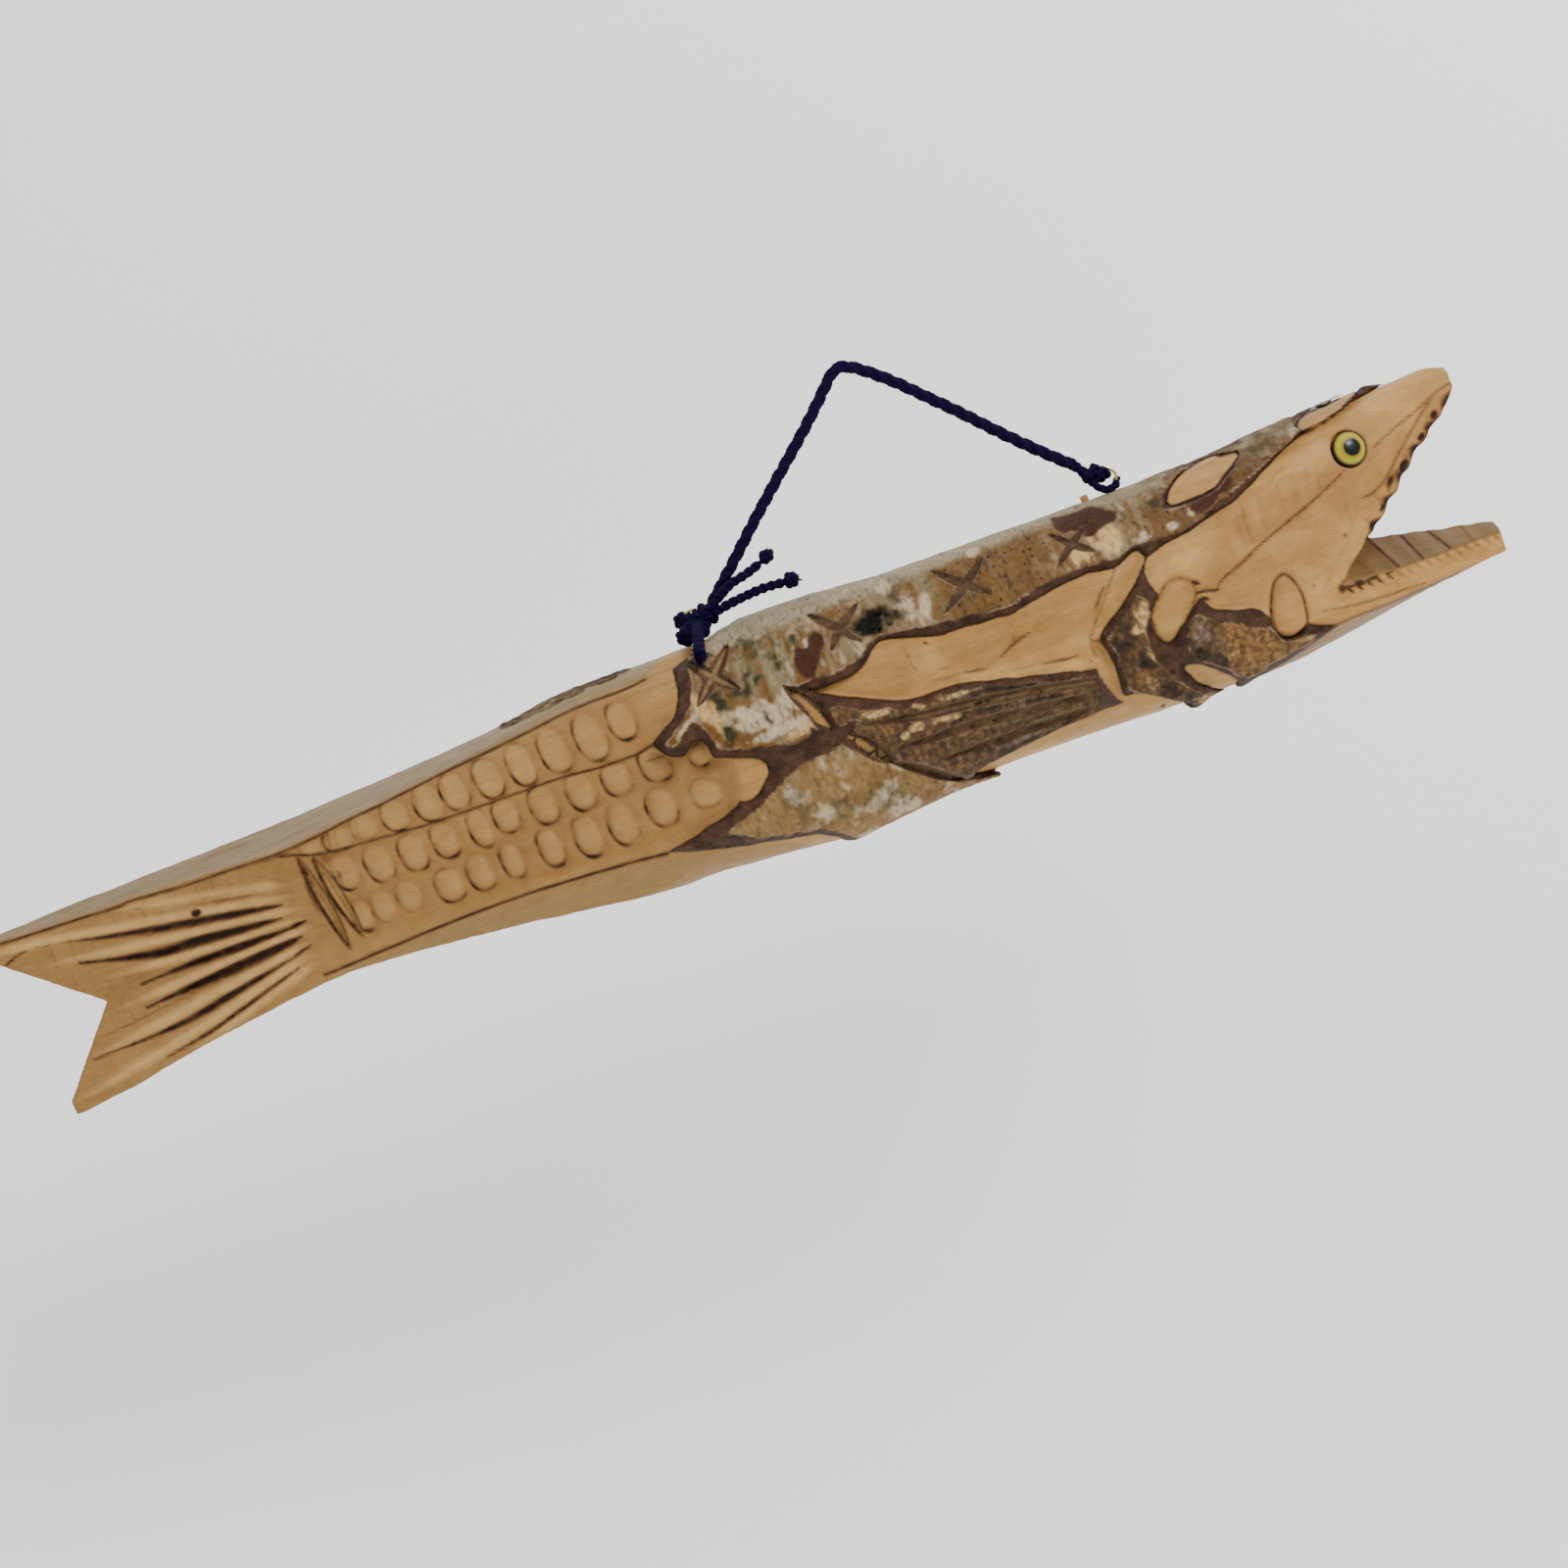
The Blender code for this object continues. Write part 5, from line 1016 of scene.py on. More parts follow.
def mesh_from(name, pos_f, quads=None, tris=None, smooth=True):
    """A mesh from fish-frame points in mm."""
    quads = np.zeros((0, 4), np.int64) if quads is None else np.asarray(quads, np.int64).reshape(-1, 4)
    tris = np.zeros((0, 3), np.int64) if tris is None else np.asarray(tris, np.int64).reshape(-1, 3)
    used = np.unique(np.concatenate([quads.ravel(), tris.ravel()]))
    remap = np.full(len(pos_f), -1, np.int64)
    remap[used] = np.arange(len(used))
    quads, tris = remap[quads], remap[tris]
    pos_f = np.asarray(pos_f)[used]
    me = bpy.data.meshes.new(name)
    me.vertices.add(len(pos_f))
    me.vertices.foreach_set("co", world(pos_f).astype(np.float32).ravel())
    loops = np.concatenate([quads.ravel(), tris.ravel()]).astype(np.int32)
    starts = np.concatenate([np.arange(len(quads)) * 4, len(quads) * 4 + np.arange(len(tris)) * 3]).astype(np.int32)
    me.loops.add(len(loops))
    me.loops.foreach_set("vertex_index", loops)
    me.polygons.add(len(starts))
    me.polygons.foreach_set("loop_start", starts)
    me.update(calc_edges=True)
    me.validate()
    if smooth:
        me.shade_smooth()
    a = me.attributes.new("fc", "FLOAT_VECTOR", "POINT")
    a.data.foreach_set("vector", (pos_f * 0.001).astype(np.float32).ravel())
    o = bpy.data.objects.new(name, me)
    scene.collection.objects.link(o)
    return o, pos_f


def paint(obj, name, rgb):
    a = obj.data.attributes.new(name, "FLOAT_COLOR", "POINT")
    full = np.ones((len(rgb), 4), np.float32)
    full[:, : rgb.shape[1]] = rgb
    a.data.foreach_set("color", full.ravel())


def place(obj, material, slot, body, *nodes):
    obj.data.materials.clear()
    obj.data.materials.append(material)
    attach(obj, body)
    if nodes:
        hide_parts(*nodes)
    return obj


def relax_mesh(pos, quads, rounds=1, amount=0.5):
    edges = np.concatenate([quads[:, [0, 1]], quads[:, [1, 2]], quads[:, [2, 3]], quads[:, [3, 0]]])
    n = len(pos)
    for _ in range(rounds):
        tot = np.zeros((n, 3))
        cnt = np.bincount(edges[:, 0], minlength=n).astype(float) + np.bincount(edges[:, 1], minlength=n)
        for k in range(3):
            tot[:, k] = np.bincount(edges[:, 0], pos[edges[:, 1], k], n) + np.bincount(edges[:, 1], pos[edges[:, 0], k], n)
        pos = pos + amount * (tot / np.maximum(cnt, 1)[:, None] - pos)
    return pos


def blend_to(base, colour, t):
    return base + (np.asarray(colour, np.float32) - base) * np.clip(t, 0, 1)[:, None]


# the darkest brown here colours scorched lines and also painted shade along edges and beside the scales
C = {k: srgb(*v) for k, v in dict(
    wood=(184, 143, 84), wood_deep=(146, 108, 58), wood_pale=(214, 177, 115), roof=(136, 120, 88), chamfer=(146, 117, 70), jaw=(98, 77, 48), scorch_and_shade=(40, 24, 14), rim=(80, 57, 42), rim_dark=(50, 35, 26), rim_edge=(164, 140, 112),
    grey=(134, 120, 92), white=(190, 174, 144), ochre=(108, 76, 38), cream=(200, 166, 112), belly=(140, 112, 70), moss=(46, 49, 28), black=(14, 14, 12), peel=(66, 38, 25), tan=(150, 116, 70), dark=(40, 31, 24), rust=(140, 98, 54),
    purple=(146, 128, 122), gill=(98, 74, 48)).items()}


def wood_colour(p):
    x, y, z, u, v, uw, vw = fields(p)
    win = look_up(WOODS, uw, vw)
    n = len(p)
    col = np.tile(np.asarray(C["wood"], np.float32), (n, 1))
    big = fbm(p, (60, 22, 18), 3, 51)
    col = blend_to(col, C["wood_deep"], np.clip(0.30 + 0.9 * big, 0, 0.8) * 0.8)
    blot = fbm(p, (14, 6, 6), 3, 55)
    col = blend_to(col, C["wood_deep"], np.clip(0.15 + 0.9 * blot, 0, 1) * 0.5)
    col = blend_to(col, C["wood_pale"], np.clip(-0.9 * blot - 0.05, 0, 1) * 0.45)
    streak = noise3(p, (46, 2.6, 2.2), 54)
    col = blend_to(col, C["wood_deep"], np.clip(streak, 0, 1) * 0.22)
    col = blend_to(col, C["wood_pale"], np.clip(-streak, 0, 1) * 0.12)
    # painted shade: the wood is darker towards the tail, where less light falls
    col = blend_to(col, srgb(138, 106, 60), 0.55 * step(-30, -80, x))
    te = at(TOP_EDGE, x)
    edge_v = CAM_F[2] + (te - CAM_F[2]) * 648.0 / (680.0 - at(HALF_WIDTH, x))
    roof = (x < -20) * step(-0.4, 0.6, z - (te + 0.15 + (at(RIDGE, x) - te) * np.clip(1 - y / at(HALF_WIDTH, x), 0, 1) * 0.65))
    roof = np.clip(roof * step(0.2, 1.2, v - edge_v + 0.8), 0, 1)
    roof = np.maximum(roof, step(0.0, 0.9, v - edge_v) * step(-150, -140, x) * step(-36, -41, x))
    col = blend_to(col, C["roof"], 0.85 * roof)
    roofn = noise3(p, (24, 2.4, 2), 57)
    col = blend_to(col, np.asarray(C["roof"]) * 0.75, roof * np.clip(roofn, 0, 1) * 0.5)
    sb = at(SIDE_BOTTOM, x)
    under = np.where(x < -14, step(0.2, -1.6, z - (sb - 0.4)), 0)
    col = blend_to(col, C["chamfer"], 0.8 * np.where(x < -200, 0.3, 1) * under)
    je = at(JAW_EDGE, x)
    under2 = np.where(x > 136, step(0.5, -0.8, z - (je - 0.4)), 0)
    col = blend_to(col, C["jaw"], 0.6 * under2)
    jaw_top = -9.2 - 0.222 * (x - 202) - 0.45 * y
    inside_jaw = (x > 178) * step(1.2, 0.4, np.abs(z - jaw_top)) * (look_up(D_MOUTH, u, v) < 1.0)
    col = blend_to(col, C["jaw"], 0.85 * inside_jaw)
    # paler wood, with painted highlights on the ray crests and scale domes
    light = look_up(LIGHT, u, v)
    col = blend_to(col, C["wood_pale"], 0.75 * light)
    # dark marks: scorch, with painted shade along panel edges and beside the scales
    scorch_and_shade = look_up(SCORCH_AND_SHADE, u, v)
    scorch_and_shade = np.where(inside_jaw > 0.5, 0, scorch_and_shade)
    # the knife lines across the top of the lower jaw
    for (x0, z0), (x1, z1), wid, b in (((193.2, -5.2), (200.6, -18.4), 0.6, 0.95), ((204, -7), (209.4, -18.6), 0.65, 1.0), ((213, -9), (219.2, -18.2), 0.6, 0.95), ((224.8, -12), (227.4, -18), 0.5, 0.6), ((187, -11), (190.4, -15), 0.5, 0.45)):
        t = np.clip(((u - x0) * (x1 - x0) + (v - z0) * (z1 - z0)) / ((x1 - x0) ** 2 + (z1 - z0) ** 2), 0, 1)
        dd = np.hypot(u - x0 - t * (x1 - x0), v - z0 - t * (z1 - z0))
        scorch_and_shade = np.maximum(scorch_and_shade, b * np.exp(-((dd / wid) ** 2)) * (inside_jaw > 0.3))
    ragged = scorch_and_shade * (1 + 0.22 * noise3(p, (3.4, 1.4, 1.4), 58))
    col = blend_to(col, srgb(120, 78, 42), np.clip(ragged * 1.15, 0, 1) * 0.9)
    col = blend_to(col, C["scorch_and_shade"], np.clip((ragged - 0.28) * 1.45, 0, 1))
    # the tail fork's sawn faces
    near_end = look_up(D_FORK, x, z)
    col = blend_to(col, srgb(120, 84, 50), 0.45 * step(0.7, 0.1, near_end) * (x < -280))
    # serrated scorched rim of the belly facet
    brown = step(-0.25, 0.15, win)
    bc = np.tile(np.asarray(C["rim"], np.float32), (n, 1))
    bc = blend_to(bc, C["rim_dark"], np.clip(0.35 + 0.7 * noise3(p, (3, 2, 2), 59), 0, 1))
    cutb = look_up(BARK_CUT, u, v)
    bc = blend_to(bc, C["tan"], step(2.6, 2.95, cutb))
    col = col + (bc - col) * brown[:, None]
    masks = np.stack([np.clip(scorch_and_shade, 0, 1), roof, np.clip(brown, 0, 1)], -1)
    return col, masks


def bark_colour(p):
    x, y, z, u, v, uw, vw = fields(p)
    n = len(p)
    fine = 0.5 * noise3(p, 1.9, 33) + 0.35 * noise3(p, 4.5, 34)
    skin = look_up(SKINS, uw, vw) + fine
    around = noise3(p, (2.2, 9, 9), 61)
    around2 = noise3(p, (5, 16, 16), 62)
    col = np.tile(np.asarray(C["grey"], np.float32), (n, 1))
    col = blend_to(col, C["ochre"], np.clip(0.50 + 0.9 * around2 + 0.5 * around + step(41, 35, v) * 0.25 - step(36, 42, v) * 0.5, 0, 1) * step(45, 32, v))
    col = blend_to(col, C["belly"], step(-8, -16, v) * np.clip(0.75 + 0.8 * fbm(p, (12, 9, 9), 2, 63), 0, 1))
    tuft = noise3(p, (1.7, 4.6, 4.6), 87) + 0.6 * noise3(p, (1.0, 2.0, 2.0), 88)
    col = blend_to(col, srgb(112, 82, 46), np.clip(0.9 * tuft - 0.05, 0, 0.85) * np.clip(0.75 + 0.6 * around2, 0, 1))
    col = blend_to(col, C["white"], np.clip(1.0 * noise3(p, (5, 9, 9), 64) - 0.75 * tuft - 0.38, 0, 0.75))
    dots = look_up(DOTS, u, v)
    col = blend_to(col, srgb(108, 80, 44), dots * (0.9 + 0.1 * around))
    col = blend_to(col, srgb(92, 67, 38), dots * np.clip(0.9 * noise3(p, (4, 5, 5), 89) + 0.4 * tuft, 0, 0.9))
    top = step(36.5, 40.5, v)
    col = blend_to(col, srgb(156, 145, 120), 0.7 * top)
    col = blend_to(col, srgb(146, 138, 116), 0.6 * top * np.clip(0.3 + noise3(p, (9, 6, 6), 65), 0, 1))
    col = blend_to(col, srgb(98, 74, 45), 0.85 * step(118, 134, u) * step(14, 24, v) * np.clip(0.75 + 0.9 * noise3(p, (4, 5, 5), 98), 0, 1))
    col = blend_to(col, C["dark"], 0.8 * step(118, 134, u) * step(14, 24, v) * np.clip(1.2 * noise3(p, (3, 2.4, 2.4), 99) - 0.2, 0, 1))
    col = blend_to(col, C["white"], look_up(PALE, u, v) * 0.9)
    col = blend_to(col, C["cream"], look_up(CREAM, u, v) * 0.9)
    moss = np.clip(1.9 * look_up(MOSS, u, v), 0, 1) * np.clip(0.75 + 1.2 * noise3(p, (2, 3, 3), 66) + 0.4 * noise3(p, (1, 1.4, 1.4), 67), 0, 1)
    col = blend_to(col, C["moss"], moss)
    col = blend_to(col, C["black"], np.clip(look_up(MOSS, u, v) * 1.6 * (noise3(p, (1.5, 3.2, 3.2), 68) - 0.25), 0, 0.75))
    rough = look_up(ROUGH, u, v)
    g = np.tile(np.asarray(C["gill"], np.float32), (n, 1))
    g = blend_to(g, C["rust"], np.clip(0.1 + noise3(p, (5, 4, 4), 69), 0, 1) * 0.4)
    lay = noise3(p, (1.0, 4.6, 4.6), 90) + 0.5 * noise3(p, (0.6, 2.4, 2.4), 94)
    g = blend_to(g, C["dark"], np.clip(0.9 * lay + 0.5 * noise3(p, (2.2, 1.6, 1.6), 70), 0, 1) * 0.75)
    g = blend_to(g, srgb(132, 112, 90), np.clip(-0.9 * lay - 0.25, 0, 1) * 0.8)
    sheet = step(133, 138, u) * step(-12, -15, v)
    g = blend_to(g, srgb(150, 112, 66), sheet * np.clip(0.75 + 0.7 * noise3(p, (1.6, 7, 7), 95), 0, 1))
    g = blend_to(g, srgb(78, 54, 34), sheet * np.clip(1.3 * noise3(p, (1.1, 6, 6), 96) - 0.15, 0, 0.9))
    g = blend_to(g, C["rust"], look_up(RUST, u, v) * 0.45)
    g = blend_to(g, C["purple"], look_up(PURPLE, u, v) * np.clip(0.7 + 0.9 * noise3(p, (1.6, 2.4, 2.4), 97), 0, 1))
    g = blend_to(g, C["dark"], look_up(FIN_DARK, u, v) * np.clip(0.8 + 0.4 * noise3(p, 1.5, 71), 0, 1))
    g = blend_to(g, C["black"], look_up(FIN_DARK, u, v) * np.clip(noise3(p, 1.8, 72) * 1.3, 0, 0.8))
    g = blend_to(g, C["cream"], look_up(CREAM, u, v) * 0.95)
    col = col + (g - col) * (rough * step(46, 44, np.abs(x * 0 + y)))[:, None]
    dash = np.clip((noise3(p, (0.8, 3.6, 3.6), 73) - 0.42) * 3.2, 0, 1) * (1 - rough)
    col = blend_to(col, srgb(70, 56, 40), dash * (0.55 + 0.4 * dots))
    peel = look_up(PEEL, u, v)
    col = blend_to(col, C["peel"], peel)
    col = blend_to(col, C["rim_dark"], peel * np.clip(noise3(p, (2.5, 1.5, 1.5), 74), 0, 1) * 0.6)
    black = look_up(BLACK, u, v)
    col = blend_to(col, C["black"], black * 1.1)
    # cut faces: brown inner bark, with a thin pale torn edge along the skin
    cutb = look_up(BARK_CUT, u, v) * (1 - np.clip(black * 2, 0, 1))
    rim = np.tile(np.asarray(C["rim"], np.float32), (n, 1))
    rim = blend_to(rim, C["rim_dark"], np.clip(0.3 + 0.8 * noise3(p, (3.4, 2.2, 2.2), 75), 0, 0.9))
    win = look_up(WOODS, uw, vw)
    rim = blend_to(rim, C["rim_dark"], 0.5 * step(1.4, 0.2, win))
    rim = blend_to(rim, C["rim_edge"], step(0.75, 0.3, skin) * (skin > 0) * np.clip(0.45 + 0.9 * noise3(p, (6, 5, 5), 76), 0, 0.9))
    inner = np.maximum(step(-0.05, 0.3, skin), 0)
    col = col + (rim - col) * inner[:, None]
    groove = step(0.25, 0.75, cutb)
    gc = np.tile(np.asarray(srgb(92, 71, 50), np.float32), (n, 1))
    gc = blend_to(gc, C["rim_dark"], np.clip(0.1 + 0.8 * noise3(p, (5, 2, 2), 77), 0, 0.7))
    gc = blend_to(gc, srgb(150, 124, 86), step(1.85, 2.3, cutb) * 0.8)
    gc = blend_to(gc, C["rim_edge"], step(0.8, 0.4, cutb) * 0.75)
    col = col + (gc - col) * groove[:, None]
    inner = np.maximum(inner, groove)
    masks = np.stack([np.clip(inner, 0, 1), np.clip(dots * (1 - inner) * (1 - rough), 0, 1), np.clip(rough * (1 - inner), 0, 1)], -1)
    return col, masks


def wood_material():
    m = Nodes("carved_birch")
    fc = m.attr("fc").outputs["Vector"]
    base = m.attr("paint").outputs["Color"]
    mask = m.split(m.attr("masks").outputs["Color"])
    grain = m.noise(fc, 900, 4, 0.6, (0.035, 1, 1))
    fibre = m.noise(fc, 2600, 3, 0.6, (0.06, 1, 1))
    pores = m.noise(fc, 1500, 2, 0.5, (0.25, 1, 1))
    c = m.mix(m.ramp(grain, [(0.36, 0.0), (0.66, 0.42)]), base, (0.80, 0.70, 0.56), "MULTIPLY")
    c = m.mix(m.ramp(fibre, [(0.4, 0.0), (0.72, 0.22)]), c, (0.62, 0.5, 0.38), "MULTIPLY")
    c = m.mix(m.ramp(pores, [(0.62, 0.0), (0.74, 0.30)]), c, (0.45, 0.33, 0.22), "MULTIPLY")
    mottled = m.noise(fc, 160, 4, 0.65)
    c = m.mix(m.ramp(mottled, [(0.3, 0.0), (0.7, 0.62)]), c, (0.80, 0.70, 0.55), "MULTIPLY")
    specks = m.noise(fc, 1900, 2, 0.5)
    c = m.mix(m.ramp(specks, [(0.70, 0.0), (0.78, 0.45)]), c, (0.35, 0.24, 0.15), "MULTIPLY")
    m.link(c, m.bsdf.inputs["Base Color"])
    r = m.math("ADD", m.math("MULTIPLY", grain, 0.18), 0.42)
    r = m.math("ADD", r, m.math("MULTIPLY", mask[0], 0.2), True)
    m.link(r, m.bsdf.inputs["Roughness"])
    m.bsdf.inputs["Specular IOR Level"].default_value = 0.16
    n1 = m.bump(fibre, 0.25, 0.0001)
    n2 = m.bump(m.noise(fc, 330, 3, 0.55, (0.3, 1, 1)), 0.5, 0.0005, n1)
    m.link(n2, m.bsdf.inputs["Normal"])
    return m.mat


def bark_material():
    m = Nodes("birch_bark")
    fc = m.attr("fc").outputs["Vector"]
    base = m.attr("paint").outputs["Color"]
    mask = m.split(m.attr("masks").outputs["Color"])
    inner, dots, rough = mask[0], mask[1], mask[2]
    outer = m.math("SUBTRACT", 1.0, inner, True)
    flakes = m.noise(fc, 700, 5, 0.65, (1, 0.55, 0.55))
    c = m.mix(m.ramp(flakes, [(0.38, 0.0), (0.70, 0.85)]), base, (0.62, 0.53, 0.41), "MULTIPLY")
    lent = m.noise(fc, 1500, 2, 0.5, (1, 0.14, 0.14))
    lm = m.math("MULTIPLY", m.ramp(lent, [(0.67, 0.0), (0.74, 0.75)]), outer)
    c = m.mix(lm, c, (0.035, 0.026, 0.018))
    spots = m.voronoi(fc, 430, (1, 0.62, 0.62))
    big = m.noise(fc, 260, 2, 0.5)
    sm = m.math("MULTIPLY", m.ramp(spots, [(0.17, 1.0), (0.27, 0.0)]), dots)
    sm = m.math("MULTIPLY", sm, m.ramp(big, [(0.42, 0.15), (0.56, 1.0)]))
    c = m.mix(sm, c, (0.022, 0.016, 0.012))
    chips = m.voronoi(fc, 520, (1, 1, 1))
    cm = m.math("MULTIPLY", m.ramp(m.math("ADD", chips, m.math("MULTIPLY", big, 0.5)), [(0.68, 0.0), (0.92, 0.5)]), rough)
    c = m.mix(cm, c, (0.02, 0.015, 0.012))
    streak = m.noise(fc, 1100, 4, 0.6, (0.35, 1, 1))
    im = m.math("MULTIPLY", m.ramp(streak, [(0.38, 0.0), (0.7, 0.6)]), inner)
    c = m.mix(im, c, (0.55, 0.42, 0.32), "MULTIPLY")
    m.link(c, m.bsdf.inputs["Base Color"])
    r = m.math("ADD", m.math("MULTIPLY", flakes, 0.3), 0.55, True)
    m.link(r, m.bsdf.inputs["Roughness"])
    m.bsdf.inputs["Specular IOR Level"].default_value = 0.12
    n1 = m.bump(flakes, 0.6, 0.0004)
    n2 = m.bump(m.math("MULTIPLY", m.noise(fc, 620, 4, 0.6), rough), 0.8, 0.0009, n1)
    n3 = m.bump(streak, 0.3, 0.0002, n2)
    m.link(n3, m.bsdf.inputs["Normal"])
    return m.mat


def tube(points, radius, sides=12, twist=0.0, ribs=0, rib=0.0, caps=True, phase=0.0):
    """A swept round tube in fish-frame mm; radius may vary along it; ribs wind round it like laid yarn."""
    p = np.asarray(points, float)
    n = len(p)
    t = np.gradient(p, axis=0)
    t /= np.linalg.norm(t, axis=1)[:, None]
    run = np.concatenate([[0], np.cumsum(np.linalg.norm(np.diff(p, axis=0), axis=1))])
    a = np.cross(t[0], [0.13, 1.0, 0.21])
    a /= np.linalg.norm(a)
    us = [a]
    for k in range(1, n):
        a = us[-1] - t[k] * (us[-1] @ t[k])
        us.append(a / np.linalg.norm(a))
    us = np.array(us)
    vs = np.cross(t, us)
    ang = np.arange(sides) / sides * 2 * math.pi
    rad = np.broadcast_to(np.asarray(radius, float), (n,))[:, None] * np.ones((1, sides))
    if ribs:
        rad = rad * (1 + rib * (np.abs(np.cos(0.5 * ribs * (ang[None, :] + phase) - twist * run[:, None] * ribs * 0.5)) * 2 - 1.3))
    pos = p[:, None] + rad[..., None] * (np.cos(ang)[None, :, None] * us[:, None] + np.sin(ang)[None, :, None] * vs[:, None])
    ids = np.arange(n * sides).reshape(n, sides)
    nxt = np.roll(ids, -1, 1)
    quads = np.stack([ids[:-1], nxt[:-1], nxt[1:], ids[1:]], -1).reshape(-1, 4)
    pos = pos.reshape(-1, 3)
    tris = []
    if caps:
        for row, c, rev in ((ids[0], p[0], True), (ids[-1], p[-1], False)):
            pos = np.concatenate([pos, [c]])
            k = len(pos) - 1
            for i in range(sides):
                j = (i + 1) % sides
                tris.append((row[j], row[i], k) if rev else (row[i], row[j], k))
    return pos, quads, np.array(tris, int).reshape(-1, 3)


def join(parts):
    pos, quads, tris, at_ = [], [], [], 0
    for p, q, t in parts:
        pos.append(p)
        quads.append(np.asarray(q).reshape(-1, 4) + at_)
        tris.append(np.asarray(t, int).reshape(-1, 3) + at_)
        at_ += len(p)
    return np.concatenate(pos), np.concatenate(quads), np.concatenate(tris)


def smooth_route(points, gap):
    p = np.asarray(points, float)
    p = np.concatenate([[2 * p[0] - p[1]], p, [2 * p[-1] - p[-2]]])
    fine = []
    for i in range(1, len(p) - 2):
        for k in range(32):
            t = k / 32
            a, b, c, d = p[i - 1], p[i], p[i + 1], p[i + 2]
            fine.append(0.5 * (2 * b + (c - a) * t + (2 * a - 5 * b + 4 * c - d) * t * t + (3 * b - a - 3 * c + d) * t**3))
    fine.append(p[-2])
    fine = np.array(fine)
    run = np.concatenate([[0], np.cumsum(np.linalg.norm(np.diff(fine, axis=0), axis=1))])
    n = max(3, int(round(run[-1] / gap)))
    s = np.linspace(0, run[-1], n + 1)
    return np.stack([np.interp(s, run, fine[:, k]) for k in range(3)], -1)


def strands(points, offset, pitch, count=2, phase=0.0, ends=1.5):
    """Centre lines of strands twisted round a line."""
    p = np.asarray(points, float)
    t = np.gradient(p, axis=0)
    t /= np.linalg.norm(t, axis=1)[:, None]
    run = np.concatenate([[0], np.cumsum(np.linalg.norm(np.diff(p, axis=0), axis=1))])
    a = np.cross(t[0], [0.13, 1.0, 0.21])
    us = [a / np.linalg.norm(a)]
    for k in range(1, len(p)):
        a = us[-1] - t[k] * (us[-1] @ t[k])
        us.append(a / np.linalg.norm(a))
    us = np.array(us)
    vs = np.cross(t, us)
    out = []
    for c in range(count):
        g = phase + 2 * math.pi * (c / count + run / pitch)
        out.append(p + offset * (np.cos(g)[:, None] * us + np.sin(g)[:, None] * vs))
    return out


# ---------------------------------------------------------------- carved log and bark
WOOD = wood_material()
BARKM = bark_material()
H = 0.75

f, origin = grid_distance(wood_distance, H, -337.5, 250.0)
pos, quads = surface_nets(f, origin, H)
del f
pos = relax_mesh(pos, quads, 1, 0.5)
x, y, z, u, v, uw, vw = fields(pos)
hid = (look_up(WOODS, uw, vw) > 1.6) & (look_up(BARK_CUT, u, v) < 2.4) & (log_radius(x, y, z) + BARK > -1.4) & (x > -60) & (look_up(D_MOUTH, u, v) > 2)
pos, quads, tris = thin_hidden(pos, quads, hid)
log, pf = mesh_from("fish_carved_wood", pos, quads, tris)
col, masks = wood_colour(pf)
paint(log, "paint", col)
paint(log, "masks", masks)
place(log, WOOD, "carved_wood", "fish", "log_body")

f, origin = grid_distance(bark_distance, H, -66.0, 238.0)
pos, quads = surface_nets(f, origin, H)
del f
pos = relax_mesh(pos, quads, 1, 0.45)
x, y, z, u, v, uw, vw = fields(pos)
low = (log_radius(x, y, z) + BARK) < -0.15
deep = low & (look_up(WOODS, uw, vw) > 1.2)
pos, quads, tris = thin_hidden(pos, quads, deep)
centre = np.concatenate([pos[quads].mean(1), pos[tris].mean(1)])
cu, cv = side_view(centre)
ui = np.clip(((cu - MX0) / MS).astype(int), 0, MNX - 1)
vi = np.clip(((cv - MZ0) / MS).astype(int), 0, MNZ - 1)
lab = LABEL[ui, vi]
left = centre[:, 1] > 0
nq = len(quads)
for k, key in enumerate(LABELS):
    for side in (("right", "left") if key.startswith(("bark_fin", "bark_gill")) else ("",)):
        pick = lab == k
        if side:
            pick &= left == (side == "left")
        name = key + (f"_{side}" if side else "")
        o, pf = mesh_from(name + "_skin", pos, quads[pick[:nq]], tris[pick[nq:]])
        col, masks = bark_colour(pf)
        paint(o, "paint", col)
        paint(o, "masks", masks)
        place(o, BARKM, "birch_bark", "fish", name)


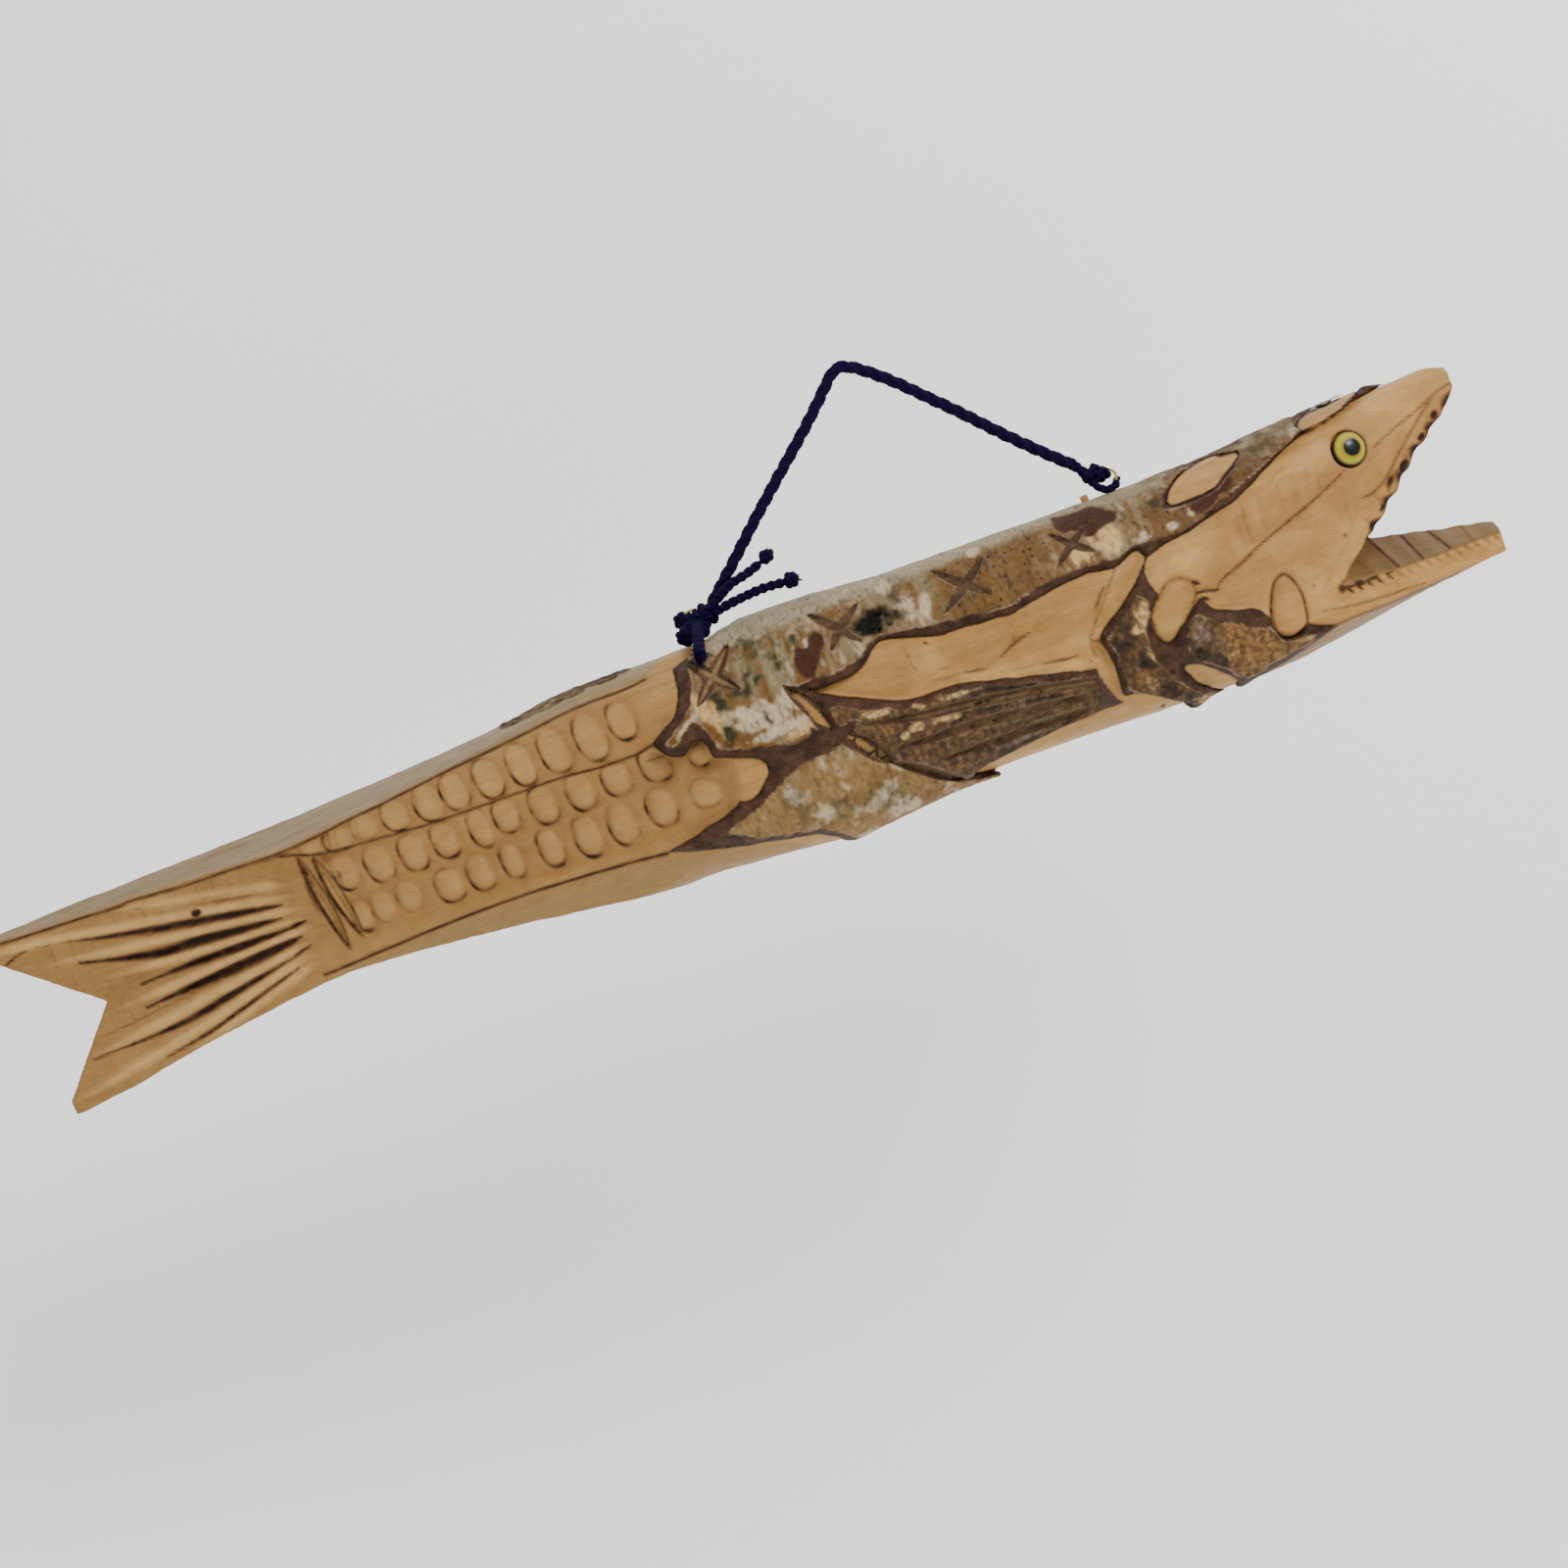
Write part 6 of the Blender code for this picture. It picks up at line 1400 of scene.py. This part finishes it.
def back_strip():
    """The strip of dark rough bark left along the ridge of the tail."""
    nx, ny = 120, 56
    gx, gy = np.meshgrid(np.linspace(-121.5, -65.5, nx), np.linspace(-13.4, 13.4, ny), indexing="ij")
    wd = at(HALF_WIDTH, gx)
    rg, te = at(RIDGE, gx), at(TOP_EDGE, gx)
    roof = rg - np.abs(gy) * (rg - te) / wd
    roof = np.minimum(roof, at(LOG_ZC, gx) + np.sqrt(np.maximum((at(LOG_R, gx) - BARK - 0.25) ** 2 - gy**2, 0)))
    s = (gx + 121.5) / 56.0
    p = np.stack([gx, gy, roof], -1).reshape(-1, 3)
    edge = 12.6 * np.clip(np.sin(np.pi * np.clip(s * 0.92 + 0.05, 0, 1)), 0, 1) ** 0.35 - np.abs(gy) + 1.6 * noise3(p, (6, 3, 3), 81).reshape(gx.shape)
    edge = np.minimum(edge, np.minimum(gx + 121.0, -66.0 - gx) * 0.8)
    gaps = noise3(p, (9, 2.2, 2), 82).reshape(gx.shape) + 0.8 * step(-92, -116, gx) - 0.35
    rise = -0.15 + 0.55 * step(0, 1.8, edge) * (1 - 0.7 * step(0, 0.35, gaps)) + 0.32 * noise3(p, (2.4, 1.6, 2), 83).reshape(gx.shape) + 0.22 * noise3(p, (1.2, 0.9, 1), 84).reshape(gx.shape)
    z = roof + np.where(edge > 0, rise, -1.2)
    top = np.stack([gx, gy, z], -1).reshape(-1, 3)
    ids = np.arange(nx * ny).reshape(nx, ny)
    q = np.stack([ids[:-1, :-1], ids[1:, :-1], ids[1:, 1:], ids[:-1, 1:]], -1).reshape(-1, 4)
    keep = (edge.reshape(-1)[q] > -0.5).any(1)
    o, pf = mesh_from("bark_tail_strip_skin", top, q[keep])
    n = len(pf)
    wv = np.abs(pf[:, 1])
    col = np.tile(np.asarray(srgb(118, 96, 66), np.float32), (n, 1))
    col = blend_to(col, srgb(58, 42, 30), np.clip(0.55 + 1.2 * noise3(pf, (3, 1.6, 2), 85) + 0.3 * step(-96, -80, pf[:, 0]), 0, 1))
    col = blend_to(col, srgb(150, 128, 96), np.clip(1.6 * noise3(pf, (7, 2, 2), 86) - 0.2, 0, 0.8) * step(-84, -98, pf[:, 0]))
    paint(o, "paint", col)
    paint(o, "masks", np.stack([np.full(n, 0.4), np.zeros(n), np.full(n, 0.35)], -1))
    place(o, BARKM, "birch_bark", "fish", "bark_tail_strip")
    m = o.modifiers.new("thickness", "SOLIDIFY")
    m.thickness, m.offset = 0.0012, -1.0


back_strip()


# ---------------------------------------------------------------- eyes
def plain(name, colour, roughness, metallic=0.0, coat=0.0, spec=0.5):
    m = Nodes(name)
    b = m.bsdf.inputs
    b["Roughness"].default_value = roughness
    b["Metallic"].default_value = metallic
    b["Coat Weight"].default_value = coat
    b["Coat Roughness"].default_value = 0.03
    b["Specular IOR Level"].default_value = spec
    fc = m.attr("fc").outputs["Vector"]
    n = m.noise(fc, 1400, 3, 0.6)
    c = m.mix(m.ramp(n, [(0.3, 0.0), (0.7, 0.6)]), colour, tuple(v * 0.72 for v in colour))
    m.link(c, b["Base Color"])
    return m


iris = Nodes("eye_iris")
ib = iris.bsdf.inputs
ifc = iris.attr("eye").outputs["Vector"]
sep = iris.add("ShaderNodeSeparateXYZ")
iris.link(ifc, sep.inputs[0])
fibres = iris.noise(ifc, 3.0, 3, 0.6, (0.6, 9, 1))
ic = iris.ramp(sep.outputs["X"], [(0.44, (0.10, 0.085, 0.004)), (0.54, (0.33, 0.27, 0.006)), (0.66, (0.52, 0.42, 0.012)), (0.80, (0.62, 0.50, 0.016)), (0.90, (0.30, 0.24, 0.008)), (0.955, (0.02, 0.014, 0.004))])
ic = iris.mix(iris.ramp(fibres, [(0.35, 0.0), (0.7, 0.55)]), ic, (0.62, 0.58, 0.4), "MULTIPLY")
iris.link(ic, ib["Base Color"])
ib["Roughness"].default_value = 0.45
ib["Specular IOR Level"].default_value = 0.15
ib["Coat Weight"].default_value = 0.25
ib["Coat Roughness"].default_value = 0.03
pupil = plain("eye_pupil", (0.003, 0.004, 0.006), 0.30, 0, 0.0, 0.3)
glass = Nodes("eye_glass")
gb = glass.bsdf.inputs
gb["Base Color"].default_value = (0.02, 0.025, 0.03, 1)
gb["Roughness"].default_value = 0.02
gb["Alpha"].default_value = 0.14
gn = glass.noise(glass.attr("fc").outputs["Vector"], 300, 2)
glass.link(glass.bump(gn, 0.05, 0.00002), gb["Normal"])


def disc(name, profile, side, seg=64):
    """A turned piece of the eye: radius and height in mm over the eye's seat."""
    place_, out = eye_frame(side)
    rot = np.array(out.to_track_quat("Z", "Y").to_matrix())
    pr = np.array(profile, float)
    ang = np.arange(seg) / seg * 2 * math.pi
    loc = np.stack([pr[:, :1] * np.cos(ang), pr[:, :1] * np.sin(ang), np.repeat(pr[:, 1:], seg, 1)], -1)
    ids = np.arange(len(pr) * seg).reshape(len(pr), seg)
    nxt = np.roll(ids, -1, 1)
    q = np.stack([ids[:-1], ids[1:], nxt[1:], nxt[:-1]], -1).reshape(-1, 4)
    flat_ = loc.reshape(-1, 3)
    o, pf = mesh_from(name, flat_ @ rot.T + np.array(place_), q)
    a = o.data.attributes.new("eye", "FLOAT_VECTOR", "POINT")
    r = np.hypot(flat_[:, 0], flat_[:, 1]) / EYE_R
    a.data.foreach_set("vector", np.stack([r, np.arctan2(flat_[:, 1], flat_[:, 0]) / 6.2832 * 4, flat_[:, 2] * 0], -1).astype(np.float32).ravel())
    return o


def arc(r0, r1, h0, h1, n=10, power=2.0):
    return [(r0 + (r1 - r0) * k / n, h0 + (h1 - h0) * (k / n) ** power) for k in range(n + 1)]


for side, s in (("right", -1), ("left", 1)):
    dome = [(0.001, 3.35)] + [(EYE_R * math.sin(a), 0.55 + 2.8 * math.cos(a)) for a in [math.pi / 2 * k / 14 for k in range(1, 15)]] + [(EYE_R, -0.6), (EYE_R - 0.4, -0.9), (0.001, -0.9)]
    place(disc(f"glass_dome_{side}", dome, s), glass.mat, "eye_glass", "fish", f"eye_glass_{side}")
    ir = [(0.001, 2.55)] + arc(0.4, 5.95, 2.54, 0.35, 16, 2.2) + [(6.15, 0.05), (6.2, -0.5), (6.1, -1.6), (0.001, -1.6)]
    place(disc(f"painted_iris_{side}", ir, s), iris.mat, "eye_iris", "fish", f"eye_iris_{side}")
    pu = [(0.001, 2.80)] + arc(0.3, 2.95, 2.79, 2.34, 8, 2) + [(3.1, 2.1), (3.0, 1.2), (0.001, 1.1)]
    place(disc(f"black_pupil_{side}", pu, s), pupil.mat, "eye_pupil", "fish", f"eye_pupil_{side}")


# ---------------------------------------------------------------- brass screw eyes
brass = Nodes("brass_wire")
bb = brass.bsdf.inputs
bfc = brass.attr("fc").outputs["Vector"]
tar = brass.noise(bfc, 900, 3, 0.6)
bc_ = brass.ramp(tar, [(0.35, (0.80, 0.60, 0.22)), (0.6, (0.72, 0.52, 0.17)), (0.75, (0.42, 0.27, 0.09))])
brass.link(bc_, bb["Base Color"])
bb["Metallic"].default_value = 1.0
brass.link(brass.math("ADD", brass.math("MULTIPLY", tar, 0.25), 0.14), bb["Roughness"])

REAR_RING, FRONT_RING, RING_R, WIRE = (-38.5, 48.2), (119.5, 44.2), 4.3, 0.55


def screw_eye(name, node, centre):
    cx, cz = centre
    a = np.linspace(-math.pi / 2 + 0.16, 1.5 * math.pi - 0.30, 64)
    loop = np.stack([cx + RING_R * np.cos(a), 0 * a, cz + RING_R * np.sin(a)], -1)
    neck = np.array([[cx, 0, cz - RING_R - k] for k in (13.0, 9, 5, 2.4, 1.2, 0.5)])
    bend = np.array([[cx + 0.25, 0, cz - RING_R - 0.12]])
    parts = [tube(np.concatenate([neck, bend, loop]), np.concatenate([np.full(3, 0.8), np.full(3 + 1, 0.72), np.full(64, WIRE)]), 12)]
    th = np.linspace(0, 2 * math.pi * 6, 120)
    helix = np.stack([cx + 0.86 * np.cos(th), 0.86 * np.sin(th), cz - RING_R - 12.0 + th / (2 * math.pi) * 1.15], -1)
    parts.append(tube(helix, 0.22, 6))
    o, _ = mesh_from(name, *join(parts))
    place(o, brass.mat, "brass_wire", "fish", node)


screw_eye("rear_brass_eye", "screw_eye_rear", REAR_RING)
screw_eye("front_brass_eye", "screw_eye_front", FRONT_RING)

# the whittled peg jammed beside the front ring
wm = Nodes("wedge_wood")
wf = wm.attr("fc").outputs["Vector"]
wg = wm.noise(wf, 1400, 3, 0.6, (1, 1, 0.12))
wm.link(wm.ramp(wg, [(0.35, (0.42, 0.20, 0.065)), (0.6, (0.30, 0.13, 0.038)), (0.75, (0.16, 0.065, 0.02))]), wm.bsdf.inputs["Base Color"])
wm.bsdf.inputs["Roughness"].default_value = 0.6
wm.link(wm.bump(wg, 0.5, 0.0002), wm.bsdf.inputs["Normal"])
bpy.ops.mesh.primitive_cube_add(size=1)
peg = bpy.context.object
peg.name = "ring_peg"
for vtx in peg.data.vertices:
    k = 1 - 0.22 * (vtx.co.z < 0) + 0.06 * (vtx.co.x > 0) * (vtx.co.z > 0)
    vtx.co = Vector((vtx.co.x * 2.6 * k, vtx.co.y * 3.0 * k, vtx.co.z * 5.0)) * 0.001
mod = peg.modifiers.new("b", "BEVEL")
mod.width, mod.segments = 0.00028, 3
sub = peg.modifiers.new("s", "SUBSURF")
sub.subdivision_type = "SIMPLE"
sub.levels = sub.render_levels = 3
dg = bpy.context.evaluated_depsgraph_get()
pm = bpy.data.meshes.new_from_object(peg.evaluated_get(dg))
cc = np.zeros(len(pm.vertices) * 3, np.float32)
pm.vertices.foreach_get("co", cc)
cc = cc.reshape(-1, 3) * 1000
ca, sa = math.cos(math.radians(-9)), math.sin(math.radians(-9))
cc = np.stack([cc[:, 0] * ca + cc[:, 2] * sa, cc[:, 1], -cc[:, 0] * sa + cc[:, 2] * ca], -1) + np.array([110.4, 0, 39.0])
cc += 0.08 * np.stack([noise3(cc, 0.9, s_) for s_ in (91, 92, 93)], -1)
pq = [tuple(p.vertices) for p in pm.polygons]
bpy.data.objects.remove(peg)
o, _ = mesh_from("ring_peg", cc, [q for q in pq if len(q) == 4], [q for q in pq if len(q) == 3])
place(o, wm.mat, "wedge_wood", "fish", "ring_wedge")


# ---------------------------------------------------------------- cord
def cord_material():
    m = Nodes("indigo_cord")
    fc = m.attr("fc").outputs["Vector"]
    n = m.noise(fc, 2600, 3, 0.6)
    n2 = m.noise(fc, 700, 2, 0.5)
    c = m.mix(m.ramp(n, [(0.3, 0.0), (0.72, 1.0)]), (0.002592, 0.000648, 0.01368), (0.0072, 0.002016, 0.03168))
    c = m.mix(m.ramp(n2, [(0.5, 0.0), (0.8, 0.4)]), c, (0.0108, 0.00432, 0.04032))
    m.link(c, m.bsdf.inputs["Base Color"])
    m.bsdf.inputs["Roughness"].default_value = 0.86
    m.bsdf.inputs["Specular IOR Level"].default_value = 0.08
    m.bsdf.inputs["Sheen Weight"].default_value = 0.03
    m.bsdf.inputs["Sheen Roughness"].default_value = 0.45
    m.bsdf.inputs["Sheen Tint"].default_value = (0.35, 0.3, 0.75, 1)
    m.link(m.bump(n, 0.7, 0.00022), m.bsdf.inputs["Normal"])
    return m.mat


CORD = cord_material()
SLING = [(-29.6, 0, 52.9), (-24, 0, 57.8), (-16, 0, 64.9), (-5, 0, 75.0), (6, 0, 84.4), (15, 0, 92.0), (24, 0, 99.8), (32, 0, 107.2), (37.2, 0, 112.2),
         (40.4, 0, 114.7), (43.1, 0, 115.2), (46.2, 0, 114.2), (51.5, 0, 110.6), (60, 0, 103.4), (70, 0, 93.4), (80, 0, 83.2), (90, 0, 72.8), (100, 0, 62.8), (106.5, 0, 56.6), (110.6, 0, 52.9)]


def fuzz(path, radius, count, seed, length=1.3, thick=0.05):
    """Short loose fibres standing off a cord."""
    g = np.random.default_rng(seed)
    parts = []
    for _ in range(count):
        k = g.integers(1, len(path) - 1)
        d = g.normal(size=3)
        d /= np.linalg.norm(d)
        side = g.normal(size=3) * 0.5
        ln = length * g.uniform(0.5, 1.0)
        base = path[k] + d * radius * 0.9
        pts = [base + d * ln * 0.5 * s_ + side * ln * 0.5 * s_ * s_ for s_ in (0.0, 0.5, 1.0)]
        parts.append(tube(pts, np.array([thick, thick * 0.8, thick * 0.4]), 4, caps=False))
    return parts


def two_ply(path, offset, radius, pitch, phase=0.0, sides=14, rib=0.10, plies=2):
    out = []
    for c, line in enumerate(strands(path, offset, pitch, plies, phase)):
        r = radius * (1 + 0.05 * np.sin(np.arange(len(line)) * 0.31 + c * 1.7) + 0.03 * np.sin(np.arange(len(line)) * 0.83))
        out.append(tube(line, r, sides, twist=1.15, ribs=3, rib=rib, phase=c))
    return out


path = smooth_route(SLING, 0.6)
o, _ = mesh_from("sling", *join(two_ply(path, 0.98, 1.32, 17.0, plies=3) + fuzz(path, 2.1, 260, 5, 0.9)))
sling = place(o, CORD, "indigo_cord", "sling", "sling_cord")


def loops(name, node, curves, extra=()):
    parts = []
    for pts, r in curves:
        line = smooth_route(pts, 0.5)
        parts += two_ply(line, r * 0.42, r * 0.66, 6.0, phase=len(parts), sides=10)
    o, _ = mesh_from(name, *join(parts + list(extra)))
    return place(o, CORD, "indigo_cord", "fish", node)


def ring_of(c, rx, ry, rz, normal, start=0.0, turns=1.0, n=14, drift=(0, 0, 0)):
    """Points round a tilted ellipse about c."""
    nrm = Vector(normal).normalized()
    q = nrm.to_track_quat("Z", "Y").to_matrix()
    pts = []
    for k in range(int(n * turns) + 1):
        a = start + 2 * math.pi * k / n
        loc = q @ Vector((math.cos(a), math.sin(a), 0))
        pts.append((c[0] + loc.x * rx + drift[0] * k / n, c[1] + loc.y * ry + drift[1] * k / n, c[2] + loc.z * rz + drift[2] * k / n))
    return pts


def blob(c, size, turn=0.0, n=14):
    """The hidden heart of a knot."""
    th = np.linspace(0.02, math.pi - 0.02, n)
    ph = np.arange(2 * n) / (2 * n) * 2 * math.pi
    x, y, z = size[0] * np.outer(np.sin(th), np.cos(ph)), size[1] * np.outer(np.sin(th), np.sin(ph)), size[2] * np.outer(np.cos(th), np.ones(2 * n))
    ca, sa = math.cos(math.radians(turn)), math.sin(math.radians(turn))
    pos = np.stack([c[0] + x * ca - z * sa, c[1] + y, c[2] + x * sa + z * ca], -1).reshape(-1, 3)
    ids = np.arange(n * 2 * n).reshape(n, 2 * n)
    nxt = np.roll(ids, -1, 1)
    return pos, np.stack([ids[:-1], ids[1:], nxt[1:], nxt[:-1]], -1).reshape(-1, 4), np.zeros((0, 3), int)


def winding(c, size, axis, turns, start=0.0, a0=28.0, a1=152.0, turn=0.0):
    """Cord wound over a rounded heart, from one pole towards the other."""
    q = Vector(axis).normalized().to_track_quat("Z", "Y").to_matrix()
    ca, sa = math.cos(math.radians(turn)), math.sin(math.radians(turn))
    pts = []
    n = max(8, int(turns * 11))
    for k in range(n + 1):
        t = k / n
        th = math.radians(a0 + (a1 - a0) * t)
        ph = start + 2 * math.pi * turns * t
        d = q @ Vector((math.sin(th) * math.cos(ph), math.sin(th) * math.sin(ph), math.cos(th)))
        x, y, z = d.x * size[0], d.y * size[1], d.z * size[2]
        pts.append((c[0] + x * ca - z * sa, c[1] + y, c[2] + x * sa + z * ca))
    return pts


rear = loops("rear_tied_knot", "rear_knot", [
    (winding((-38.4, 0, 46.9), (4.3, 3.9, 3.4), (1, 0.15, 0.35), 2.4, 0.4, 34, 146, 12), 1.6),
    (winding((-38.4, 0, 47.0), (4.5, 4.2, 3.7), (0.15, 0.4, 1), 1.3, 1.9, 60, 120, 12), 1.6),
    (winding((-33.9, 0, 49.0), (3.9, 3.0, 2.8), (0.7, 0.2, 0.8), 1.9, 2.6, 40, 150, -44), 1.5),
    (winding((-38.9, -4.4, 44.9), (3.9, 2.6, 2.7), (0.5, 0.9, 0.3), 2.1, 0.4, 30, 150), 1.6),
    (winding((-42.3, 0, 49.7), (2.6, 3.1, 2.7), (0.4, 1.0, 0.2), 1.6, 0.9, 40, 140), 1.4),
    (winding((-43.0, -6.6, 44.6), (2.5, 2.5, 2.7), (0.3, 1.0, 0.3), 1.6, 0.2, 40, 140), 1.4),
    ([(-36.6, 0.8, 46.6), (-34.6, 0.9, 49.0), (-32.2, 0.4, 50.8), (-29.6, 0, 52.9)], 1.9),
    ([(-36.6, -2.0, 44.9), (-34.4, -2.8, 46.4), (-32.0, -3.0, 48.2), (-29.4, -2.8, 49.6)], 1.5),
    ([(-38.6, 0, 43.9), (-36.6, 1.6, 44.0), (-34.6, 1.8, 45.6), (-33.0, 1.2, 48.0)], 1.5)],
    [blob((-38.4, 0, 46.9), (4.2, 3.8, 3.2), 12), blob((-38.9, -4.2, 45.0), (3.6, 2.6, 2.6)), blob((-33.9, 0, 49.0), (3.6, 2.8, 2.6), -44), blob((-42.3, 0, 49.7), (2.4, 2.9, 2.5)), blob((-43.0, -6.4, 44.6), (2.3, 2.3, 2.5)), blob((-40.6, -3.0, 46.0), (3.6, 4.0, 3.4))]
    + fuzz(np.array([(-38.2, 0, 47.2), (-37, 0, 47.6), (-35, 0, 48.4), (-33, 0, 49)]), 4.6, 60, 12, 1.2))
front = loops("front_hitch_knot", "front_hitch", [
    (winding((115.9, 0, 47.2), (2.9, 2.9, 2.9), (1, 0.2, -0.7), 2.1, 0.3, 34, 150), 1.35),
    (winding((115.9, 0, 47.4), (3.0, 3.1, 3.0), (0.2, 0.5, 1), 1.2, 2.0, 60, 120), 1.3),
    (winding((119.3, 0, 46.2), (2.6, 2.7, 1.6), (1, 0.1, 0.25), 1.7, 1.2, 40, 140, 18), 1.2),
    ([(114.6, 0.6, 46.6), (113.4, 0.3, 48.6), (112.2, 0, 50.6), (110.6, 0, 52.9)], 1.9),
    ([(114.6, -1.6, 46.4), (115.4, -2.2, 43.6), (116.6, -2.1, 41.8), (118.4, -1.6, 40.6), (120.6, -0.8, 39.9), (123.0, 0.3, 41.2), (124.0, 1.0, 43.2)], 1.35),
    ([(114.9, 1.2, 45.4), (116.4, 1.6, 42.6), (118.4, 1.5, 41.2), (121.0, 1.4, 40.6), (123.4, 0.6, 42.0)], 1.25)],
    [blob((115.9, 0, 47.3), (2.8, 2.8, 2.8)), blob((119.2, 0, 46.2), (2.4, 2.4, 1.3), 18)]
    + fuzz(np.array([(115.8, 0, 47.6), (117.0, 0, 47.2), (118.4, 0, 46.8), (119.4, 0, 46.4)]), 3.4, 36, 13, 0.9))
TAIL_UP = [(-27.4, -4.8, 53.2), (-21, -6.6, 56.6), (-14, -7.0, 58.2), (-8.4, -7.0, 60.0)]
TAIL_LOW = [(-27.4, -3.4, 49.4), (-20, -3.2, 50.4), (-11, -3.0, 50.9), (-3.0, -3.0, 50.4)]
up_end = loops("upper_loose_end", "tail_upper", [([(-34.5, -2.6, 49.2), (-31, -3.8, 51.2), *TAIL_UP], 1.75)], fuzz(smooth_route(TAIL_UP, 1.0), 1.5, 30, 14, 1.0))
low_end = loops("lower_loose_end", "tail_lower", [([(-34.0, -2.8, 47.8), (-31, -3.2, 48.6), *TAIL_LOW], 1.8)], fuzz(smooth_route(TAIL_LOW, 1.0), 1.5, 36, 15, 1.0))


def frayed(name, node, curves, tip, direction, spread, count, seed, length=2.6):
    g = np.random.default_rng(seed)
    d0 = Vector(direction).normalized()
    parts = []
    for _ in range(count):
        d = (d0 + Vector(g.normal(size=3) * spread)).normalized()
        base = Vector(tip) + Vector(g.normal(size=3) * 0.7)
        ln = length * g.uniform(0.5, 1.0)
        bend = Vector(g.normal(size=3) * 0.25)
        pts = [np.array(base + d * ln * t + bend * ln * t * t) for t in (0.0, 0.35, 0.7, 1.0)]
        parts.append(tube(pts, np.array([0.24, 0.21, 0.15, 0.07]), 5))
    return loops(name, node, curves, parts)


stop_up = frayed("upper_end_knot", "stopper_upper", [(winding((-5.4, -7.0, 61.4), (1.9, 1.7, 1.7), (1, 0.1, 0.5), 2.0, 0.2), 1.15), (winding((-5.4, -7.0, 61.4), (1.8, 1.7, 1.8), (0.2, 0.8, -0.4), 1.2, 0.2, 60, 120), 1.1), ([(-8.2, -7.0, 60.0), (-6.2, -7.0, 61.0), (-4.2, -7.0, 62.3)], 1.3)], (-4.0, -7.0, 62.2), (0.8, 0, 0.45), 0.45, 34, 21, 1.7)
stop_low = frayed("lower_end_knot", "stopper_lower", [(winding((0.0, -3.0, 50.3), (2.0, 1.9, 2.1), (1, 0.1, 0.1), 2.1, 0.2), 1.2), (winding((0.0, -3.0, 50.3), (1.9, 1.9, 2.1), (0.1, 0.8, 0.4), 1.2, 0.6, 60, 120), 1.1), ([(-3.0, -3.0, 50.4), (-0.8, -3.0, 50.4), (1.2, -3.0, 50.2)], 1.3)], (1.2, -3.0, 50.2), (0.7, 0, -0.3), 0.6, 44, 22, 2.0)
TUFT = [(-38.2, -5.0, 47.0), (-38.0, -8.0, 46.4), (-38.0, -13, 45.2), (-38.2, -19.0, 43.2), (-38.8, -24.0, 40.4), (-39.4, -26.8, 37.8)]
tuft = frayed("hanging_tuft", "knot_tuft", [(TUFT, 1.9), ([(a + 0.9, b + 0.2, c + 0.2) for a, b, c in TUFT], 1.5)], (-39.0, -25.4, 39.2), (-0.05, -0.62, -0.78), 0.34, 170, 23, 5.2)
